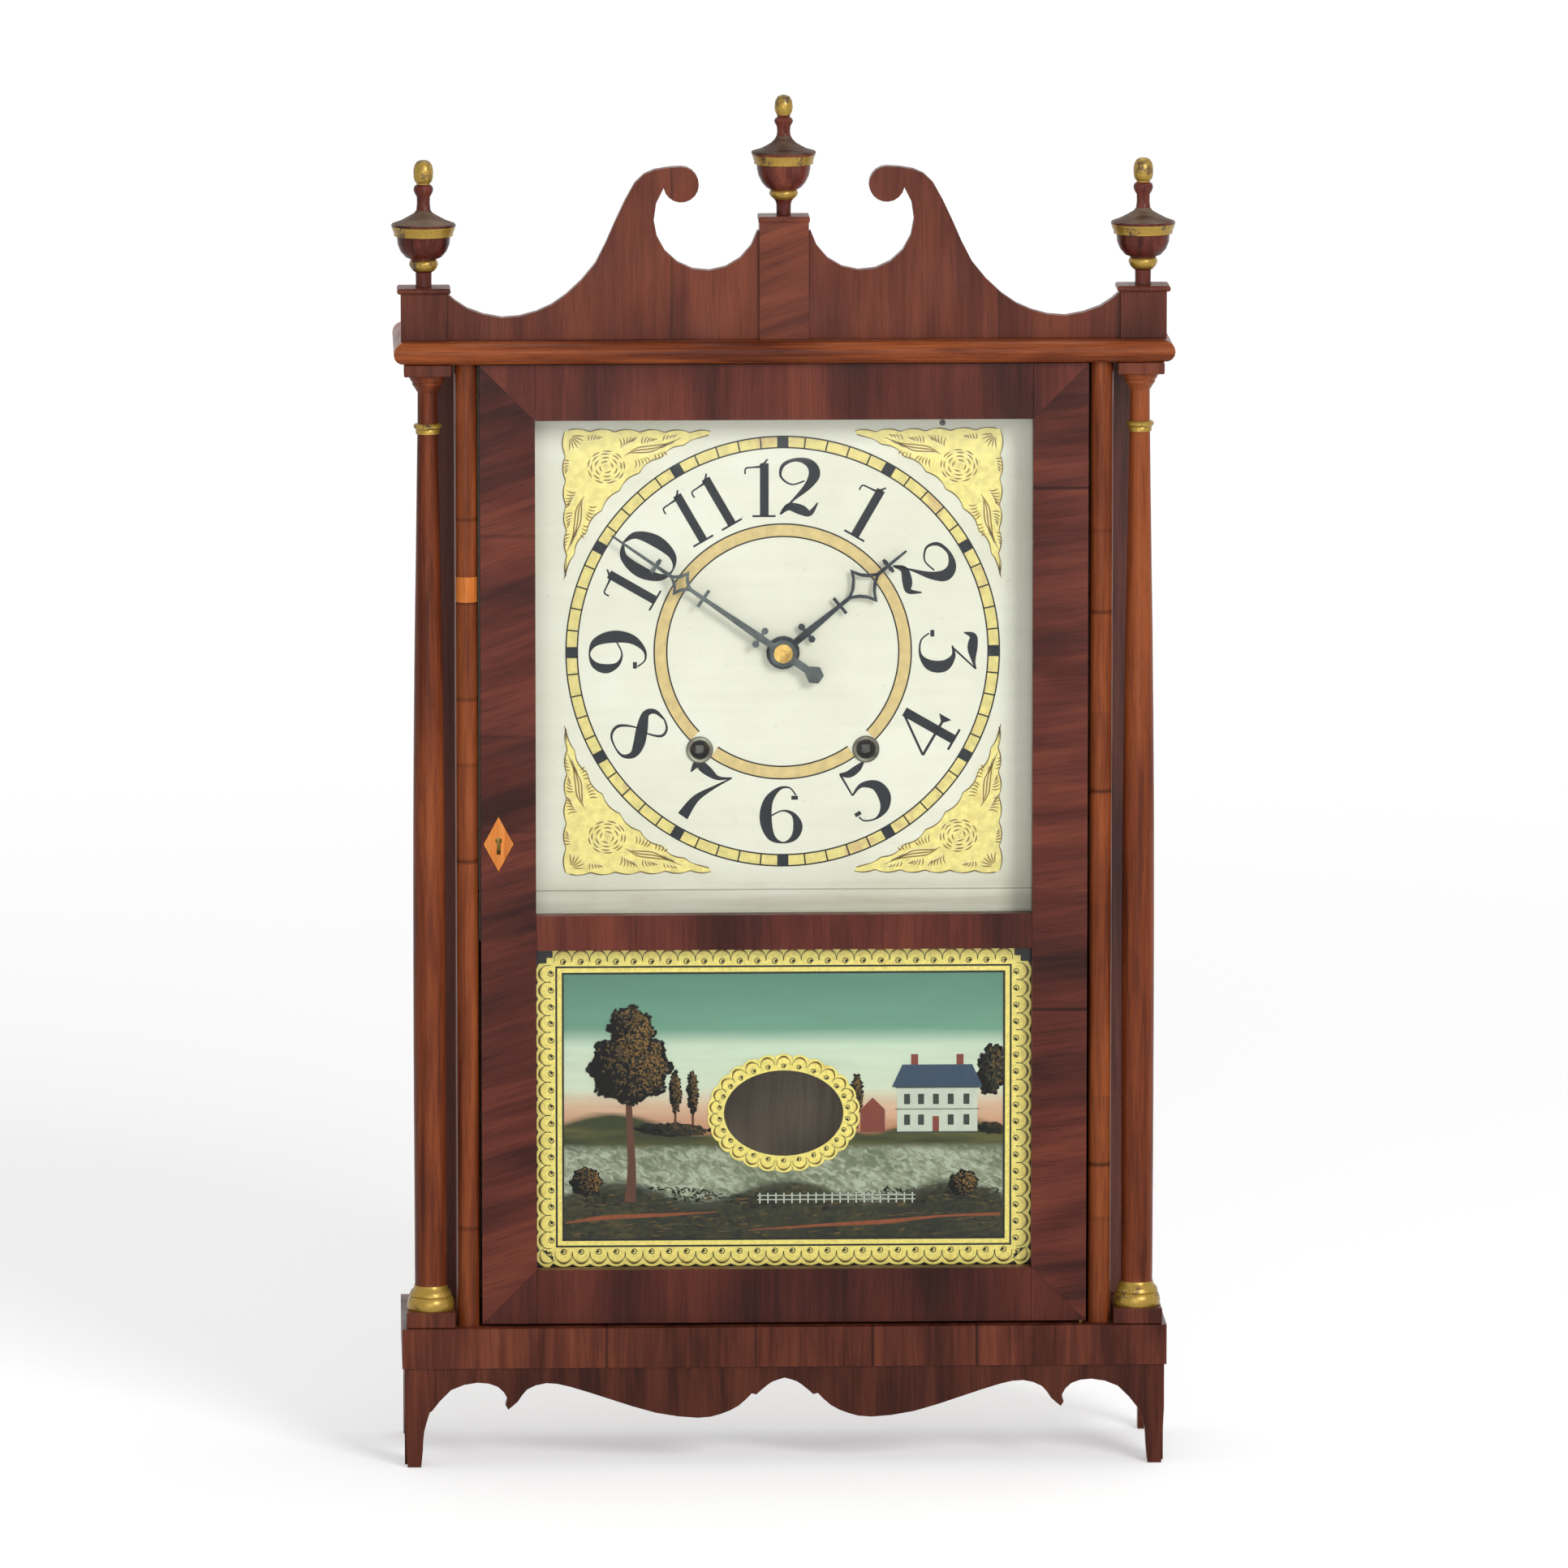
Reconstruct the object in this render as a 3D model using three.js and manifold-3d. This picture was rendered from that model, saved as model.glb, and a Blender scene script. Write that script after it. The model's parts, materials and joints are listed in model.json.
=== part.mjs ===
// Pillar and scroll shelf clock with a weight-driven wooden movement.
// Lengths are in millimetres and angles in degrees. X runs to the right, Z up, and the front faces -Y.
// Depths are measured backwards from the front edge of the base.
import * as THREE from 'three';
import { mergeVertices } from 'three/addons/utils/BufferGeometryUtils.js';
import Module from 'manifold-3d';

const wasm = await Module();
wasm.setup();

// Clearances
const SEAT = 0.2; // between glued or seated pieces
const RUNNING = 0.3; // round a turning or sliding piece
const OVERRUN = 4; // how far a cut runs past the face it opens

// Case
const CASE_BACK = 110.4;
const CORNICE_LIP = 2.6;
const BASE_HALF_WIDTH = 218.8;
const BASE_BOTTOM = 57.5;
const BASE_TOP = 80.5;
const CORNICE_BOTTOM = 635.1;
const CORNICE_TOP = 647.6;
const SIDE_INSET = 31.8; // from the end of the base to a case side
const SIDE_THICKNESS = 12.8;
const SIDE_FRONT = 13;
const BACK_BOARD_THICKNESS = 8.2;
const BACK_BOARD_INSET = 11.8;
const BATTEN_OFFSET = 60;
const BATTEN_WIDTH = 20;
const BATTEN_THICKNESS = 7;

// Skirt and bracket feet
const SKIRT_THICKNESS = 9;
const SKIRT_SETBACK = 1.3;
const FOOT_TAPER = 1.5;
const FOOT_TAPER_HEIGHT = 32;
const SIDE_ARCH_HEIGHT = 49.2;

// Free columns
const COLUMN_INSET = 16.5;
const COLUMN_DEPTH = 15;
const PLINTH_SIZE = 28;
const PLINTH_HEIGHT = 9.2;
const GILT_BASE_RADIUS = 13.5;
const GILT_BASE_HEIGHT = 14;
const SHAFT_RADIUS = 9.3;
const RING_HEIGHT = 6.1;
const RING_RADIUS = 8;
const RING_DROP = 33.6;
const NECK_RADIUS = 5.6;
const CAPITAL_HEIGHT = 9.9;
const CAPITAL_RADIUS = 10.6;
const ABACUS_SIZE = 26.6;
const ABACUS_HEIGHT = 6.8;

// Scroll board, finial plinths and finials
const SCROLL_FRONT = 14;
const SCROLL_THICKNESS = 9;
const SCROLL_INSET = 28;
const SCROLL_HEIGHT = 98.1;
const VOLUTE_RADIUS = 10.1;
const VOLUTE_RUN = 14.3; // from the centre of the eye to that of the volute
const VOLUTE_RISE = 19.3;
const EYE_RADIUS = 29.8;
const EYE_START_ANGLE = -167;
const FINIAL_PLINTH_WIDTH = 26.2;
const FINIAL_PLINTH_DEPTH = 20;
const FINIAL_PLINTH_FRONT = 11;
const SIDE_PLINTH_HEIGHT = 29.8;
const CENTRE_PLINTH_WIDTH = 28;
const CENTRE_PLINTH_HEIGHT = 69.9;
const CAP_HEIGHT = 3.4;
const SIDE_CAP_OVERHANG = 2.1;
const CENTRE_CAP_OVERHANG = 0.6;
const LAP_HEIGHT = 12;
const FINIAL_RADIUS = 18.9;
const SIDE_FINIAL_HEIGHT = 72;
const CENTRE_FINIAL_HEIGHT = 68.5;

// Door, its glasses, hinge pins and lock
const DOOR_GAP = 1.4;
const DOOR_BOTTOM = 82;
const DOOR_TOP = 634.2;
const DOOR_FRONT = 7.6;
const DOOR_THICKNESS = 16;
const STILE_WIDTH = 31.3;
const TOP_RAIL_HEIGHT = 31.9;
const MID_RAIL_BOTTOM = 298.1;
const MID_RAIL_HEIGHT = 20;
const BOTTOM_RAIL_HEIGHT = 31;
const REBATE_WIDTH = 5;
const REBATE_DEPTH = 6.2;
const GLASS_THICKNESS = 2;
const PIN_INSET = 2.8;
const PIN_RADIUS = 1.1;
const PIN_LENGTH = 14;
const PIN_REACH = 4;
const ESCUTCHEON_WIDTH = 17;
const ESCUTCHEON_HEIGHT = 31.6;
const ESCUTCHEON_THICKNESS = 1;
const LOCK_INSET = 10;
const LOCK_CENTRE_Z = 359.7;
const KEYHOLE_RADIUS = 2;
const KEY_SLOT_WIDTH = 2.2;
const KEY_SLOT_LENGTH = 8;
const LOCK_WIDTH = 18;
const LOCK_HEIGHT = 27;
const LOCK_THICKNESS = 6;
const LOCK_WALL = 1.6;
const BOLT_HEIGHT = 11.4;
const BOLT_LENGTH = 11;
const MORTISE_DEPTH = 5;

// Dial and hands
const DIAL_FRONT = 34;
const DIAL_THICKNESS = 8;
const DIAL_BOTTOM = 300;
const DIAL_TOP = 631;
const CENTRE_Z = 466;
const DIAL_HOLE_RADIUS = 6;
const WINDING_HOLE_RADIUS = 6.5;
const HAND_THICKNESS = 1.2;
const MINUTE_HAND_FRONT = 25.4;
const HOUR_HAND_FRONT = 29;
const MINUTE_HAND_ANGLE = 304.9;
const HOUR_HAND_ANGLE = 50.4;
const MINUTE_HAND_LENGTH = 119;
const HOUR_HAND_LENGTH = 91.3;
const MINUTE_BOSS_RADIUS = 7.8;
const HOUR_BOSS_RADIUS = 9.6;
const HAND_ROOT_WIDTH = 2.8;
const HAND_BLADE_WIDTH = 4.2;
const HAND_TIP_WIDTH = 1.1;
const HAND_BALL_RADIUS = 2.1;
const HAND_BALL_SPREAD = 4.6;
const TIP_BALL_RADIUS = 1.5;
const TIP_BALL_SPREAD = 2.3;
const HAND_BAR_LENGTH = 11.4;
const HAND_BAR_WIDTH = 1.8;
const HOUR_STAR_SIZE = 12.2;
const MINUTE_STAR_SIZE = 8.4;
const STAR_STROKE = 1.9;
const TAIL_DISC_RADIUS = 5.4;
const TAIL_REACH = 21.7;
const TAIL_WIDTH = 4.4;

// Movement plates
const FRONT_PLATE_DEPTH = 60;
const FRONT_PLATE_THICKNESS = 6;
const REAR_PLATE_THICKNESS = 5;
const PLATE_HALF_WIDTH = 78;
const PLATE_BOTTOM = 362;
const PLATE_TOP = 548;
const PLATE_CORNER_SIZE = 6;
const PILLAR_RADIUS = 3.5;
const UPPER_PILLAR_X = 58;
const UPPER_PILLAR_Z = 538;
const LOWER_PILLAR_X = 20;
const LOWER_PILLAR_Z = 370;

// Winding: drums, cords, pulleys and weights
const DRUM_X = 47.5;
const DRUM_DROP = 56.4;
const DRUM_FRONT = 70;
const DRUM_LENGTH = 12;
const DRUM_RADIUS = 11.2;
const DRUM_FLANGE_RADIUS = 14;
const DRUM_FLANGE_THICKNESS = 1;
const DRUM_ARBOR_RADIUS = 3.2;
const DRUM_ARBOR_FRONT = 36;
const WINDING_SQUARE_WIDTH = 4.4;
const WINDING_SQUARE_LENGTH = 10;
const CORD_RADIUS = 0.75;
const PULLEY_RADIUS = 11;
const PULLEY_GROOVE_RADIUS = 9;
const PULLEY_THICKNESS = 6;
const PULLEY_SLOT_CLEARANCE = 1.5;
const PULLEY_PIN_RADIUS = 1.5;
const PULLEY_PIN_REACH = 3;
const CORD_TAIL = 6;
const WEIGHT_RADIUS = 22;
const WEIGHT_GAP = 22.25; // between a weight and its case side
const WEIGHT_HEIGHT = 100;
const WEIGHT_SHOULDER = 5;
const WEIGHT_GROUND = 3.5;
const HOOK_HEIGHT = 12;
const HOOK_RADIUS = 2;

// Going train
const GREAT_TEETH = 36;
const GREAT_PINION = 6;
const GREAT_WHEEL_RADIUS = 36;
const GREAT_WHEEL_FRONT = 84;
const GREAT_WHEEL_THICKNESS = 4;
const CENTRE_TEETH = 14;
const CENTRE_WHEEL_RADIUS = 16.8;
const CENTRE_WHEEL_FRONT = 67;
const CENTRE_WHEEL_THICKNESS = 3;
const SECOND_TEETH = 36;
const SECOND_PINION = 6;
const SECOND_WHEEL_RADIUS = 25.74;
const SECOND_WHEEL_FRONT = 78;
const SECOND_WHEEL_THICKNESS = 3;
const THIRD_TEETH = 40;
const THIRD_PINION = 6;
const THIRD_WHEEL_RADIUS = 24.4;
const THIRD_WHEEL_FRONT = 72.5;
const THIRD_WHEEL_THICKNESS = 2.5;
const THIRD_ANGLE = 75;
const ESCAPE_ANGLE = 125;
const ESCAPE_TEETH = 36;
const ESCAPE_RADIUS = 18;
const ESCAPE_TOOTH_DEPTH = 2.6;
const ESCAPE_FRONT = 79;
const ESCAPE_THICKNESS = 2;
const ARBOR_RADIUS = 1.6;
const PIVOT_RADIUS = 1.2;
const PIVOT_REACH = 4;
const PINION_OVERLAP = 0.5;

// Verge, pendulum and its stud
const VERGE_HEIGHT = 28;
const VERGE_HUB_RADIUS = 3.6;
const VERGE_ARM_WIDTH = 3;
const VERGE_THICKNESS = 3;
const PALLET_ANGLE = 40;
const PALLET_CLEARANCE = 2;
const PALLET_DEPTH = 4;
const CRUTCH_LENGTH = 36;
const CRUTCH_RADIUS = 0.6;
const CRUTCH_FRONT = 55.5;
const ROD_DEPTH = 46;
const ROD_RADIUS = 0.8;
const PENDULUM_LENGTH = 285;
const BOB_RADIUS = 17;
const BOB_THICKNESS = 9;
const BOB_NUT_DROP = 24;
const STUD_RADIUS = 2;
const STUD_RISE = 7.6;
const STUD_FRONT = 44;

// Motion work under the dial
const CANNON_TEETH = 12;
const MINUTE_WHEEL_TEETH = 36;
const CANNON_RADIUS = 7.2;
const CANNON_FRONT = 54;
const CANNON_THICKNESS = 3;
const MINUTE_PINION_TEETH = 8;
const HOUR_WHEEL_TEETH = 32;
const HOUR_WHEEL_FRONT = 50;
const HOUR_WHEEL_THICKNESS = 2.5;
const MINUTE_STUD_ANGLE = 200;
const MINUTE_STUD_RADIUS = 1.6;
const CENTRE_ARBOR_RADIUS = 1.5;
const MINUTE_PIPE_RADIUS = 3.2;
const HOUR_PIPE_RADIUS = 4.7;
const COLLET_RADIUS = 5.5;
const COLLET_THICKNESS = 1;
const CENTRE_SQUARE_WIDTH = 3.8;
const CENTRE_SQUARE_LENGTH = 1.6;

// Striking train, hammer and bell
const PIN_WHEEL_TEETH = 36;
const FLY_PINION = 6;
const PIN_WHEEL_RADIUS = 25.74;
const LIFTING_PINS = 6;
const LIFTING_PIN_RADIUS = 0.9;
const LIFTING_PIN_LENGTH = 7;
const LIFTING_PIN_CIRCLE_RADIUS = 20;
const FLY_RADIUS = 15;
const FLY_BLADE_THICKNESS = 1.2;
const FLY_FRONT = 81.6;
const FLY_LENGTH = 8;
const HAMMER_X = -74;
const HAMMER_Z = 452;
const HAMMER_TAIL_LENGTH = 24.5;
const HAMMER_TAIL_THICKNESS = 2.6;
const HAMMER_TAIL_WIDTH = 2.4;
const HAMMER_WIRE_RADIUS = 1;
const HAMMER_HUB_RADIUS = 3;
const HAMMER_HEAD_Z = 106;
const HAMMER_HEAD_RADIUS = 4.5;
const HAMMER_HEAD_LENGTH = 15;
const BELL_DEPTH = 68;
const BELL_RADIUS = 30;
const BELL_RIM_Z = 96;
const BELL_HEIGHT = 26;
const BELL_WALL = 2.6;
const BELL_POST_RADIUS = 3.5;
const BELL_NUT_RADIUS = 6;
const BELL_NUT_HEIGHT = 4;
const STRIKE_GAP = 1.5;

// Outlines. Each share pair is (across, up) as a share of the two sizes that the outline follows.
const centreArchShares = [[0, 0.887], [0.032, 0.849], [0.0556, 0.783], [0.075, 0.718]];
const apronDropShares = [
  [0.087, 0.73], [0.121, 0.607], [0.169, 0.522], [0.229, 0.485], [0.34, 0.539], [0.462, 0.683],
  [0.565, 0.809], [0.628, 0.847], [0.678, 0.784], [0.702, 0.664], [0.728, 0.581],
];
const BRACKET_SHARE = 0.2717; // of the skirt's half width
const bracketShares = [[0.974, 0.63], [0.99, 0.701], [0.9, 0.814], [0.705, 0.856], [0.45, 0.783],
  [0.264, 0.57]];
const footShares = [[0.242, 0.557], [0.186, 0.357], [0.174, 0.177], [0.157, 0]];
const troughShares = [
  [1, 0.267], [0.9165, 0.182], [0.7667, 0.1275], [0.6198, 0.162], [0.4931, 0.259], [0.3664, 0.443],
  [0.2828, 0.681], [0.1979, 0.905], [0.1143, 0.982], [0, 1],
];
const shaftShares = [
  [0, 0.968], [0.3, 1], [0.48, 0.984], [0.615, 0.935], [0.75, 0.849], [0.89, 0.72], [1, 0.63],
];
const giltBaseShares = [[0.963, 0], [1, 0.14], [0.978, 0.36], [0.911, 0.54], [0.87, 0.57], [0.904, 0.6],
  [0.83, 0.79], [0.7, 1]];
const ringShares = [[0.84, 0], [0.84, 0.4], [1, 0.6], [1, 0.82], [0.9, 1]];
const capitalShares = [[0.54, 0], [0.64, 0.2], [0.78, 0.45], [0.82, 0.6], [0.95, 0.74], [1, 1]];
const sideFinialShares = [
  [0.254, 0], [0.249, 0.113], [0.344, 0.131], [0.444, 0.179], [0.402, 0.212], [0.54, 0.246], [0.7, 0.299],
  [0.783, 0.358], [0.81, 0.4], [0.884, 0.414], [0.931, 0.456], [1, 0.485], [0.709, 0.522], [0.481, 0.553],
  [0.286, 0.582], [0.206, 0.62], [0.206, 0.71], [0.29, 0.745], [0.307, 0.775], [0.21, 0.812], [0.29, 0.84],
  [0.307, 0.91], [0.27, 0.964], [0.16, 0.992], [0, 1],
];
const centreFinialShares = [
  [0.222, 0], [0.228, 0.086], [0.333, 0.137], [0.439, 0.18], [0.413, 0.204], [0.582, 0.267], [0.709, 0.321],
  [0.788, 0.384], [0.815, 0.439], [0.894, 0.463], [0.979, 0.502], [1, 0.526], [0.725, 0.549], [0.556, 0.572],
  [0.397, 0.597], [0.217, 0.66], [0.217, 0.737], [0.29, 0.775], [0.25, 0.8], [0.19, 0.82], [0.259, 0.855],
  [0.286, 0.895], [0.254, 0.95], [0.169, 0.988], [0, 1],
];
const bobShares = [[0.25, 1], [0.8, 0.6], [1, 0]];
const bellShares = [[1, 0], [0.96, 0.3], [0.82, 0.66], [0.5, 0.93], [0.12, 1]];
const plinthCapShares = [[0, 0], [0.7, 0.1], [1, 0.4], [0.9, 0.8], [0.5, 1]];

// Places along a hand, as shares of its length
const minuteHandShares = { balls: 0.134, bar: 0.466, star: 0.597, tipBalls: 0.743 };
const hourHandShares = { balls: 0.192, bar: 0.461, star: 0.656, tipBalls: 0.853 };
const STAR_PULL_SHARE = 0.3;
const STAR_RIM_SHARE = 1.7; // of the stroke, measured along an axis of the star
const HAMMER_EYE_SHARE = 0.3; // where the wire enters the hammer's head

// Tooth form, as shares of the angular pitch and of the module
const ROOT_SHARE = 0.3;
const ADDENDUM_SHARE = 0.75;
const DEDENDUM_SHARE = 1.15;
const PINION_ROOT_SHARE = 0.17;
const PINION_TIP_SHARE = 0.08;
const PINION_ADDENDUM_SHARE = 0.6;

// Facets
const ROUND = 16;
const TURNED_ROUND = 14;
const HIDDEN_ROUND = 10;
const BORE_ROUND = 12;
const SMALL_ROUND = 6;
const CORD_SIDES = 6;
const ARC_STEP = 18;
const LEAST_ARC_STEPS = 4;
const HOLE_SEGMENTS = 4;
const HAND_SEGMENTS = 3;
const CORNICE_SEGMENTS = 4;
const CURVE_STEPS = 2;
const WRAP_STEPS = 10;

// Places worked out from the sizes above
const OVERALL_DEPTH = CASE_BACK + CORNICE_LIP;
const CORNICE_HALF_WIDTH = BASE_HALF_WIDTH + CORNICE_LIP;
const SIDE_OUTER = BASE_HALF_WIDTH - SIDE_INSET;
const SIDE_INNER = SIDE_OUTER - SIDE_THICKNESS;
const BACK_BOARD_HALF_WIDTH = BASE_HALF_WIDTH - BACK_BOARD_INSET;
const COLUMN_X = BASE_HALF_WIDTH - COLUMN_INSET;
const SCROLL_HALF_WIDTH = BASE_HALF_WIDTH - SCROLL_INSET;
const SKIRT_HALF_WIDTH = BASE_HALF_WIDTH - SKIRT_SETBACK;
const BRACKET_LENGTH = BRACKET_SHARE * SKIRT_HALF_WIDTH;
const HALF_COLUMN_RADIUS = SIDE_THICKNESS / 2;
const SIDE_MIDDLE = SIDE_INNER + HALF_COLUMN_RADIUS;
const CASE_INSIDE_BACK = CASE_BACK - BACK_BOARD_THICKNESS;
const SKIRT_HEIGHT = BASE_BOTTOM - SEAT;
const FINIAL_PLINTH_X = SCROLL_HALF_WIDTH + SEAT + FINIAL_PLINTH_WIDTH / 2;
const DOOR_BACK = DOOR_FRONT + DOOR_THICKNESS;
const REBATE_FRONT = DOOR_BACK - REBATE_DEPTH;
const DOOR_HALF_WIDTH = SIDE_INNER - DOOR_GAP;
const OPENING_HALF_WIDTH = DOOR_HALF_WIDTH - STILE_WIDTH;
const LOCK_CENTRE_X = LOCK_INSET - DOOR_HALF_WIDTH;
const PIN_X = DOOR_HALF_WIDTH - PIN_INSET;
const PIN_DEPTH = DOOR_FRONT + PIN_INSET;
const DIAL_HALF_WIDTH = SIDE_INNER - RUNNING;
const LOCK_FRONT = DOOR_BACK + SEAT;
const BATTEN_FRONT = CASE_INSIDE_BACK - BATTEN_THICKNESS;
const REAR_PLATE_DEPTH = BATTEN_FRONT - SEAT - REAR_PLATE_THICKNESS;
const DRUM_Z = CENTRE_Z - DRUM_DROP;
const CORD_DEPTH = DRUM_FRONT + DRUM_LENGTH / 2;
const CORD_WOUND_RADIUS = DRUM_RADIUS + CORD_RADIUS + SEAT;
const CORD_PULLEY_RADIUS = PULLEY_GROOVE_RADIUS + CORD_RADIUS + SEAT;
const WEIGHT_X = SIDE_INNER - WEIGHT_GAP - WEIGHT_RADIUS;
const PULLEY_X = WEIGHT_X - CORD_PULLEY_RADIUS;
const PULLEY_Z = (CORNICE_BOTTOM + CORNICE_TOP) / 2;
const WEIGHT_BOTTOM = BASE_TOP + WEIGHT_GROUND;
const HOOK_TOP = WEIGHT_BOTTOM + WEIGHT_HEIGHT + HOOK_HEIGHT;
const CORD_SPLIT_Z = PULLEY_Z - CORD_TAIL;

// Tooth modules, from the pitch radius of the larger wheel of each pair
const GREAT_MODULE = (2 * GREAT_WHEEL_RADIUS) / GREAT_TEETH;
const CENTRE_MODULE = (2 * CENTRE_WHEEL_RADIUS) / CENTRE_TEETH;
const SECOND_MODULE = (2 * SECOND_WHEEL_RADIUS) / SECOND_TEETH;
const THIRD_MODULE = (2 * THIRD_WHEEL_RADIUS) / THIRD_TEETH;
const PIN_WHEEL_MODULE = (2 * PIN_WHEEL_RADIUS) / PIN_WHEEL_TEETH;
const CANNON_MODULE = (2 * CANNON_RADIUS) / CANNON_TEETH;

// Colours
const MAHOGANY = paint(0x5c2a1e, 0.35, 0);
const FIGURED = paint(0x4e1f1a, 0.32, 0);
const PINE = paint(0x8a6a42, 0.8, 0);
const OAK = paint(0x9a7645, 0.7, 0);
const CREAM = paint(0xdfe0d4, 0.5, 0);
const CLEAR = paint(0xd8e4e0, 0.08, 0);
const PAINTED = paint(0x6f8f84, 0.2, 0);
const SATINWOOD = paint(0xc87b3c, 0.4, 0);
const BRASS = paint(0xc19a4b, 0.3, 1);
const STEEL = paint(0x6b7070, 0.35, 1);
const BLACK_IRON = paint(0x2b2d30, 0.5, 1);
const IRON = paint(0x4a4846, 0.6, 1);
const CORD = paint(0xa48f6a, 0.9, 0);

function paint(color, roughness, metalness) {
  return new THREE.MeshStandardMaterial({ color, roughness, metalness });
}

function depth(fromFront) {
  return CORNICE_LIP + fromFront - OVERALL_DEPTH / 2;
}

// Solids

function signedVolume(points, triangles) {
  const corner = (index) => new THREE.Vector3().fromArray(points, triangles[index] * 3);
  let volume = 0;
  for (let i = 0; i < triangles.length; i += 3) {
    volume += corner(i).dot(corner(i + 1).cross(corner(i + 2)));
  }
  return volume;
}

function solid(geometry) {
  const bare = geometry.index ? geometry.toNonIndexed() : geometry.clone();
  bare.deleteAttribute('normal');
  bare.deleteAttribute('uv');
  const merged = mergeVertices(bare);
  const vertProperties = new Float32Array(merged.attributes.position.array);
  const kept = [];
  for (let i = 0; i < merged.index.count; i += 3) {
    const [a, b, c] = [merged.index.getX(i), merged.index.getX(i + 1), merged.index.getX(i + 2)];
    if (a !== b && b !== c && c !== a) kept.push(a, b, c);
  }
  if (signedVolume(vertProperties, kept) < 0) kept.reverse();
  return new wasm.Manifold(new wasm.Mesh({ numProp: 3, vertProperties, triVerts: new Uint32Array(kept) }));
}

function join(...solids) {
  return solids.reduce((whole, next) => whole.add(next));
}

function cut(body, ...tools) {
  return tools.reduce((whole, tool) => whole.subtract(tool), body);
}

function node(name, body, material) {
  const mesh = body.getMesh();
  const geometry = new THREE.BufferGeometry();
  geometry.setAttribute('position', new THREE.BufferAttribute(new Float32Array(mesh.vertProperties), 3));
  geometry.setIndex(new THREE.BufferAttribute(new Uint32Array(mesh.triVerts), 1));
  geometry.computeVertexNormals();
  const piece = new THREE.Mesh(geometry, material);
  piece.name = name;
  return piece;
}

// Box between two corners, with its Y limits given as depths from the front
function block([x0, x1], [d0, d1], [z0, z1]) {
  const geometry = new THREE.BoxGeometry(x1 - x0, d1 - d0, z1 - z0);
  geometry.translate((x0 + x1) / 2, depth((d0 + d1) / 2), (z0 + z1) / 2);
  return solid(geometry);
}

// Outline drawn in X and Z, as seen from the front, and given a thickness backwards
function extruded(shape, front, thickness, curveSegments) {
  const geometry = new THREE.ExtrudeGeometry(shape,
    { depth: thickness, bevelEnabled: false, curveSegments });
  geometry.rotateX(Math.PI / 2);
  geometry.translate(0, depth(front + thickness), 0);
  return solid(geometry);
}

function panel(shape, front, thickness) {
  return extruded(shape, front, thickness, ROUND);
}

// Outline drawn in Y and Z, as seen from the side, and given a thickness in X
function sidePanel(shape, x, thickness) {
  const geometry = new THREE.ExtrudeGeometry(shape,
    { depth: thickness, bevelEnabled: false, curveSegments: ROUND });
  geometry.rotateX(Math.PI / 2);
  geometry.rotateZ(Math.PI / 2);
  geometry.translate(x, 0, 0);
  return solid(geometry);
}

// Outline drawn in X and Y, as seen from above, and given a height
function upright(shape, bottom, height) {
  const geometry = new THREE.ExtrudeGeometry(shape,
    { depth: height, bevelEnabled: false, curveSegments: ROUND });
  geometry.translate(0, 0, bottom);
  return solid(geometry);
}

// Turning on an upright axis, from (radius, height) points that run upwards
function turned(points, x, fromFront, bottom, sides) {
  const profile = points.map(([radius, height]) => new THREE.Vector2(radius, height));
  if (profile[0].x > 0) profile.unshift(new THREE.Vector2(0, profile[0].y));
  if (profile.at(-1).x > 0) profile.push(new THREE.Vector2(0, profile.at(-1).y));
  const geometry = new THREE.LatheGeometry(profile, sides);
  geometry.rotateX(Math.PI / 2);
  geometry.translate(x, depth(fromFront), bottom);
  return solid(geometry);
}

// Turning on an axis that runs backwards, from (radius, depth) points
function spindle(points, x, z, sides) {
  const profile = points.map(([radius, fromFront]) => new THREE.Vector2(radius, depth(fromFront)));
  profile.unshift(new THREE.Vector2(0, profile[0].y));
  profile.push(new THREE.Vector2(0, profile.at(-1).y));
  const geometry = new THREE.LatheGeometry(profile, sides);
  geometry.translate(x, 0, z);
  return solid(geometry);
}

function rod(x, z, radius, front, back, sides) {
  return spindle([[radius, front], [radius, back]], x, z, sides);
}

function post(x, fromFront, radius, bottom, top, sides) {
  return turned([[radius, 0], [radius, top - bottom]], x, fromFront, bottom, sides);
}

// Round bar between any two places
function strut(from, to, radius) {
  const run = to.clone().sub(from);
  const geometry = new THREE.CylinderGeometry(radius, radius, run.length(), SMALL_ROUND);
  geometry.applyQuaternion(new THREE.Quaternion().setFromUnitVectors(new THREE.Vector3(0, 1, 0),
    run.normalize()));
  const middle = from.clone().lerp(to, 0.5);
  geometry.translate(middle.x, middle.y, middle.z);
  return solid(geometry);
}

function scaled(shares, across, up) {
  return shares.map(([a, b]) => new THREE.Vector2(a * across, b * up));
}

function mirrored(points) {
  return points.map((point) => new THREE.Vector2(-point.x, point.y)).reverse();
}

function smooth(points) {
  return new THREE.SplineCurve(points).getPoints((points.length - 1) * CURVE_STEPS);
}

function polygon(points) {
  return new THREE.Shape(points.map(([x, z]) => new THREE.Vector2(x, z)));
}

function disc(x, z, radius) {
  const shape = new THREE.Shape();
  shape.absarc(x, z, radius, 0, 2 * Math.PI, false);
  return shape;
}

function polar(origin, distance, angle) {
  const turn = THREE.MathUtils.degToRad(angle);
  return new THREE.Vector2(origin.x + distance * Math.cos(turn), origin.y + distance * Math.sin(turn));
}

function bearing(from, to) {
  return THREE.MathUtils.radToDeg(Math.atan2(to.y - from.y, to.x - from.x));
}

function bothSides(make) {
  return [['left', -1], ['right', 1]].map(([name, side]) => make(name, side));
}

// Case

function baseBoard() {
  const board = block([-BASE_HALF_WIDTH, BASE_HALF_WIDTH], [0, CASE_BACK], [BASE_BOTTOM, BASE_TOP]);
  return node('base_board', cut(board, hingeSocket(BASE_TOP, -1)), MAHOGANY);
}

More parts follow.
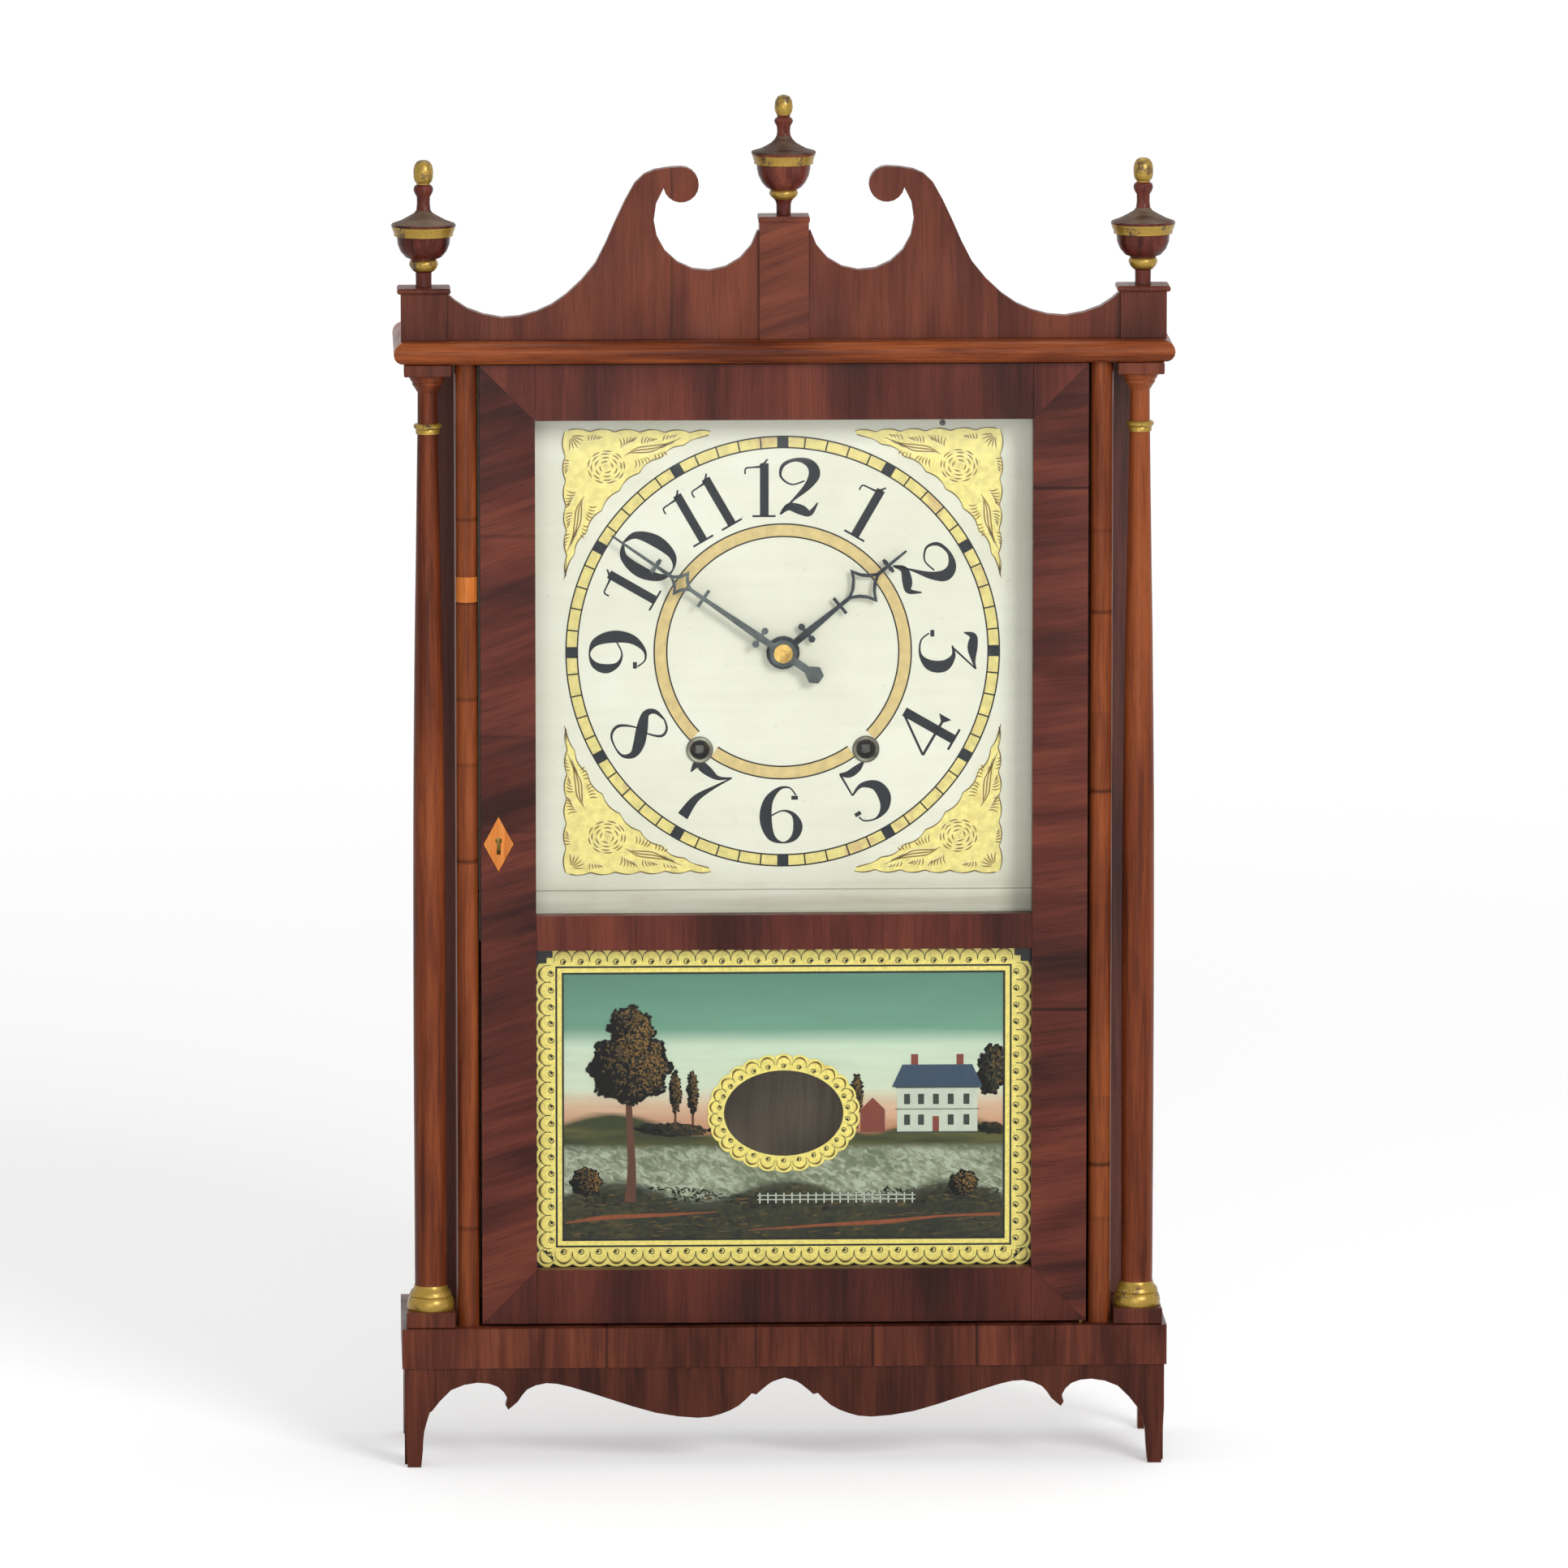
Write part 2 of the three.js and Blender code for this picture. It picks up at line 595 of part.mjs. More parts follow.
function hingeSocket(face, direction) {
  const end = face + direction * (PIN_REACH + RUNNING);
  const mouth = face - direction * OVERRUN;
  return post(PIN_X, PIN_DEPTH, PIN_RADIUS + RUNNING, Math.min(end, mouth), Math.max(end, mouth),
    SMALL_ROUND);
}

function corniceBoard() {
  const radius = (CORNICE_TOP - CORNICE_BOTTOM) / 2;
  const halfWidth = CORNICE_HALF_WIDTH - radius;
  const front = depth(radius - CORNICE_LIP);
  const back = depth(CASE_BACK + OVERRUN);
  const shape = polygon([[-halfWidth, front], [halfWidth, front], [halfWidth, back], [-halfWidth, back]]);
  const geometry = new THREE.ExtrudeGeometry(shape, {
    depth: 0, bevelEnabled: true, bevelThickness: radius, bevelSize: radius, bevelSegments: CORNICE_SEGMENTS,
  });
  geometry.translate(0, 0, CORNICE_BOTTOM + radius);
  const wide = [-CORNICE_HALF_WIDTH - OVERRUN, CORNICE_HALF_WIDTH + OVERRUN];
  const behind = [CASE_BACK, CASE_BACK + OVERRUN + radius + OVERRUN];
  const tall = [CORNICE_BOTTOM - OVERRUN, CORNICE_TOP + OVERRUN];
  const slots = bothSides((name, side) => pulleySlot(side));
  return node('cornice_board', cut(solid(geometry), block(wide, behind, tall), ...slots,
    hingeSocket(CORNICE_BOTTOM, 1)), MAHOGANY);
}

function pulleySlot(side) {
  const x = [PULLEY_X - PULLEY_RADIUS - PULLEY_SLOT_CLEARANCE,
    PULLEY_X + PULLEY_RADIUS + PULLEY_SLOT_CLEARANCE];
  const half = PULLEY_THICKNESS / 2 + PULLEY_SLOT_CLEARANCE;
  const pinHalf = half + PULLEY_PIN_REACH + RUNNING;
  const slot = block(side > 0 ? x : [-x[1], -x[0]], [CORD_DEPTH - half, CORD_DEPTH + half],
    [CORNICE_BOTTOM - OVERRUN, CORNICE_TOP + OVERRUN]);
  const hole = rod(side * PULLEY_X, PULLEY_Z, PULLEY_PIN_RADIUS + RUNNING, CORD_DEPTH - pinHalf,
    CORD_DEPTH + pinHalf, SMALL_ROUND);
  return join(slot, hole);
}

function caseSides() {
  return bothSides((name, side) => {
    const x = side > 0 ? [SIDE_INNER, SIDE_OUTER] : [-SIDE_OUTER, -SIDE_INNER];
    const board = block(x, [SIDE_FRONT, CASE_INSIDE_BACK - SEAT], [BASE_TOP + SEAT, CORNICE_BOTTOM - SEAT]);
    return node(`case_side_${name}`, side > 0 ? board : cut(board, boltMortise()), MAHOGANY);
  });
}

function boltMortise() {
  const half = BOLT_HEIGHT / 2 + RUNNING * 2;
  const front = LOCK_FRONT + LOCK_WALL;
  const back = LOCK_FRONT + LOCK_THICKNESS - LOCK_WALL;
  return block([-SIDE_INNER - MORTISE_DEPTH, -SIDE_INNER + OVERRUN], [front, back],
    [LOCK_CENTRE_Z - half, LOCK_CENTRE_Z + half]);
}

function backBoard() {
  const bottom = BASE_TOP + SEAT;
  const top = CORNICE_BOTTOM - SEAT;
  const board = block([-BACK_BOARD_HALF_WIDTH, BACK_BOARD_HALF_WIDTH], [CASE_INSIDE_BACK, CASE_BACK],
    [bottom, top]);
  const battens = [-BATTEN_OFFSET, BATTEN_OFFSET].map((x) => block(
    [x - BATTEN_WIDTH / 2, x + BATTEN_WIDTH / 2],
    [BATTEN_FRONT, CASE_INSIDE_BACK + BACK_BOARD_THICKNESS / 2],
    [PLATE_BOTTOM, PLATE_TOP],
  ));
  return node('back_board', join(board, ...battens), PINE);
}

function halfColumns() {
  return bothSides((name, side) => {
    const shape = new THREE.Shape();
    shape.absarc(side * SIDE_MIDDLE, depth(SIDE_FRONT - SEAT), HALF_COLUMN_RADIUS, Math.PI, 2 * Math.PI,
      false);
    const bottom = BASE_TOP + SEAT;
    return node(`half_column_${name}`, upright(shape, bottom, CORNICE_BOTTOM - SEAT - bottom), MAHOGANY);
  });
}

// Skirt: one half of the front outline runs from the middle of the arch to the foot.
function bracketPoints(endAt, length, height) {
  const place = ([share, up]) => new THREE.Vector2(endAt - share * length, up * height);
  return [...smooth(bracketShares.map(place)), ...smooth(footShares.map(place))];
}

function frontSkirt() {
  const half = [
    ...smooth(scaled(centreArchShares, SKIRT_HALF_WIDTH, SKIRT_HEIGHT)),
    ...smooth(scaled(apronDropShares, SKIRT_HALF_WIDTH, SKIRT_HEIGHT)),
    ...bracketPoints(SKIRT_HALF_WIDTH, BRACKET_LENGTH, SKIRT_HEIGHT),
    new THREE.Vector2(SKIRT_HALF_WIDTH - FOOT_TAPER, 0),
    new THREE.Vector2(SKIRT_HALF_WIDTH, FOOT_TAPER_HEIGHT),
    new THREE.Vector2(SKIRT_HALF_WIDTH, SKIRT_HEIGHT),
  ];
  const shape = new THREE.Shape([...mirrored(half).slice(0, -1), ...half]);
  return node('front_skirt', panel(shape, SKIRT_SETBACK, SKIRT_THICKNESS), FIGURED);
}

function sideSkirts() {
  const length = CASE_BACK - SKIRT_SETBACK - SKIRT_THICKNESS - SEAT;
  const middle = depth(CASE_BACK - length / 2);
  const half = [
    new THREE.Vector2(0, SIDE_ARCH_HEIGHT),
    ...bracketPoints(length / 2, BRACKET_LENGTH, SKIRT_HEIGHT).slice(bracketShares.length),
    new THREE.Vector2(length / 2, 0),
    new THREE.Vector2(length / 2, SKIRT_HEIGHT),
  ];
  const outline = [...mirrored(half).slice(0, -1), ...half];
  const shape = new THREE.Shape(outline.map((point) => new THREE.Vector2(middle + point.x, point.y)));
  return bothSides((name, side) => {
    const x = side > 0 ? SKIRT_HALF_WIDTH - SKIRT_THICKNESS : -SKIRT_HALF_WIDTH;
    return node(`side_skirt_${name}`, sidePanel(shape, x, SKIRT_THICKNESS), MAHOGANY);
  });
}

// Columns: square plinth, gilt base, swelling shaft, gilt ring, capital and square abacus
function columns() {
  const top = CORNICE_BOTTOM - SEAT - ABACUS_HEIGHT;
  const ringBottom = top - RING_DROP;
  const neckTop = top - CAPITAL_HEIGHT;
  const shaftBottom = BASE_TOP + SEAT + PLINTH_HEIGHT + GILT_BASE_HEIGHT;
  const lift = (points, rise) => points.map((point) => [point.x, point.y + rise]);
  const shaft = shaftShares.map(([up, across]) => [across * SHAFT_RADIUS, up * (ringBottom - shaftBottom)]);
  const profile = [
    ...lift(scaled(giltBaseShares, GILT_BASE_RADIUS, GILT_BASE_HEIGHT), -GILT_BASE_HEIGHT),
    ...shaft,
    ...lift(scaled(ringShares, RING_RADIUS, RING_HEIGHT), ringBottom - shaftBottom),
    [NECK_RADIUS, ringBottom + RING_HEIGHT - shaftBottom],
    [NECK_RADIUS, neckTop - shaftBottom],
    ...lift(scaled(capitalShares, CAPITAL_RADIUS, CAPITAL_HEIGHT), neckTop - shaftBottom).slice(1),
  ];
  return bothSides((name, side) => {
    const x = side * COLUMN_X;
    const turning = turned([...profile, [CAPITAL_RADIUS, top + ABACUS_HEIGHT / 2 - shaftBottom]],
      x, COLUMN_DEPTH, shaftBottom, TURNED_ROUND);
    const core = post(x, COLUMN_DEPTH, NECK_RADIUS, BASE_TOP + PLINTH_HEIGHT / 2, shaftBottom, SMALL_ROUND);
    return node(`column_${name}`, join(turning, core,
      squareBlock(x, COLUMN_DEPTH, PLINTH_SIZE, BASE_TOP + SEAT, PLINTH_HEIGHT),
      squareBlock(x, COLUMN_DEPTH, ABACUS_SIZE, top, ABACUS_HEIGHT)), MAHOGANY);
  });
}

function squareBlock(x, fromFront, size, bottom, height) {
  return block([x - size / 2, x + size / 2], [fromFront - size / 2, fromFront + size / 2],
    [bottom, bottom + height]);
}

// Scroll board: half outline from the centre plinth out to the side plinth
function scrollBoard() {
  const lapHalf = CENTRE_PLINTH_WIDTH / 2 + SEAT;
  const eye = new THREE.Vector2(lapHalf + EYE_RADIUS, SCROLL_HEIGHT - VOLUTE_RADIUS - VOLUTE_RISE);
  const volute = new THREE.Vector2(eye.x + VOLUTE_RUN, eye.y + VOLUTE_RISE);
  const notch = meetingPoint(eye, EYE_RADIUS, volute, VOLUTE_RADIUS, 1);
  const trough = scaled(troughShares, SCROLL_HALF_WIDTH - volute.x, SCROLL_HEIGHT)
    .map((point) => new THREE.Vector2(volute.x + point.x, point.y));
  const half = [
    new THREE.Vector2(0, LAP_HEIGHT),
    new THREE.Vector2(lapHalf, LAP_HEIGHT),
    ...arcPoints(eye, EYE_RADIUS, EYE_START_ANGLE, bearing(eye, notch)),
    ...arcPoints(volute, VOLUTE_RADIUS, 360 + bearing(volute, notch), 90).slice(1, -1),
    ...smooth(trough).reverse(),
    new THREE.Vector2(SCROLL_HALF_WIDTH, 0),
  ];
  const shape = new THREE.Shape([...mirrored(half).slice(0, -1), ...half]);
  const board = panel(shape, SCROLL_FRONT, SCROLL_THICKNESS);
  return node('scroll_board', board.translate([0, 0, CORNICE_TOP + SEAT]), FIGURED);
}

// Points of an arc that runs clockwise or anticlockwise between two bearings in degrees
function arcPoints(centre, radius, from, to) {
  const steps = Math.max(LEAST_ARC_STEPS, Math.round(Math.abs(to - from) / ARC_STEP));
  return Array.from({ length: steps + 1 },
    (_, i) => polar(centre, radius, from + (to - from) * (i / steps)));
}

function finialPlinth(x, width, height, overhang) {
  const bottom = CORNICE_TOP + SEAT;
  const middle = FINIAL_PLINTH_FRONT + FINIAL_PLINTH_DEPTH / 2;
  const body = block([x - width / 2, x + width / 2],
    [FINIAL_PLINTH_FRONT, FINIAL_PLINTH_FRONT + FINIAL_PLINTH_DEPTH],
      [bottom, bottom + height - CAP_HEIGHT]);
  const slices = plinthCapShares.slice(1).map(([out, up], i) => {
    const [lastOut, lastUp] = plinthCapShares[i];
    return slab(x, middle, width, [overhang * lastOut, overhang * out],
      [bottom + height - CAP_HEIGHT * (1 - lastUp), bottom + height - CAP_HEIGHT * (1 - up)]);
  });
  return join(body, ...slices);
}

// One tapering layer of a moulded square cap
function slab(x, fromFront, width, [lowOut, highOut], [low, high]) {
  const geometry = new THREE.BoxGeometry(width, FINIAL_PLINTH_DEPTH, high - low);
  const place = geometry.attributes.position;
  for (let i = 0; i < place.count; i += 1) {
    const out = place.getZ(i) > 0 ? highOut : lowOut;
    place.setX(i, place.getX(i) + Math.sign(place.getX(i)) * out);
    place.setY(i, place.getY(i) + Math.sign(place.getY(i)) * out);
  }
  geometry.translate(x, depth(fromFront), (low + high) / 2);
  return solid(geometry);
}

function finialPlinths() {
  const sides = bothSides((name, side) => node(`finial_plinth_${name}`,
    finialPlinth(side * FINIAL_PLINTH_X, FINIAL_PLINTH_WIDTH, SIDE_PLINTH_HEIGHT, SIDE_CAP_OVERHANG),
      FIGURED));
  const lap = block([-CENTRE_PLINTH_WIDTH, CENTRE_PLINTH_WIDTH],
    [SCROLL_FRONT - SEAT, SCROLL_FRONT + SCROLL_THICKNESS + SEAT],
    [CORNICE_TOP - OVERRUN, CORNICE_TOP + SEAT + LAP_HEIGHT + SEAT]);
  const centre = finialPlinth(0, CENTRE_PLINTH_WIDTH, CENTRE_PLINTH_HEIGHT, CENTRE_CAP_OVERHANG);
  return [...sides, node('finial_plinth_centre', cut(centre, lap), FIGURED)];
}

function finials() {
  const middle = FINIAL_PLINTH_FRONT + FINIAL_PLINTH_DEPTH / 2;
  const places = [
    ['left', -FINIAL_PLINTH_X, SIDE_PLINTH_HEIGHT, sideFinialShares, SIDE_FINIAL_HEIGHT],
    ['centre', 0, CENTRE_PLINTH_HEIGHT, centreFinialShares, CENTRE_FINIAL_HEIGHT],
    ['right', FINIAL_PLINTH_X, SIDE_PLINTH_HEIGHT, sideFinialShares, SIDE_FINIAL_HEIGHT],
  ];
  return places.map(([name, x, plinthHeight, shares, height]) => {
    const points = shares.map(([across, up]) => [across * FINIAL_RADIUS, up * height]);
    return node(`finial_${name}`, turned(points, x, middle, CORNICE_TOP + SEAT + plinthHeight + SEAT,
      TURNED_ROUND), MAHOGANY);
  });
}

// Door

function stile(side) {
  const edge = DOOR_HALF_WIDTH;
  const inner = OPENING_HALF_WIDTH;
  const shape = polygon([
    [side * inner, depth(DOOR_FRONT)], [side * edge, depth(DOOR_FRONT)],
    [side * edge, depth(DOOR_BACK)], [side * (inner + REBATE_WIDTH), depth(DOOR_BACK)],
    [side * (inner + REBATE_WIDTH), depth(REBATE_FRONT)], [side * inner, depth(REBATE_FRONT)],
  ]);
  return upright(shape, DOOR_BOTTOM, DOOR_TOP - DOOR_BOTTOM);
}

function doorStiles() {
  const left = cut(stile(-1), escutcheonPocket(), keyhole(DOOR_BACK + OVERRUN));
  const holes = [[DOOR_BOTTOM, DOOR_BOTTOM + PIN_LENGTH - PIN_REACH],
    [DOOR_TOP - PIN_LENGTH + PIN_REACH, DOOR_TOP]];
  const right = cut(stile(1), ...holes.map(([low, high]) => post(PIN_X, PIN_DEPTH, PIN_RADIUS + SEAT,
    low === DOOR_BOTTOM ? low - OVERRUN : low, low === DOOR_BOTTOM ? high : high + OVERRUN, SMALL_ROUND)));
  return [node('door_stile_left', left, FIGURED), node('door_stile_right', right, FIGURED)];
}

function rail(name, [low, high], [rebateLow, rebateHigh]) {
  const half = OPENING_HALF_WIDTH - SEAT;
  const shape = polygon([
    [depth(DOOR_FRONT), low], [depth(REBATE_FRONT), low], [depth(REBATE_FRONT), low + rebateLow],
    [depth(DOOR_BACK), low + rebateLow], [depth(DOOR_BACK), high - rebateHigh],
    [depth(REBATE_FRONT), high - rebateHigh], [depth(REBATE_FRONT), high], [depth(DOOR_FRONT), high],
  ].filter(([y, z], i, all) => i === 0 || y !== all[i - 1][0] || z !== all[i - 1][1]));
  return node(name, sidePanel(shape, -half, 2 * half), FIGURED);
}

function doorRails() {
  return [
    rail('door_top_rail', [DOOR_TOP - TOP_RAIL_HEIGHT, DOOR_TOP], [REBATE_WIDTH, 0]),
    rail('door_mid_rail', [MID_RAIL_BOTTOM, MID_RAIL_BOTTOM + MID_RAIL_HEIGHT],
      [REBATE_WIDTH, REBATE_WIDTH]),
    rail('door_bottom_rail', [DOOR_BOTTOM, DOOR_BOTTOM + BOTTOM_RAIL_HEIGHT], [0, REBATE_WIDTH]),
  ];
}

function glasses() {
  const half = OPENING_HALF_WIDTH + REBATE_WIDTH - SEAT * 2;
  const lap = REBATE_WIDTH - SEAT * 2;
  const front = REBATE_FRONT + SEAT;
  const pane = (low, high) => block([-half, half], [front, front + GLASS_THICKNESS],
    [low - lap, high + lap]);
  return [
    node('dial_glass', pane(MID_RAIL_BOTTOM + MID_RAIL_HEIGHT, DOOR_TOP - TOP_RAIL_HEIGHT), CLEAR),
    node('tablet_glass', pane(DOOR_BOTTOM + BOTTOM_RAIL_HEIGHT, MID_RAIL_BOTTOM), PAINTED),
  ];
}

function diamond(width, height) {
  return polygon([
    [LOCK_CENTRE_X - width / 2, LOCK_CENTRE_Z], [LOCK_CENTRE_X, LOCK_CENTRE_Z - height / 2],
    [LOCK_CENTRE_X + width / 2, LOCK_CENTRE_Z], [LOCK_CENTRE_X, LOCK_CENTRE_Z + height / 2],
  ]);
}

function escutcheonPocket() {
  const shape = diamond(ESCUTCHEON_WIDTH + SEAT * 3, ESCUTCHEON_HEIGHT + SEAT * 6);
  return panel(shape, DOOR_FRONT - OVERRUN, OVERRUN + ESCUTCHEON_THICKNESS + SEAT);
}

function keyhole(back) {
  const front = DOOR_FRONT - OVERRUN;
  return join(
    rod(LOCK_CENTRE_X, LOCK_CENTRE_Z + KEYHOLE_RADIUS, KEYHOLE_RADIUS, front, back, SMALL_ROUND),
    block([LOCK_CENTRE_X - KEY_SLOT_WIDTH / 2, LOCK_CENTRE_X + KEY_SLOT_WIDTH / 2], [front, back],
      [LOCK_CENTRE_Z + KEYHOLE_RADIUS - KEY_SLOT_LENGTH, LOCK_CENTRE_Z + KEYHOLE_RADIUS]),
  );
}

function escutcheon() {
  const plate = panel(diamond(ESCUTCHEON_WIDTH, ESCUTCHEON_HEIGHT), DOOR_FRONT, ESCUTCHEON_THICKNESS);
  return node('keyhole_escutcheon', cut(plate, keyhole(DOOR_BACK)), SATINWOOD);
}

function lock() {
  const left = -DOOR_HALF_WIDTH + LOCK_WALL;
  const right = left + LOCK_WIDTH;
  const body = block([left, right], [LOCK_FRONT, LOCK_FRONT + LOCK_THICKNESS],
    [LOCK_CENTRE_Z - LOCK_HEIGHT / 2, LOCK_CENTRE_Z + LOCK_HEIGHT / 2]);
  const half = BOLT_HEIGHT / 2;
  const boltFront = LOCK_FRONT + LOCK_WALL + RUNNING;
  const boltBack = LOCK_FRONT + LOCK_THICKNESS - LOCK_WALL - RUNNING;
  const channel = block([left - OVERRUN, left + BOLT_LENGTH + RUNNING],
    [boltFront - RUNNING, boltBack + RUNNING],
    [LOCK_CENTRE_Z - half - RUNNING, LOCK_CENTRE_Z + half + RUNNING]);
  const bolt = block([left - LOCK_WALL, left + BOLT_LENGTH], [boltFront, boltBack],
    [LOCK_CENTRE_Z - half, LOCK_CENTRE_Z + half]);
  return [node('lock_case', cut(body, channel), BRASS), node('lock_bolt', bolt, BRASS)];
}

function hingePins() {
  const lower = BASE_TOP - PIN_REACH;
  const upper = CORNICE_BOTTOM + PIN_REACH - PIN_LENGTH;
  const pin = (bottom) => post(PIN_X, PIN_DEPTH, PIN_RADIUS, bottom, bottom + PIN_LENGTH - SEAT * 2,
    SMALL_ROUND);
  return [node('hinge_pin_lower', pin(lower), BRASS), node('hinge_pin_upper', pin(upper + SEAT * 2), BRASS)];
}

// Wheels and pinions

// A wheel has pointed teeth, with one on the line to the pinion that it drives.
function wheel(centre, teeth, module, towards, front, thickness) {
  const pitchRadius = (teeth * module) / 2;
  const tip = pitchRadius + ADDENDUM_SHARE * module;
  const root = pitchRadius - DEDENDUM_SHARE * module;
  const pitch = 360 / teeth;
  const points = [];
  for (let i = 0; i < teeth; i += 1) {
    const middle = towards + i * pitch;
    points.push(polar(centre, root, middle - ROOT_SHARE * pitch));
    points.push(polar(centre, tip, middle));
    points.push(polar(centre, root, middle + ROOT_SHARE * pitch));
  }
  return panel(new THREE.Shape(points), front, thickness);
}

// A pinion has flat-topped leaves, with a space on the line to its wheel.
function pinion(centre, leaves, module, towards, front, thickness) {
  const pitchRadius = (leaves * module) / 2;
  const tip = pitchRadius + PINION_ADDENDUM_SHARE * module;
  const root = pitchRadius - DEDENDUM_SHARE * module;
  const pitch = 360 / leaves;
  const points = [];
  for (let i = 0; i < leaves; i += 1) {
    const middle = towards + (i + 0.5) * pitch;
    points.push(polar(centre, root, middle - PINION_ROOT_SHARE * pitch));
    points.push(polar(centre, tip, middle - PINION_TIP_SHARE * pitch));
    points.push(polar(centre, tip, middle + PINION_TIP_SHARE * pitch));
    points.push(polar(centre, root, middle + PINION_ROOT_SHARE * pitch));
  }
  return panel(new THREE.Shape(points), front, thickness);
}

function arbor(centre, front, back) {
  return spindle([[PIVOT_RADIUS, front], [PIVOT_RADIUS, FRONT_PLATE_DEPTH + FRONT_PLATE_THICKNESS + SEAT],
    [ARBOR_RADIUS, FRONT_PLATE_DEPTH + FRONT_PLATE_THICKNESS + SEAT],
      [ARBOR_RADIUS, REAR_PLATE_DEPTH - SEAT],
    [PIVOT_RADIUS, REAR_PLATE_DEPTH - SEAT], [PIVOT_RADIUS, back]], centre.x, centre.y, SMALL_ROUND);
}

function fullArbor(centre) {
  return arbor(centre, FRONT_PLATE_DEPTH + FRONT_PLATE_THICKNESS - PIVOT_REACH,
    REAR_PLATE_DEPTH + PIVOT_REACH);
}

// Centre of a wheel that stands at two given distances from two others, on the given side of their line
function meetingPoint(from, fromDistance, to, toDistance, side) {
  const apart = from.distanceTo(to);
  const along = (fromDistance ** 2 - toDistance ** 2 + apart ** 2) / (2 * apart);
  const aside = Math.sqrt(fromDistance ** 2 - along ** 2);
  const run = to.clone().sub(from).normalize();
  return new THREE.Vector2(from.x + run.x * along + side * run.y * aside,
    from.y + run.y * along - side * run.x * aside);
}

const CENTRE = new THREE.Vector2(0, CENTRE_Z);
const DRUM = new THREE.Vector2(DRUM_X, DRUM_Z);
const SECOND = meetingPoint(DRUM, ((GREAT_TEETH + GREAT_PINION) * GREAT_MODULE) / 2,
  CENTRE, CENTRE_TEETH * CENTRE_MODULE, 1);
const THIRD = polar(SECOND, ((SECOND_TEETH + SECOND_PINION) * SECOND_MODULE) / 2, THIRD_ANGLE);
const ESCAPE = polar(THIRD, ((THIRD_TEETH + THIRD_PINION) * THIRD_MODULE) / 2, ESCAPE_ANGLE);
const VERGE = new THREE.Vector2(ESCAPE.x, ESCAPE.y + VERGE_HEIGHT);
const MINUTE_STUD_DISTANCE = ((CANNON_TEETH + MINUTE_WHEEL_TEETH) * CANNON_MODULE) / 2;
const HOUR_MODULE = (2 * MINUTE_STUD_DISTANCE) / (MINUTE_PINION_TEETH + HOUR_WHEEL_TEETH);
const MINUTE_STUD = polar(CENTRE, MINUTE_STUD_DISTANCE, MINUTE_STUD_ANGLE);
const STRIKE_DRUM = new THREE.Vector2(-DRUM.x, DRUM.y);
const PIN_WHEEL = new THREE.Vector2(-SECOND.x, SECOND.y);
const FLY = polar(PIN_WHEEL, ((PIN_WHEEL_TEETH + FLY_PINION) * PIN_WHEEL_MODULE) / 2, 180 - THIRD_ANGLE);
const HAMMER = new THREE.Vector2(HAMMER_X, HAMMER_Z);

// Plates

function plateShape() {
  const shape = new THREE.Shape();
  const [w, low, high, r] = [PLATE_HALF_WIDTH, PLATE_BOTTOM, PLATE_TOP, PLATE_CORNER_SIZE];
  shape.moveTo(-w + r, low);
  shape.lineTo(w - r, low);
  shape.lineTo(w, low + r);
  shape.lineTo(w, high - r);
  shape.lineTo(w - r, high);
  shape.lineTo(-w + r, high);
  shape.lineTo(-w, high - r);
  shape.lineTo(-w, low + r);
  shape.closePath();
  return shape;
}

function pivotHoles(extra) {
  const holes = [SECOND, THIRD, ESCAPE, PIN_WHEEL, FLY, HAMMER].map((centre) => [centre, PIVOT_RADIUS]);
  return [...holes, ...extra].map(([centre, radius]) => [centre, radius + RUNNING]);
}

function drilled(shape, holes) {
  for (const [centre, radius] of holes) {
    const hole = new THREE.Path();
    hole.absarc(centre.x, centre.y, radius, 0, 2 * Math.PI, true);
    shape.holes.push(hole);
  }
  return shape;
}

function plates() {
  const frontShape = drilled(plateShape(), pivotHoles([
    [CENTRE, CENTRE_ARBOR_RADIUS], [VERGE, PIVOT_RADIUS], [DRUM, DRUM_ARBOR_RADIUS],
      [STRIKE_DRUM, DRUM_ARBOR_RADIUS],
  ]));
  const backShape = drilled(plateShape(), pivotHoles([
    [CENTRE, PIVOT_RADIUS], [VERGE, PIVOT_RADIUS], [DRUM, PIVOT_RADIUS], [STRIKE_DRUM, PIVOT_RADIUS],
  ]));
  const studs = join(
    rod(MINUTE_STUD.x, MINUTE_STUD.y, MINUTE_STUD_RADIUS, HOUR_WHEEL_FRONT - SEAT, FRONT_PLATE_DEPTH + SEAT,
      SMALL_ROUND),
    rod(VERGE.x, VERGE.y + STUD_RISE, STUD_RADIUS, STUD_FRONT, FRONT_PLATE_DEPTH + SEAT, SMALL_ROUND),
  );
  const pillars = [-1, 1].flatMap((side) => [
    [side * UPPER_PILLAR_X, UPPER_PILLAR_Z], [side * LOWER_PILLAR_X, LOWER_PILLAR_Z],
  ]).map(([x, z]) => rod(x, z, PILLAR_RADIUS, FRONT_PLATE_DEPTH + FRONT_PLATE_THICKNESS + SEAT,
    REAR_PLATE_DEPTH + SEAT, SMALL_ROUND));
  return [
    node('movement_front_plate',
      join(extruded(frontShape, FRONT_PLATE_DEPTH, FRONT_PLATE_THICKNESS, HOLE_SEGMENTS), studs), OAK),
    node('movement_back_plate',
      join(extruded(backShape, REAR_PLATE_DEPTH, REAR_PLATE_THICKNESS, HOLE_SEGMENTS), ...pillars), OAK),
  ];
}

// Going train

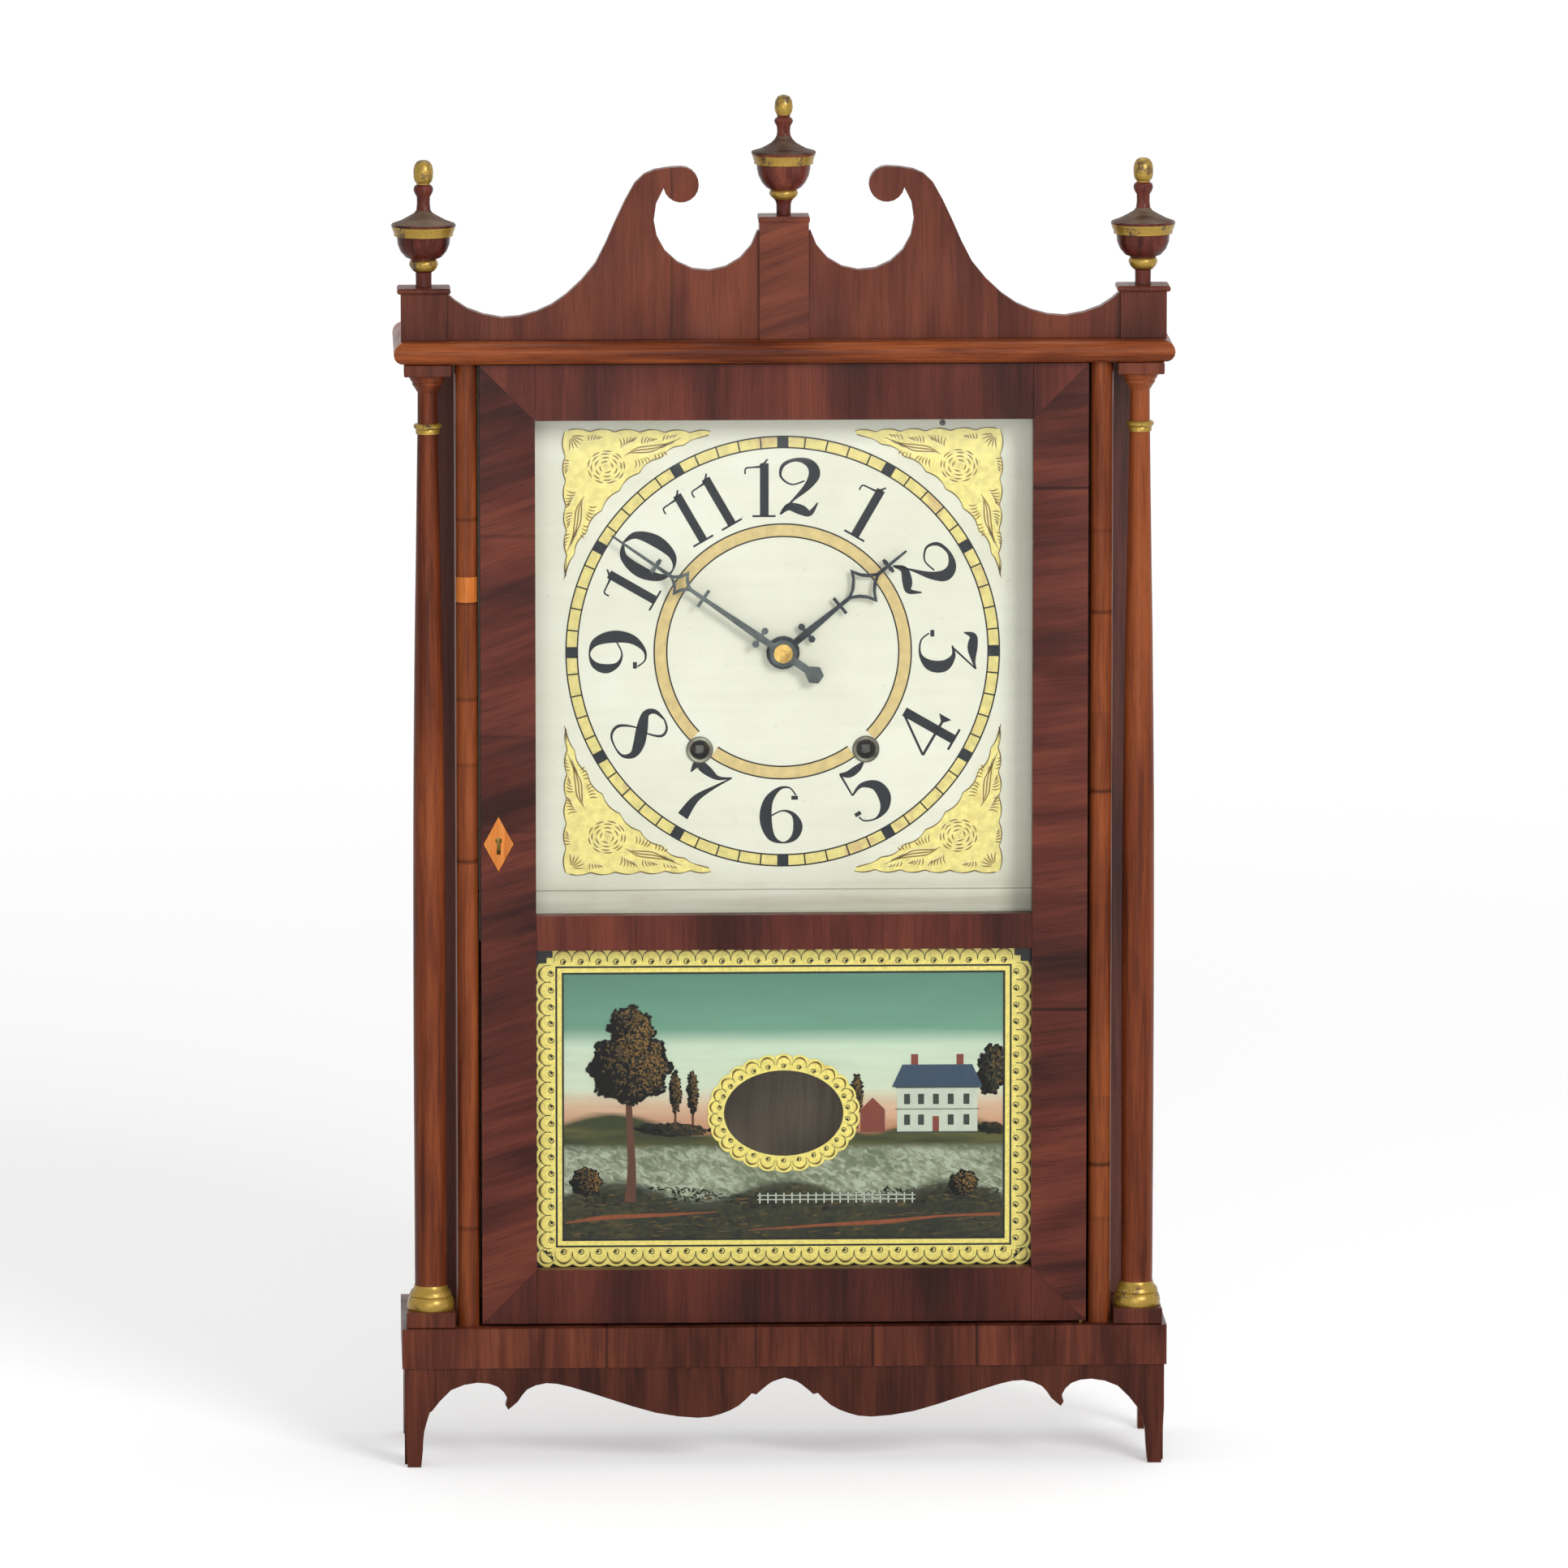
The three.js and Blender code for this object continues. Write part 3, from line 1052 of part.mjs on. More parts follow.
function greatWheel(name, drum, second) {
  const body = wheel(drum, GREAT_TEETH, GREAT_MODULE, bearing(drum, second), GREAT_WHEEL_FRONT,
    GREAT_WHEEL_THICKNESS);
  const bore = rod(drum.x, drum.y, DRUM_ARBOR_RADIUS + RUNNING, GREAT_WHEEL_FRONT - OVERRUN,
    GREAT_WHEEL_FRONT + GREAT_WHEEL_THICKNESS + OVERRUN, BORE_ROUND);
  return node(name, cut(body, bore), OAK);
}

function greatPinion(second, drum) {
  return pinion(second, GREAT_PINION, GREAT_MODULE, bearing(second, drum),
    GREAT_WHEEL_FRONT - PINION_OVERLAP,
    GREAT_WHEEL_THICKNESS + 2 * PINION_OVERLAP);
}

function secondArbor() {
  return node('second_arbor', join(
    fullArbor(SECOND),
    greatPinion(SECOND, DRUM),
    wheel(SECOND, CENTRE_TEETH, CENTRE_MODULE, bearing(SECOND, CENTRE), CENTRE_WHEEL_FRONT,
      CENTRE_WHEEL_THICKNESS),
    wheel(SECOND, SECOND_TEETH, SECOND_MODULE, bearing(SECOND, THIRD), SECOND_WHEEL_FRONT,
      SECOND_WHEEL_THICKNESS),
  ), OAK);
}

function centreArbor() {
  const colletFront = MINUTE_HAND_FRONT - SEAT - COLLET_THICKNESS;
  const shaft = spindle([
    [CENTRE_ARBOR_RADIUS, colletFront], [COLLET_RADIUS, colletFront],
      [COLLET_RADIUS, colletFront + COLLET_THICKNESS],
    [CENTRE_ARBOR_RADIUS, colletFront + COLLET_THICKNESS], [CENTRE_ARBOR_RADIUS, CENTRE_WHEEL_FRONT + SEAT],
    [ARBOR_RADIUS, CENTRE_WHEEL_FRONT + SEAT], [ARBOR_RADIUS, REAR_PLATE_DEPTH - SEAT],
    [PIVOT_RADIUS, REAR_PLATE_DEPTH - SEAT], [PIVOT_RADIUS, REAR_PLATE_DEPTH + PIVOT_REACH],
  ], CENTRE.x, CENTRE.y, BORE_ROUND);
  const square = block([-CENTRE_SQUARE_WIDTH / 2, CENTRE_SQUARE_WIDTH / 2],
    [colletFront - CENTRE_SQUARE_LENGTH, colletFront + COLLET_THICKNESS / 2],
    [CENTRE_Z - CENTRE_SQUARE_WIDTH / 2, CENTRE_Z + CENTRE_SQUARE_WIDTH / 2]);
  const teethTowards = bearing(CENTRE, SECOND) + 180 / CENTRE_TEETH;
  const gear = wheel(CENTRE, CENTRE_TEETH, CENTRE_MODULE, teethTowards, CENTRE_WHEEL_FRONT,
    CENTRE_WHEEL_THICKNESS);
  return node('centre_arbor', join(shaft, square, gear), BRASS);
}

function thirdArbor() {
  return node('third_arbor', join(
    fullArbor(THIRD),
    pinion(THIRD, SECOND_PINION, SECOND_MODULE, bearing(THIRD, SECOND), SECOND_WHEEL_FRONT - PINION_OVERLAP,
      SECOND_WHEEL_THICKNESS + 2 * PINION_OVERLAP),
    wheel(THIRD, THIRD_TEETH, THIRD_MODULE, bearing(THIRD, ESCAPE), THIRD_WHEEL_FRONT,
      THIRD_WHEEL_THICKNESS),
  ), OAK);
}

function escapeArbor() {
  const pitch = 360 / ESCAPE_TEETH;
  const points = [];
  for (let i = 0; i < ESCAPE_TEETH; i += 1) {
    points.push(polar(ESCAPE, ESCAPE_RADIUS - ESCAPE_TOOTH_DEPTH, i * pitch));
    points.push(polar(ESCAPE, ESCAPE_RADIUS, (i + 0.5) * pitch));
  }
  return node('escape_arbor', join(
    fullArbor(ESCAPE),
    pinion(ESCAPE, THIRD_PINION, THIRD_MODULE, bearing(ESCAPE, THIRD), THIRD_WHEEL_FRONT - PINION_OVERLAP,
      THIRD_WHEEL_THICKNESS + 2 * PINION_OVERLAP),
    panel(new THREE.Shape(points), ESCAPE_FRONT, ESCAPE_THICKNESS),
  ), BRASS);
}

// A straight bar between two points of the XZ plane
function bar(from, to, width, front, thickness) {
  const run = to.clone().sub(from).normalize();
  const aside = new THREE.Vector2(-run.y, run.x).multiplyScalar(width / 2);
  const corners = [from.clone().add(aside), from.clone().sub(aside), to.clone().sub(aside),
    to.clone().add(aside)];
  return panel(new THREE.Shape(corners), front, thickness);
}

function verge() {
  const front = ESCAPE_FRONT + ESCAPE_THICKNESS / 2 - VERGE_THICKNESS / 2;
  const tipRadius = ESCAPE_RADIUS + PALLET_CLEARANCE;
  const arms = [-1, 1].flatMap((side) => {
    const tip = polar(ESCAPE, tipRadius, 90 - side * PALLET_ANGLE);
    const heel = polar(ESCAPE, tipRadius + PALLET_DEPTH, 90 - side * PALLET_ANGLE);
    return [bar(VERGE, heel, VERGE_ARM_WIDTH, front, VERGE_THICKNESS),
      bar(heel, tip, VERGE_ARM_WIDTH, front, VERGE_THICKNESS)];
  });
  const foot = VERGE.y - CRUTCH_LENGTH;
  const prong = (side) => rod(VERGE.x + side * (ROD_RADIUS + RUNNING + CRUTCH_RADIUS), foot, CRUTCH_RADIUS,
    ROD_DEPTH - ROD_RADIUS - CRUTCH_RADIUS, CRUTCH_FRONT + CRUTCH_RADIUS, SMALL_ROUND);
  const crossHalf = ROD_RADIUS + RUNNING + CRUTCH_RADIUS * 2;
  return node('verge', join(
    spindle([[PIVOT_RADIUS, CRUTCH_FRONT - CRUTCH_RADIUS], [PIVOT_RADIUS, REAR_PLATE_DEPTH + PIVOT_REACH]],
      VERGE.x, VERGE.y, SMALL_ROUND),
    rod(VERGE.x, VERGE.y, VERGE_HUB_RADIUS, front, front + VERGE_THICKNESS, SMALL_ROUND),
    ...arms,
    post(VERGE.x, CRUTCH_FRONT, CRUTCH_RADIUS, foot, VERGE.y, SMALL_ROUND),
    block([VERGE.x - crossHalf, VERGE.x + crossHalf],
      [CRUTCH_FRONT - CRUTCH_RADIUS, CRUTCH_FRONT + CRUTCH_RADIUS],
      [foot - CRUTCH_RADIUS, foot + CRUTCH_RADIUS]),
    prong(-1),
    prong(1),
  ), STEEL);
}

function pendulum() {
  const bobZ = VERGE.y - PENDULUM_LENGTH;
  const back = bobShares.map(([across, up]) => [across * BOB_RADIUS,
    ROD_DEPTH + (up * BOB_THICKNESS) / 2]).reverse();
  const front = bobShares.map(([across, up]) => [across * BOB_RADIUS, ROD_DEPTH - (up * BOB_THICKNESS) / 2]);
  const top = VERGE.y + STUD_RISE - STUD_RADIUS - RUNNING;
  return node('pendulum', join(
    spindle([...front, ...back.slice(1)], VERGE.x, bobZ, ROUND),
    post(VERGE.x, ROD_DEPTH, ROD_RADIUS, bobZ - BOB_NUT_DROP, top, SMALL_ROUND),
  ), BRASS);
}

// Hands. Distances run along the hand, and the hand is drawn upright before it is turned.
function star(centreZ, size, stroke) {
  const outline = (reach) => {
    const corners = [[0, reach], [reach, 0], [0, -reach], [-reach, 0]];
    const shape = new THREE.Shape();
    shape.moveTo(0, centreZ + reach);
    for (let i = 1; i <= corners.length; i += 1) {
      const [x, z] = corners[i % corners.length];
      const [lastX, lastZ] = corners[i - 1];
      const pullX = (x + lastX) * STAR_PULL_SHARE;
      const pullZ = (z + lastZ) * STAR_PULL_SHARE;
      shape.quadraticCurveTo(pullX, centreZ + pullZ, x, centreZ + z);
    }
    return shape;
  };
  return [outline(size), outline(size - stroke * STAR_RIM_SHARE)];
}

function hand({ front, length, boss, shares, starSize, tail, bore }) {
  const [ballsAt, barAt, starAt, tipBallsAt] = [shares.balls, shares.bar, shares.star, shares.tipBalls]
    .map((share) => share * length);
  const thin = (shape) => extruded(shape, front, HAND_THICKNESS, HAND_SEGMENTS);
  const at = (z) => new THREE.Vector2(0, z);
  const blade = polygon([
    [-HAND_ROOT_WIDTH / 2, 0], [HAND_ROOT_WIDTH / 2, 0], [HAND_BLADE_WIDTH / 2, ballsAt],
    [HAND_TIP_WIDTH, barAt], [HAND_TIP_WIDTH, starAt - starSize + STAR_STROKE],
    [-HAND_TIP_WIDTH, starAt - starSize + STAR_STROKE], [-HAND_TIP_WIDTH, barAt],
      [-HAND_BLADE_WIDTH / 2, ballsAt],
  ]);
  const spear = polygon([
    [-HAND_TIP_WIDTH, starAt + starSize - STAR_STROKE], [HAND_TIP_WIDTH, starAt + starSize - STAR_STROKE],
    [HAND_TIP_WIDTH / 2, length], [-HAND_TIP_WIDTH / 2, length],
  ]);
  const [outer, inner] = star(starAt, starSize, STAR_STROKE);
  const crossBar = (z, reach) => bar(new THREE.Vector2(-reach, z), new THREE.Vector2(reach, z),
    HAND_BAR_WIDTH,
    front, HAND_THICKNESS);
  const pair = (z, spread, radius) => [-1, 1].map((side) => thin(disc(side * spread, z, radius)));
  const pieces = [
    rod(0, 0, boss, front, front + HAND_THICKNESS, ROUND), thin(blade), thin(spear),
    ...pair(ballsAt, HAND_BALL_SPREAD, HAND_BALL_RADIUS),
      ...pair(tipBallsAt, TIP_BALL_SPREAD, TIP_BALL_RADIUS),
    crossBar(ballsAt, HAND_BALL_SPREAD), crossBar(barAt, HAND_BAR_LENGTH / 2),
      crossBar(tipBallsAt, HAND_BALL_SPREAD),
  ];
  if (tail) {
    pieces.push(thin(disc(0, -TAIL_REACH, TAIL_DISC_RADIUS)));
    pieces.push(bar(at(0), at(-TAIL_REACH), TAIL_WIDTH, front, HAND_THICKNESS));
  }
  const tool = rod(0, 0, bore, front - OVERRUN, front + HAND_THICKNESS + OVERRUN, BORE_ROUND);
  return cut(join(...pieces, cut(thin(outer), thin(inner))), tool);
}

function setHand(body, angle) {
  return body.rotate([0, angle, 0]).translate([0, 0, CENTRE_Z]);
}

function minuteHand() {
  const flat = hand({
    front: MINUTE_HAND_FRONT, length: MINUTE_HAND_LENGTH, boss: MINUTE_BOSS_RADIUS, shares: minuteHandShares,
    starSize: MINUTE_STAR_SIZE, tail: true, bore: CENTRE_ARBOR_RADIUS + RUNNING,
  });
  const pipe = spindle([[MINUTE_PIPE_RADIUS, MINUTE_HAND_FRONT + HAND_THICKNESS / 2],
    [MINUTE_PIPE_RADIUS, FRONT_PLATE_DEPTH - RUNNING]], CENTRE.x, CENTRE.y, BORE_ROUND);
  const cannon = pinion(CENTRE, CANNON_TEETH, CANNON_MODULE, bearing(CENTRE, MINUTE_STUD), CANNON_FRONT,
    CANNON_THICKNESS);
  const bore = rod(CENTRE.x, CENTRE.y, CENTRE_ARBOR_RADIUS + RUNNING, MINUTE_HAND_FRONT - OVERRUN,
    FRONT_PLATE_DEPTH + OVERRUN, BORE_ROUND);
  return node('minute_hand', cut(join(setHand(flat, MINUTE_HAND_ANGLE), pipe, cannon), bore), STEEL);
}

function hourHand() {
  const flat = hand({
    front: HOUR_HAND_FRONT, length: HOUR_HAND_LENGTH, boss: HOUR_BOSS_RADIUS, shares: hourHandShares,
    starSize: HOUR_STAR_SIZE, tail: false, bore: HOUR_PIPE_RADIUS + RUNNING,
  });
  return node('hour_hand', setHand(flat, HOUR_HAND_ANGLE), BLACK_IRON);
}

function hourWheel() {
  const towards = bearing(CENTRE, MINUTE_STUD);
  const gear = wheel(CENTRE, HOUR_WHEEL_TEETH, HOUR_MODULE, towards, HOUR_WHEEL_FRONT, HOUR_WHEEL_THICKNESS);
  const pipe = rod(CENTRE.x, CENTRE.y, HOUR_PIPE_RADIUS, HOUR_HAND_FRONT - HAND_THICKNESS / 2,
    HOUR_WHEEL_FRONT + HOUR_WHEEL_THICKNESS, BORE_ROUND);
  const bore = rod(CENTRE.x, CENTRE.y, MINUTE_PIPE_RADIUS + RUNNING, HOUR_HAND_FRONT - OVERRUN,
    HOUR_WHEEL_FRONT + HOUR_WHEEL_THICKNESS + OVERRUN, BORE_ROUND);
  return node('hour_wheel', cut(join(gear, pipe), bore), OAK);
}

function minuteWheel() {
  const back = bearing(MINUTE_STUD, CENTRE);
  const gear = wheel(MINUTE_STUD, MINUTE_WHEEL_TEETH, CANNON_MODULE, back, CANNON_FRONT, CANNON_THICKNESS);
  const leaves = pinion(MINUTE_STUD, MINUTE_PINION_TEETH, HOUR_MODULE, back, HOUR_WHEEL_FRONT,
    CANNON_FRONT - HOUR_WHEEL_FRONT + SEAT);
  const bore = rod(MINUTE_STUD.x, MINUTE_STUD.y, MINUTE_STUD_RADIUS + RUNNING, HOUR_WHEEL_FRONT - OVERRUN,
    CANNON_FRONT + CANNON_THICKNESS + OVERRUN, SMALL_ROUND);
  return node('minute_wheel', cut(join(gear, leaves), bore), OAK);
}

function dialBoard() {
  const board = block([-DIAL_HALF_WIDTH, DIAL_HALF_WIDTH], [DIAL_FRONT, DIAL_FRONT + DIAL_THICKNESS],
    [DIAL_BOTTOM, DIAL_TOP]);
  const hole = (x, z, radius) => rod(x, z, radius, DIAL_FRONT - OVERRUN,
    DIAL_FRONT + DIAL_THICKNESS + OVERRUN, ROUND);
  return node('dial_board', cut(board, hole(0, CENTRE_Z, DIAL_HOLE_RADIUS),
    hole(DRUM_X, DRUM_Z, WINDING_HOLE_RADIUS), hole(-DRUM_X, DRUM_Z, WINDING_HOLE_RADIUS)), CREAM);
}

// Winding

function windingDrum(name, centre) {
  const squareBack = DRUM_ARBOR_FRONT + WINDING_SQUARE_LENGTH;
  const barrelBack = DRUM_FRONT + DRUM_LENGTH;
  const body = spindle([
    [DRUM_ARBOR_RADIUS, squareBack], [DRUM_ARBOR_RADIUS, DRUM_FRONT - DRUM_FLANGE_THICKNESS],
    [DRUM_FLANGE_RADIUS, DRUM_FRONT - DRUM_FLANGE_THICKNESS], [DRUM_FLANGE_RADIUS, DRUM_FRONT],
    [DRUM_RADIUS, DRUM_FRONT], [DRUM_RADIUS, barrelBack],
      [DRUM_ARBOR_RADIUS, barrelBack + DRUM_FLANGE_THICKNESS],
    [DRUM_ARBOR_RADIUS, REAR_PLATE_DEPTH - SEAT], [PIVOT_RADIUS, REAR_PLATE_DEPTH - SEAT],
    [PIVOT_RADIUS, REAR_PLATE_DEPTH + PIVOT_REACH],
  ], centre.x, centre.y, HIDDEN_ROUND);
  const square = block([centre.x - WINDING_SQUARE_WIDTH / 2, centre.x + WINDING_SQUARE_WIDTH / 2],
    [DRUM_ARBOR_FRONT, squareBack + SEAT],
      [centre.y - WINDING_SQUARE_WIDTH / 2, centre.y + WINDING_SQUARE_WIDTH / 2]);
  return node(name, join(body, square), OAK);
}

// Cord from its drum, over its pulley and down to where the weight's own stretch begins
function cordRun(name, side) {
  const drum = new THREE.Vector2(DRUM_X, DRUM_Z);
  const pulley = new THREE.Vector2(PULLEY_X, PULLEY_Z);
  const apart = pulley.clone().sub(drum);
  const lean = Math.acos((CORD_WOUND_RADIUS + CORD_PULLEY_RADIUS) / apart.length()) - Math.atan2(apart.y,
    apart.x);
  const normal = new THREE.Vector2(Math.cos(lean), -Math.sin(lean));
  const point = (centre, reach) => [side * (centre.x + normal.x * reach), centre.y + normal.y * reach];
  const wrap = Array.from({ length: WRAP_STEPS + 1 }, (_, i) => {
    const turn = (Math.PI - lean) * (1 - i / WRAP_STEPS);
    return [side * (pulley.x + CORD_PULLEY_RADIUS * Math.cos(turn)),
      pulley.y + CORD_PULLEY_RADIUS * Math.sin(turn)];
  });
  const route = [point(drum, CORD_WOUND_RADIUS), point(pulley, -CORD_PULLEY_RADIUS), ...wrap.slice(1),
    [side * WEIGHT_X, CORD_SPLIT_Z + SEAT]];
  const corners = route.map(([x, z]) => new THREE.Vector3(x, depth(CORD_DEPTH), z));
  const round = Array.from({ length: CORD_SIDES },
    (_, i) => polar(new THREE.Vector2(), CORD_RADIUS, (i * 360) / CORD_SIDES));
  const section = new THREE.Shape(round);
  return node(name, solid(sweep(section, corners)), CORD);
}

// Section carried along a route in a plane of constant Y, with a ring at each corner
function sweep(section, corners) {
  const ring = section.getPoints();
  const positions = [];
  const rings = corners.map((corner, i) => {
    const before = corners[Math.max(0, i - 1)];
    const after = corners[Math.min(corners.length - 1, i + 1)];
    const run = after.clone().sub(before).normalize();
    const aside = new THREE.Vector3(run.z, 0, -run.x);
    return ring.map((p) => corner.clone().addScaledVector(aside, p.x).add(new THREE.Vector3(0, p.y, 0)));
  });
  const add = (...triple) => triple.forEach((p) => positions.push(p.x, p.y, p.z));
  for (let i = 1; i < rings.length; i += 1) {
    for (let k = 0; k < ring.length; k += 1) {
      const next = (k + 1) % ring.length;
      add(rings[i - 1][k], rings[i - 1][next], rings[i][next]);
      add(rings[i - 1][k], rings[i][next], rings[i][k]);
    }
  }
  for (let k = 1; k < ring.length - 1; k += 1) {
    add(rings[0][0], rings[0][k + 1], rings[0][k]);
    add(rings.at(-1)[0], rings.at(-1)[k], rings.at(-1)[k + 1]);
  }
  const geometry = new THREE.BufferGeometry();
  geometry.setAttribute('position', new THREE.Float32BufferAttribute(positions, 3));
  return geometry;
}

function winding(trade, side, drum) {
  const x = side * WEIGHT_X;
  const half = PULLEY_THICKNESS / 2;
  const pinHalf = half + PULLEY_SLOT_CLEARANCE + PULLEY_PIN_REACH;
  const pulley = spindle([
    [PULLEY_PIN_RADIUS, CORD_DEPTH - pinHalf], [PULLEY_PIN_RADIUS, CORD_DEPTH - half],
    [PULLEY_RADIUS, CORD_DEPTH - half], [PULLEY_RADIUS, CORD_DEPTH - half / 2 - CORD_RADIUS],
    [PULLEY_GROOVE_RADIUS, CORD_DEPTH - CORD_RADIUS], [PULLEY_GROOVE_RADIUS, CORD_DEPTH + CORD_RADIUS],
    [PULLEY_RADIUS, CORD_DEPTH + half / 2 + CORD_RADIUS], [PULLEY_RADIUS, CORD_DEPTH + half],
    [PULLEY_PIN_RADIUS, CORD_DEPTH + half], [PULLEY_PIN_RADIUS, CORD_DEPTH + pinHalf],
  ], side * PULLEY_X, PULLEY_Z, HIDDEN_ROUND);
  const weight = turned([
    [WEIGHT_RADIUS, 0], [WEIGHT_RADIUS, WEIGHT_HEIGHT - WEIGHT_SHOULDER],
      [WEIGHT_RADIUS - WEIGHT_SHOULDER, WEIGHT_HEIGHT],
    [HOOK_RADIUS, WEIGHT_HEIGHT], [HOOK_RADIUS, WEIGHT_HEIGHT + HOOK_HEIGHT],
  ], x, CORD_DEPTH, WEIGHT_BOTTOM, ROUND);
  return [
    windingDrum(`${trade}_drum`, drum),
    node(`${trade}_pulley`, pulley, BRASS),
    node(`${trade}_weight`, weight, IRON),
    cordRun(`${trade}_cord_run`, side),
    node(`${trade}_cord_drop`, post(x, CORD_DEPTH, CORD_RADIUS, HOOK_TOP + SEAT, CORD_SPLIT_Z, SMALL_ROUND),
      CORD),
  ];
}

// Striking

function pinWheelArbor() {
  const pins = Array.from({ length: LIFTING_PINS }, (_, i) => {
    const place = polar(PIN_WHEEL, LIFTING_PIN_CIRCLE_RADIUS, (i * 360) / LIFTING_PINS);
    return rod(place.x, place.y, LIFTING_PIN_RADIUS, SECOND_WHEEL_FRONT - LIFTING_PIN_LENGTH,
      SECOND_WHEEL_FRONT + SEAT, SMALL_ROUND);
  });
  return node('pin_wheel_arbor', join(
    fullArbor(PIN_WHEEL),
    greatPinion(PIN_WHEEL, STRIKE_DRUM),
    wheel(PIN_WHEEL, PIN_WHEEL_TEETH, PIN_WHEEL_MODULE, bearing(PIN_WHEEL, FLY), SECOND_WHEEL_FRONT,
      SECOND_WHEEL_THICKNESS),
    ...pins,
  ), OAK);
}

function flyArbor() {
  return node('fly_arbor', join(
    fullArbor(FLY),
    pinion(FLY, FLY_PINION, PIN_WHEEL_MODULE, bearing(FLY, PIN_WHEEL), SECOND_WHEEL_FRONT - PINION_OVERLAP,
      SECOND_WHEEL_THICKNESS + 2 * PINION_OVERLAP),
    block([FLY.x - FLY_RADIUS, FLY.x + FLY_RADIUS], [FLY_FRONT, FLY_FRONT + FLY_LENGTH],
      [FLY.y - FLY_BLADE_THICKNESS / 2, FLY.y + FLY_BLADE_THICKNESS / 2]),
  ), OAK);
}

function hammer() {
  const tailFront = SECOND_WHEEL_FRONT - LIFTING_PIN_LENGTH + RUNNING;
  const tailEnd = new THREE.Vector2(HAMMER.x + HAMMER_TAIL_LENGTH, HAMMER.y);
  const face = new THREE.Vector3(-(BELL_RADIUS + STRIKE_GAP), depth(BELL_DEPTH), HAMMER_HEAD_Z);
  const back = face.clone().setX(face.x - HAMMER_HEAD_LENGTH);
  const head = back.clone().lerp(face, HAMMER_EYE_SHARE);
  const hubFront = FRONT_PLATE_DEPTH + FRONT_PLATE_THICKNESS + RUNNING;
  return node('hammer', join(
    fullArbor(HAMMER),
    rod(HAMMER.x, HAMMER.y, HAMMER_HUB_RADIUS, hubFront, tailFront + HAMMER_TAIL_THICKNESS, SMALL_ROUND),
    bar(HAMMER, tailEnd, HAMMER_TAIL_WIDTH, tailFront, HAMMER_TAIL_THICKNESS),
    strut(new THREE.Vector3(HAMMER.x, depth(BELL_DEPTH), HAMMER.y), head, HAMMER_WIRE_RADIUS),
    strut(back, face, HAMMER_HEAD_RADIUS),
  ), STEEL);
}

function bell() {
  const outer = bellShares.map(([across, up]) => [across * BELL_RADIUS, up * BELL_HEIGHT]);
  const inner = bellShares.map(([across, up]) => [across * (BELL_RADIUS - BELL_WALL),
    up * (BELL_HEIGHT - BELL_WALL)]);
  const dome = cut(
    turned(outer, 0, BELL_DEPTH, BELL_RIM_Z, TURNED_ROUND),
    turned([[BELL_RADIUS - BELL_WALL, -OVERRUN], ...inner], 0, BELL_DEPTH, BELL_RIM_Z, TURNED_ROUND),
  );
  const crown = BELL_RIM_Z + BELL_HEIGHT;
  return node('bell', join(
    dome,
    post(0, BELL_DEPTH, BELL_POST_RADIUS, BASE_TOP + SEAT, crown, SMALL_ROUND),
    post(0, BELL_DEPTH, BELL_NUT_RADIUS, crown - BELL_WALL / 2, crown + BELL_NUT_HEIGHT, SMALL_ROUND),
  ), IRON);
}

const clock = new THREE.Group();
clock.add(
  baseBoard(), corniceBoard(), ...caseSides(), backBoard(), ...halfColumns(), frontSkirt(), ...sideSkirts(),
  ...columns(), scrollBoard(), ...finialPlinths(), ...finials(),
  ...doorStiles(), ...doorRails(), ...glasses(), escutcheon(), ...lock(), ...hingePins(),
  dialBoard(), minuteHand(), hourHand(), hourWheel(), minuteWheel(),
  ...plates(), greatWheel('time_great_wheel', DRUM, SECOND), secondArbor(), centreArbor(), thirdArbor(),
  escapeArbor(), verge(), pendulum(),
  ...winding('time', 1, DRUM), ...winding('strike', -1, STRIKE_DRUM),
  greatWheel('strike_great_wheel', STRIKE_DRUM, PIN_WHEEL), pinWheelArbor(), flyArbor(), hammer(), bell(),
);

export default clock;
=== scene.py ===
"""Looks of the pillar and scroll shelf clock: woods, gilding, painted dial, painted glass, light and camera.

Lengths are in metres, and in millimetres where a comment says so.
X runs to the right, Z up, and the clock faces -Y.
"""
import json
import math
import random

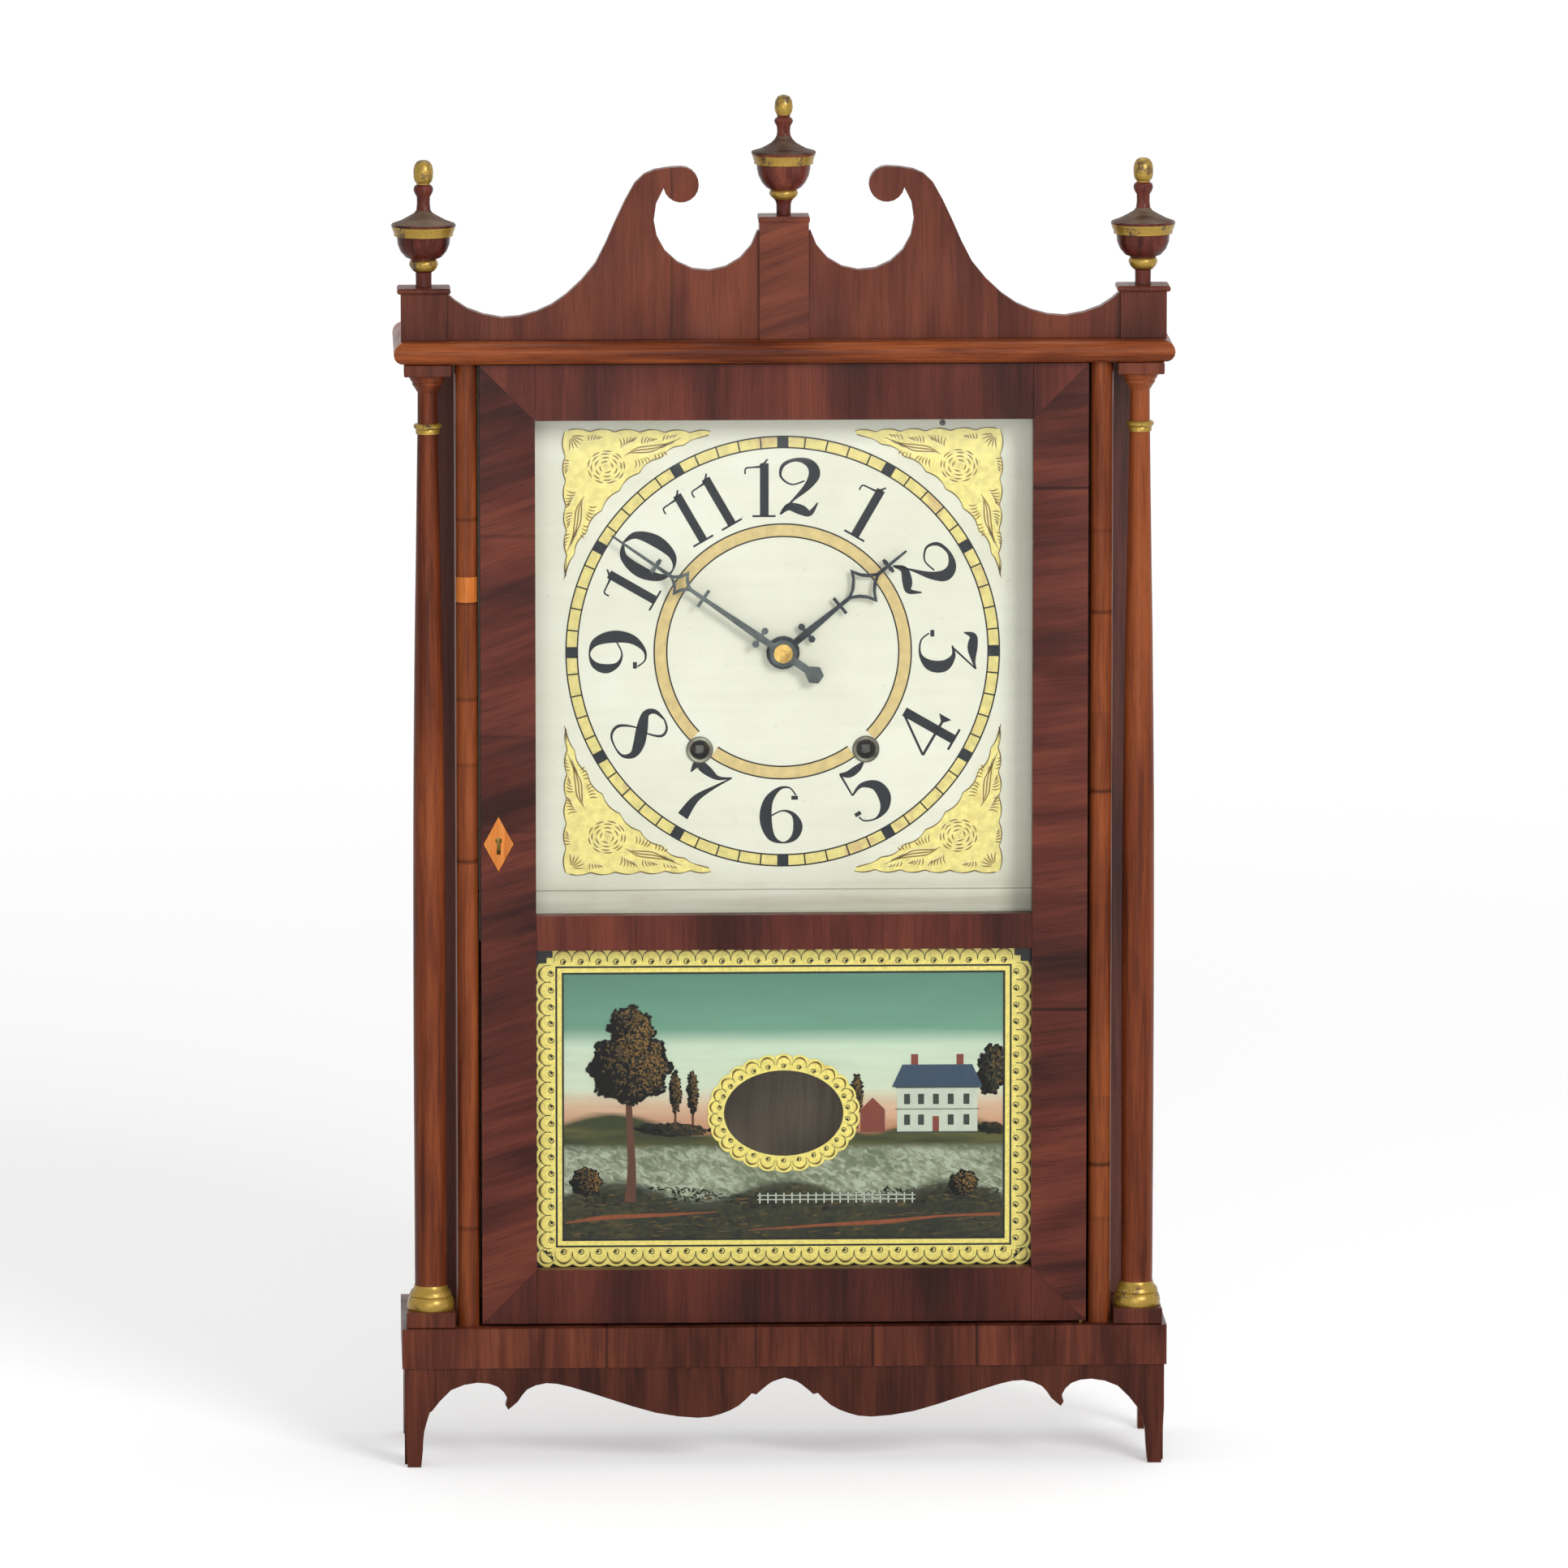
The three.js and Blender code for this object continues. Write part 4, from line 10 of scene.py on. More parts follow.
import bpy
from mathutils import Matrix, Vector


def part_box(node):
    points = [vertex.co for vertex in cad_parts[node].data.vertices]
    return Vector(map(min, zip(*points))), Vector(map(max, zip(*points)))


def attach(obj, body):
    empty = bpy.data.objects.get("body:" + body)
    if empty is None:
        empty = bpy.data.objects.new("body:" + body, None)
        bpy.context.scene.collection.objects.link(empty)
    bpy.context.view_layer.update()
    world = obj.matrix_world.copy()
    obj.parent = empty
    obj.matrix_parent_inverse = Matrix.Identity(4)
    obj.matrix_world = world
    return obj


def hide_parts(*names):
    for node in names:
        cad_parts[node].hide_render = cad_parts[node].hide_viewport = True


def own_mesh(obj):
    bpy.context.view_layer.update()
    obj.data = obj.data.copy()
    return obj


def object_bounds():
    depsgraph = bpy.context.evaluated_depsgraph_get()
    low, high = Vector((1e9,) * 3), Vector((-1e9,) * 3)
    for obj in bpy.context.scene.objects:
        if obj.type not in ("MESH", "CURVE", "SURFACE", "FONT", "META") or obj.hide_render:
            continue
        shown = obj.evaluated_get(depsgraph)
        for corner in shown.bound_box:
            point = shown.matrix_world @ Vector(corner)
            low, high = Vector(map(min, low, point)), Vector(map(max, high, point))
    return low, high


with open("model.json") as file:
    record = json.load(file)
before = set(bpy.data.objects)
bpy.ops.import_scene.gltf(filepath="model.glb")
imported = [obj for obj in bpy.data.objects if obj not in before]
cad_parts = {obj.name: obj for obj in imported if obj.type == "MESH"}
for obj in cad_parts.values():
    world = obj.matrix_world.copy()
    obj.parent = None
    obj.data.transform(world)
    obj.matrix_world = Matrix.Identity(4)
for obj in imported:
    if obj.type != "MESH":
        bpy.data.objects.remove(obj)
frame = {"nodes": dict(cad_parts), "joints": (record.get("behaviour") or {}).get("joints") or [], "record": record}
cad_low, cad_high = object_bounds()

MM = 0.001
SQUARE = ((-1, -1), (1, -1), (1, 1), (-1, 1))

# Camera: far off and a little to the left, so that the uprights stay as parallel as in the photograph.
FRAME_PX = 1932
PX_PER_METRE = 2152
CLOCK_MIDDLE_PX = (963, 952)
CAMERA_DISTANCE = 8.0
CAMERA_ELEVATION = 8.5
CAMERA_AZIMUTH = -2.0
SENSOR_MM = 36.0

# Dial layout, in millimetres from the centre arbor
RING_OUTER, RING_INNER = 123.7, 117.2
HOUR_RING_OUTER, HOUR_RING_INNER = 73.4, 66.2
NUMERAL_BOTTOM, NUMERAL_TOP = 77.6, 110.6
LINE = 0.84
DIGIT_WIDTH, DIGIT_WEIGHT = 1.14, 1.22
FILM = 0.04
FIRST_INWARD_HOUR, LAST_INWARD_HOUR = 4, 8
SPANDREL_X, SPANDREL_Z = 125.5, 128.5
SPANDREL_TIP = 40
SPANDREL_ARC = 131.6
SPANDREL_THICKNESS = 0.35
DIAL_CRACK = 0.3286  # height in metres
NAILS = ((91, 597.2), (89, 313))

# Painted glass layout, in millimetres
BORDER, BORDER_GAP, BORDER_BAR = 11.0, 1.1, 2.6
COAT, THIN_COAT = 0.03, 0.02
SCALLOPS_ACROSS, SCALLOPS_UP = 26, 17
SCALLOP_RADIUS, OVAL_SCALLOP_RADIUS, CORNER_SCALLOP_RADIUS = 5.9, 4.75, 5.4
OVAL_HALF_WIDTH, OVAL_HALF_HEIGHT = 34.2, 24.8
OVAL_Z = 201.3
OVAL_SCALLOPS = 26


# Geometry helpers

def metres(points):
    """Points given in millimetres."""
    return [tuple(v * MM for v in point) for point in points]


def link(name, vertices, faces, materials, body, smooth=False, indices=None):
    """A new piece from plain lists, riding on a body."""
    mesh = bpy.data.meshes.new(name)
    mesh.from_pydata(vertices, [], faces)
    for material in materials:
        mesh.materials.append(material)
    for i, polygon in enumerate(mesh.polygons):
        polygon.use_smooth = smooth
        if indices:
            polygon.material_index = indices[i]
    mesh.update()
    piece = bpy.data.objects.new(name, mesh)
    bpy.context.scene.collection.objects.link(piece)
    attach(piece, body)
    return piece


def spline(points, steps):
    """Catmull-Rom curve through points of any number of values."""
    last = len(points) - 1
    result = []
    for i in range(last):
        a, b, c, d = (points[min(max(i + k - 1, 0), last)] for k in range(4))
        for s in range(steps):
            t = s / steps
            result.append(tuple(
                0.5 * (2 * q + (r - p) * t + (2 * p - 5 * q + 4 * r - w) * t * t
                       + (3 * q - p - 3 * r + w) * t ** 3)
                for p, q, r, w in zip(a, b, c, d)))
    return result + [tuple(points[-1])]


def flat(name, outlines, front, thickness, material, body):
    """Thin plates with outlines in X and Z, whose front faces lie at the given Y."""
    vertices, faces = [], []
    for outline in outlines:
        area = sum(x0 * z1 - x1 * z0 for (x0, z0), (x1, z1) in zip(outline, outline[1:] + outline[:1]))
        ring = list(outline) if area > 0 else list(outline)[::-1]
        start, count = len(vertices), len(ring)
        vertices += [(x, y, z) for y in (front, front + thickness) for x, z in ring]
        faces.append([start + i for i in range(count)])
        faces.append([start + count + i for i in range(count)][::-1])
        for i in range(count):
            k = (i + 1) % count
            faces.append([start + i, start + count + i, start + count + k, start + k])
    return link(name, vertices, faces, [material], body)


def on_dial(name, outlines, proud, thickness, material):
    """Paint or leaf on the dial; proud and thickness are in millimetres."""
    flat(name, outlines, DIAL_FACE - proud * MM, thickness * MM, material, "case")


def on_glass(name, outlines, depth, material, thickness=THIN_COAT):
    """Paint on the back of the glass, at the depth of its coat; thickness is in millimetres."""
    flat(name, outlines, layer(depth), thickness * MM, material, "door")


def stroke(points, steps=6):
    """Outline of a pen stroke from (x, z, width) points."""
    path = spline(points, steps) if len(points) > 2 else list(points)
    left, right = [], []
    for i, (x, z, width) in enumerate(path):
        before, after = path[max(i - 1, 0)], path[min(i + 1, len(path) - 1)]
        run = Vector((after[0] - before[0], after[1] - before[1]))
        run = run.normalized() if run.length else Vector((1, 0))
        left.append((x - run.y * width / 2, z + run.x * width / 2))
        right.append((x + run.y * width / 2, z - run.x * width / 2))
    return left + right[::-1]


def disc(centre, radius, squash=1.0, count=8):
    turns = [2 * math.pi * i / count for i in range(count)]
    return [(centre[0] + radius * math.cos(t), centre[1] + squash * radius * math.sin(t)) for t in turns]


def lathe(name, profile, place, materials, body, bands=None, sides=64, upright=True):
    """Turned piece from (radius, height) points; bands maps a height to a material's index."""
    vertices, faces, indices = [], [], []
    for radius, height in profile:
        for i in range(sides):
            turn = 2 * math.pi * i / sides
            x, y = radius * math.cos(turn), radius * math.sin(turn)
            vertices.append(place + Vector((x, y, height) if upright else (x, height, y)))
    for k in range(len(profile) - 1):
        middle = (profile[k][1] + profile[k + 1][1]) / 2
        for i in range(sides):
            j = (i + 1) % sides
            quad = [k * sides + i, k * sides + j, (k + 1) * sides + j, (k + 1) * sides + i]
            faces.append(quad if upright else quad[::-1])
            indices.append(bands(middle) if bands else 0)
    if profile[0] != profile[-1]:
        way = 1 if upright else -1
        faces.append(list(range(sides))[::-way])
        faces.append([(len(profile) - 1) * sides + i for i in range(sides)][::way])
        indices += [bands(profile[k][1]) if bands else 0 for k in (0, -1)]
    return link(name, vertices, faces, materials, body, smooth=True, indices=indices)


def stand_in(piece, node, angle=40):
    """Puts a turned piece in its solid's place, shaded smooth except over corners sharper than the angle."""
    piece.data.set_sharp_from_angle(angle=math.radians(angle))
    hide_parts(node)


def soften(piece, width):
    """Rounds the sharp edges a little, as polished wood has them."""
    bevel = piece.modifiers.new("worn_edges", "BEVEL")
    bevel.width = width
    bevel.segments = 2
    bevel.limit_method = "ANGLE"
    bevel.angle_limit = math.radians(50)
    bevel.use_clamp_overlap = True


def middle_of(node):
    """Low corner, high corner and middle of a CAD piece."""
    low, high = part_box(node)
    return low, high, Vector([(a + b) / 2 for a, b in zip(low, high)])


# Material helpers

def srgb(*values):
    """Linear colour from red, green and blue between 0 and 255."""
    return tuple(v / 255 / 12.92 if v <= 10 else ((v / 255 + 0.055) / 1.055) ** 2.4 for v in values) + (1,)


def dim(colour, share):
    return tuple(v * share for v in colour[:3]) + (1,)


def darker(tones, share):
    return tuple(dim(tone, share) for tone in tones)


def fill(tree, node, inputs):
    """Gives a node's sockets plain values, or the outputs of other nodes."""
    for socket, value in inputs.items():
        if isinstance(value, bpy.types.NodeSocket):
            tree.links.new(value, node.inputs[socket])
        else:
            node.inputs[socket].default_value = value


def add_node(tree, kind, inputs, **settings):
    made = tree.nodes.new(kind)
    for name, value in settings.items():
        setattr(made, name, value)
    fill(tree, made, inputs)
    return made


class Finish:
    """A node material with a Principled shader and a few short ways to add nodes."""

    def __init__(self, name, roughness=0.5, metallic=0.0):
        self.material = bpy.data.materials.new(name)
        self.material.use_nodes = True
        self.tree = self.material.node_tree
        self.shader = self.tree.nodes["Principled BSDF"]
        self.set("Roughness", roughness)
        self.set("Metallic", metallic)
        self.coordinates = self.add("ShaderNodeTexCoord").outputs["Object"]

    def set(self, socket, value):
        fill(self.tree, self.shader, {socket: value})

    def add(self, kind, inputs=None, **settings):
        return add_node(self.tree, kind, inputs or {}, **settings)

    def show(self, node):
        fill(self.tree, self.tree.nodes["Material Output"], {"Surface": node.outputs["Shader"]})

    def mapped(self, scale=(1, 1, 1), rotation=(0, 0, 0), offset=(0, 0, 0)):
        """Texture space turned first and then squeezed, so that the grain follows the turn."""
        inputs = {"Scale": tuple(1 / v for v in scale), "Rotation": rotation, "Location": offset,
                  "Vector": self.coordinates}
        return self.add("ShaderNodeMapping", inputs, vector_type="TEXTURE").outputs["Vector"]

    def noise(self, vector, scale, detail=4.0, roughness=0.55, distortion=0.0):
        inputs = {"Vector": vector, "Scale": scale, "Detail": detail, "Roughness": roughness,
                  "Distortion": distortion}
        return self.add("ShaderNodeTexNoise", inputs).outputs["Fac"]

    def ramp(self, factor, *stops, smooth=False):
        made = self.add("ShaderNodeValToRGB", {"Fac": factor})
        made.color_ramp.interpolation = "EASE" if smooth else "LINEAR"
        while len(made.color_ramp.elements) < len(stops):
            made.color_ramp.elements.new(0.5)
        for element, (position, colour) in zip(made.color_ramp.elements, stops):
            element.position = position
            element.color = colour if isinstance(colour, tuple) else (colour, colour, colour, 1)
        return made.outputs["Color"]

    def mix(self, factor, first, second, blend="MIX"):
        inputs = {0: factor, 6: first, 7: second}
        return self.add("ShaderNodeMix", inputs, data_type="RGBA", blend_type=blend).outputs[2]

    def shade(self, colour, by):
        return self.mix(1.0, colour, by, "MULTIPLY")

    def math(self, operation, *values):
        return self.add("ShaderNodeMath", dict(enumerate(values)), operation=operation).outputs[0]

    def minus(self, value, other):
        return self.math("SUBTRACT", value, other)

    def axis(self, letter):
        return self.add("ShaderNodeSeparateXYZ", {0: self.coordinates}).outputs[letter]

    def off_middle(self):
        """Distance from the middle of the clock, to either side."""
        return self.math("ABSOLUTE", self.axis("X"))

    def bump(self, height, strength, distance):
        inputs = {"Strength": strength, "Distance": distance, "Height": height}
        self.set("Normal", self.add("ShaderNodeBump", inputs).outputs["Normal"])

    def blend(self, *weighted):
        """A half, plus each texture's distance from a half times its weight."""
        total = 0.5
        for texture, weight in weighted:
            total = self.math("ADD", total, self.math("MULTIPLY", self.minus(texture, 0.5), weight))
        return total

    def figure(self, tones, grain="z", seed=0.0, tilt=0.0, fibres=0.9, bands=1.1, clouds=0.8,
               width=45, bend=0.4):
        """Colour of a cut board or veneer, and its open pores."""
        offset = (seed * 0.31, seed * 0.17, seed * 0.23)

        def along(share):
            return self.mapped(tuple(share if axis == grain else 1 for axis in "xyz"), (0, tilt, 0), offset)
        fine = self.noise(along(0.05), 260, 6, 0.65, 0.1)
        broad = self.noise(along(0.14), width, 2, 0.5, bend)
        cloud = self.noise(along(0.4), 13, 3, 0.5, 0.3)
        tone = self.blend((fine, fibres), (broad, bands), (cloud, clouds))
        colour = self.ramp(tone, *zip((0.26, 0.5, 0.76), tones))
        pores = self.noise(along(0.03), 1700, 2, 0.5)
        return self.shade(colour, self.ramp(pores, (0.55, 1.0), (0.66, 0.7))), pores

    def jointed(self, colour, axis, joints, tones):
        """Gives each glued length its own tone, with a dark line at each joint, in millimetres."""
        low, high = joints[0] - 50, joints[-1] + 50
        reach = high - low
        share = self.math("DIVIDE", self.minus(self.axis(axis), low * MM), reach * MM)
        stops = [(0.0, tones[0])]
        for i, joint in enumerate(joints):
            place, half = (joint - low) / reach, GLUE_LINE / reach
            stops += [(place - half, tones[i]), (place, 0.12), (place + half, tones[i + 1])]
        stops.append((1.0, tones[-1]))
        return self.shade(colour, self.ramp(share, *stops))

    def polish(self, colour, pores, gloss):
        """Shellac over the wood, duller in patches."""
        self.set("Base Color", colour)
        worn = self.noise(self.mapped(), 35, 4)
        self.set("Roughness", self.ramp(worn, (0.3, gloss - 0.06), (0.7, gloss + 0.16)))
        self.set("Specular IOR Level", 0.1)
        self.set("Coat Weight", 0.05)
        self.set("Coat Roughness", 0.2)
        self.bump(pores, 0.25, 0.0002)
        return self.material


# Woods

GLUE_LINE = 0.8


def wood(name, tones, grain="z", seed=0.0, gloss=0.32, joints=None, **figure):
    """Polished wood; joints are (axis letter, places in millimetres, tone of each length between them)."""
    finish = Finish(name, gloss)
    colour, pores = finish.figure(tones, grain, seed, **figure)
    if joints:
        colour = finish.jointed(colour, *joints)
    return finish.polish(colour, pores, gloss)


def patched_column(name, seed, joints, patch=None):
    """Half column made up of lengths, one of them replaced in a pale wood."""
    finish = Finish(name, 0.26)
    colour, pores = finish.figure(HALF_TONES, "z", seed, bands=0.7)
    colour = finish.jointed(colour, *joints)
    if patch:
        up = finish.math("GREATER_THAN", finish.axis("Z"), patch[0] * MM)
        down = finish.math("LESS_THAN", finish.axis("Z"), patch[1] * MM)
        new, _ = finish.figure(PATCH_TONES, "z", seed + 5)
        colour = finish.mix(finish.math("MULTIPLY", up, down), colour, new)
    return finish.polish(colour, pores, 0.26)


def stile_veneer(name, seed, tilt, joints):
    """Cross figure up the stile, mitred at both ends into the upright figure of the rails."""
    finish = Finish(name, 0.34)
    cross, pores = finish.figure(DOOR_TONES, "x", seed, tilt, fibres=0.55, bands=0.8, clouds=1.1,
                                 width=30, bend=1.8)
    cross = finish.jointed(cross, *joints)
    upright, _ = finish.figure(DOOR_TONES, "z", RAIL_SEED, **RAIL_FIGURE)
    out = finish.minus(finish.off_middle(), STILE_EDGE)
    top = finish.minus(finish.minus(finish.axis("Z"), TOP_OPENING), out)
    bottom = finish.minus(finish.minus(RAIL_TOP, finish.axis("Z")), out)
    mitre = finish.math("MULTIPLY_ADD", finish.math("MAXIMUM", top, bottom), 400.0, 0.5)
    colour = finish.mix(finish.ramp(mitre, (0.48, 0.0), (0.52, 1.0)), cross, upright)
    colour = finish.shade(colour, finish.ramp(mitre, (0.38, 1.0), (0.5, 0.42), (0.62, 1.0)))
    return finish.polish(colour, pores, 0.34)


def plain_wood(name, dark, light, seed):
    """Unpolished wood."""
    finish = Finish(name, 0.75)
    middle = tuple((a + b) / 2 for a, b in zip(dark, light))
    colour, pores = finish.figure((dark, middle, light), "z", seed, width=30)
    dirt = finish.noise(finish.mapped(), 18, 5)
    finish.set("Base Color", finish.shade(colour, finish.ramp(dirt, (0.3, 0.72), (0.65, 1.0))))
    finish.bump(pores, 0.35, 0.0004)
    return finish.material


def back_board_wood():
    """Pine that is stained dark on the strips that show outside the case."""
    finish = Finish("back_board_pine", 0.7)
    tones = (srgb(124, 104, 86), srgb(150, 128, 106), srgb(168, 146, 124))
    bare, pores = finish.figure(tones, "z", 1, width=24, bands=0.7)
    stained, _ = finish.figure((srgb(58, 30, 26), srgb(90, 48, 40), srgb(108, 60, 48)), "z", 2, width=24)
    outside = finish.math("GREATER_THAN", finish.off_middle(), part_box("case_side_right")[0].x)
    finish.set("Base Color", finish.mix(outside, bare, stained))
    finish.bump(pores, 0.35, 0.0004)
    return finish.material


def drum_wood():
    """Turned drum with an iron winding square at its front end."""
    finish = Finish("drum_wood", 0.6)
    bare, pores = finish.figure((srgb(112, 82, 50), srgb(142, 108, 68), srgb(164, 128, 84)), "y", 4)
    iron = finish.ramp(finish.noise(finish.mapped(), 300, 4),
                       (0.3, srgb(52, 52, 52)), (0.7, srgb(98, 96, 92)))
    square = finish.math("LESS_THAN", finish.axis("Y"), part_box("movement_front_plate")[0].y + 6 * MM)
    finish.set("Base Color", finish.mix(square, bare, iron))
    finish.set("Metallic", finish.math("MULTIPLY", square, 0.8))
    finish.bump(pores, 0.3, 0.0003)
    return finish.material


# Other materials

def gilding(name, gold, ground, wear, metallic, roughness, rub):
    """Gold leaf rubbed through to its ground in places."""
    finish = Finish(name, roughness)
    vector = finish.mapped()
    patch = finish.noise(vector, rub, 8, 0.68)
    fine = finish.noise(vector, rub * 9, 4, 0.6)
    joined = finish.math("ADD", finish.math("MULTIPLY", patch, 0.75), finish.math("MULTIPLY", fine, 0.25))
    mask = finish.ramp(joined, (wear - 0.03, 0.0), (wear + 0.04, 1.0))
    tone = finish.ramp(fine, (0.3, dim(gold, 0.72)), (0.7, gold))
    finish.set("Base Color", finish.mix(mask, ground, tone))
    finish.set("Metallic", finish.math("MULTIPLY", mask, metallic))
    finish.bump(fine, 0.35, 0.0003)
    return finish.material


def metal(name, colour, roughness, stain=None, metallic=1.0):
    finish = Finish(name, roughness, metallic)
    vector = finish.mapped()
    cloud = finish.noise(vector, 70, 6, 0.62)
    finish.set("Base Color", finish.ramp(cloud, (0.32, stain or dim(colour, 0.45)), (0.6, colour)))
    finish.set("Roughness", finish.ramp(cloud, (0.35, roughness + 0.2), (0.65, roughness)))
    finish.bump(finish.noise(vector, 700, 3), 0.12, 0.0002)
    return finish.material


def paint(name, colour, roughness, variation, scale):
    finish = Finish(name, roughness)
    patch = finish.noise(finish.mapped(), scale, 5, 0.6)
    finish.set("Base Color", finish.ramp(patch, (0.3, dim(colour, 1 - variation)), (0.65, colour)))
    finish.set("Specular IOR Level", 0.15)
    finish.bump(patch, 0.1, 0.0002)
    return finish.material


def clear_glass():
    """Thin window glass that light passes straight through."""
    finish = Finish("window_glass")
    through = finish.add("ShaderNodeBsdfTransparent", {"Color": (0.99, 1, 0.99, 1)})
    ripple = finish.noise(finish.mapped(), 14, 2)
    bump = finish.add("ShaderNodeBump", {"Strength": 0.05, "Distance": 0.001, "Height": ripple})
    gloss = finish.add("ShaderNodeBsdfGlossy", {"Roughness": 0.02, "Normal": bump.outputs["Normal"]})
    share = finish.math("MULTIPLY", finish.add("ShaderNodeFresnel", {"IOR": 1.45}).outputs["Fac"], 0.4)
    inputs = {"Fac": share, 1: through.outputs["BSDF"], 2: gloss.outputs["BSDF"]}
    finish.show(finish.add("ShaderNodeMixShader", inputs))
    finish.tree.nodes.remove(finish.shader)
    return finish.material


STILE_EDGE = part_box("door_stile_right")[0].x
RAIL_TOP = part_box("door_bottom_rail")[1].z
TOP_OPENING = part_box("door_top_rail")[0].z
RAIL_SEED = 3
RAIL_FIGURE = {"fibres": 0.5, "width": 30, "bands": 0.8, "clouds": 1.1}
DOOR_TONES = (srgb(54, 24, 19), srgb(87, 40, 32), srgb(113, 56, 42))
CASE_TONES = (srgb(72, 32, 22), srgb(104, 51, 36), srgb(130, 68, 46))
TURNED_TONES = (srgb(76, 33, 18), srgb(114, 54, 29), srgb(142, 74, 39))
FINIAL_TONES = (srgb(54, 22, 18), srgb(94, 44, 36), srgb(126, 66, 50))
# Paler, greyer, duller wood painted on the upward-facing shoulder of each finial's dome.
PALE_DOME_TONES = (srgb(56, 36, 28), srgb(84, 62, 50), srgb(112, 92, 76))
HALF_TONES = (srgb(86, 37, 18), srgb(126, 62, 31), srgb(158, 84, 43))
PATCH_TONES = (srgb(184, 100, 40), srgb(210, 124, 56), srgb(222, 142, 72))
SATINWOOD_TONES = (srgb(190, 104, 42), srgb(216, 130, 58), srgb(230, 154, 82))

# Glued lengths: axis, joints in millimetres, and the tone of each length
STILE_LEFT_LENGTHS = ("Z", (366.7, 421.5, 536.3), (0.92, 0.84, 1.0, 0.9))
STILE_RIGHT_LENGTHS = ("Z", (262.5, 292.8, 562.8), (1.0, 0.85, 0.95, 0.86))
SCROLL_LENGTHS = ("X", (-64, 122.5), (0.94, 1.0, 0.9))
BASE_LENGTHS = ("X", (-102, -16.5, 50.4, 110), (1.0, 0.84, 0.95, 0.86, 1.0))
SKIRT_LENGTHS = ("X", (-200.6, 200.6), (1.0, 0.8, 1.0))
LEFT_LENGTHS = ("Z", (138, 349.5, 404.8, 442.5, 498.2, 513.6, 545.6),
                (0.84, 0.96, 0.82, 0.94, 0.8, 1.0, 0.92, 0.86))
RIGHT_LENGTHS = ("Z", (140.8, 172.4, 212.4, 323, 388.5, 434.1, 491.7, 538.7),
                 (0.82, 0.92, 0.78, 0.9, 0.98, 0.84, 1.0, 0.88, 0.94))

WOODS = {
    "stile_left": stile_veneer("veneer_left", 1, -0.3, STILE_LEFT_LENGTHS),
    "stile_right": stile_veneer("veneer_right", 2, -0.12, STILE_RIGHT_LENGTHS),
    "rail": wood("veneer_rail", DOOR_TONES, "z", RAIL_SEED, 0.34, **RAIL_FIGURE),
    "low_rail": wood("veneer_low_rail", darker(DOOR_TONES, 0.74), "z", RAIL_SEED, 0.34, fibres=0.5, width=22),
    "scroll": wood("veneer_scroll", CASE_TONES, "z", 4, joints=SCROLL_LENGTHS,
                   fibres=0.5, bands=0.5, clouds=1.2),
    "plinth": wood("veneer_plinth", CASE_TONES, "x", 5, tilt=-0.35, width=30,
                   fibres=0.5, bands=1.0, bend=1.6),
    "base": wood("veneer_base", darker(CASE_TONES, 0.78), "z", 6, joints=BASE_LENGTHS),
    "skirt": wood("wood_skirt", darker(CASE_TONES, 0.62), "z", 7, joints=SKIRT_LENGTHS),
    "cornice": wood("wood_cornice", HALF_TONES, "x", 8, 0.28, fibres=1.1),
    "side": wood("wood_side", darker(CASE_TONES, 0.8), "z", 9),
    "column": wood("wood_column", TURNED_TONES, "z", 10, 0.28, bands=0.8),
    "finial": wood("wood_finial", FINIAL_TONES, "z", 11, 0.2),
    "joint": wood("wood_joint", darker(CASE_TONES, 0.7), "z", 15, 0.4),
    "pale_dome": wood("wood_pale_dome", PALE_DOME_TONES, "x", 13, 0.5),
    "half_left": patched_column("half_column_wood_left", 12, LEFT_LENGTHS, (498.7, 513.1)),
    "half_right": patched_column("half_column_wood_right", 14, RIGHT_LENGTHS),
}
NODES_OF = {
    "stile_left": "door_stile_left", "stile_right": "door_stile_right", "rail": "door_top_rail door_mid_rail",
    "low_rail": "door_bottom_rail", "scroll": "scroll_board finial_plinth_left finial_plinth_right",
    "plinth": "finial_plinth_centre", "base": "base_board", "cornice": "cornice_board",
    "skirt": "front_skirt side_skirt_left side_skirt_right", "side": "case_side_left case_side_right",
    "half_left": "half_column_left", "half_right": "half_column_right", "column": "column_left column_right",
}
OAK = plain_wood("oak_plate", srgb(122, 92, 56), srgb(164, 128, 84), 2)
CHERRY = plain_wood("cherry_wheel", srgb(112, 66, 38), srgb(160, 104, 64), 3)
GILT = gilding("worn_gilding", srgb(170, 137, 54), srgb(74, 50, 22), 0.43, 0.45, 0.3, 90)
BRASS = metal("aged_brass", srgb(206, 170, 96), 0.3, srgb(128, 94, 44))
STEEL = metal("plain_steel", srgb(132, 134, 134), 0.34)
HAND_BLUE = metal("dark_hand", srgb(50, 54, 60), 0.42, srgb(28, 30, 34))
IRON = metal("cast_iron_grey", srgb(84, 82, 78), 0.6)
BUSH = metal("dark_bush", srgb(150, 148, 132), 0.4, srgb(64, 60, 48), 0.7)
CORD = paint("flax_cord", srgb(84, 64, 40), 0.9, 0.3, 500)
GLASS = clear_glass()

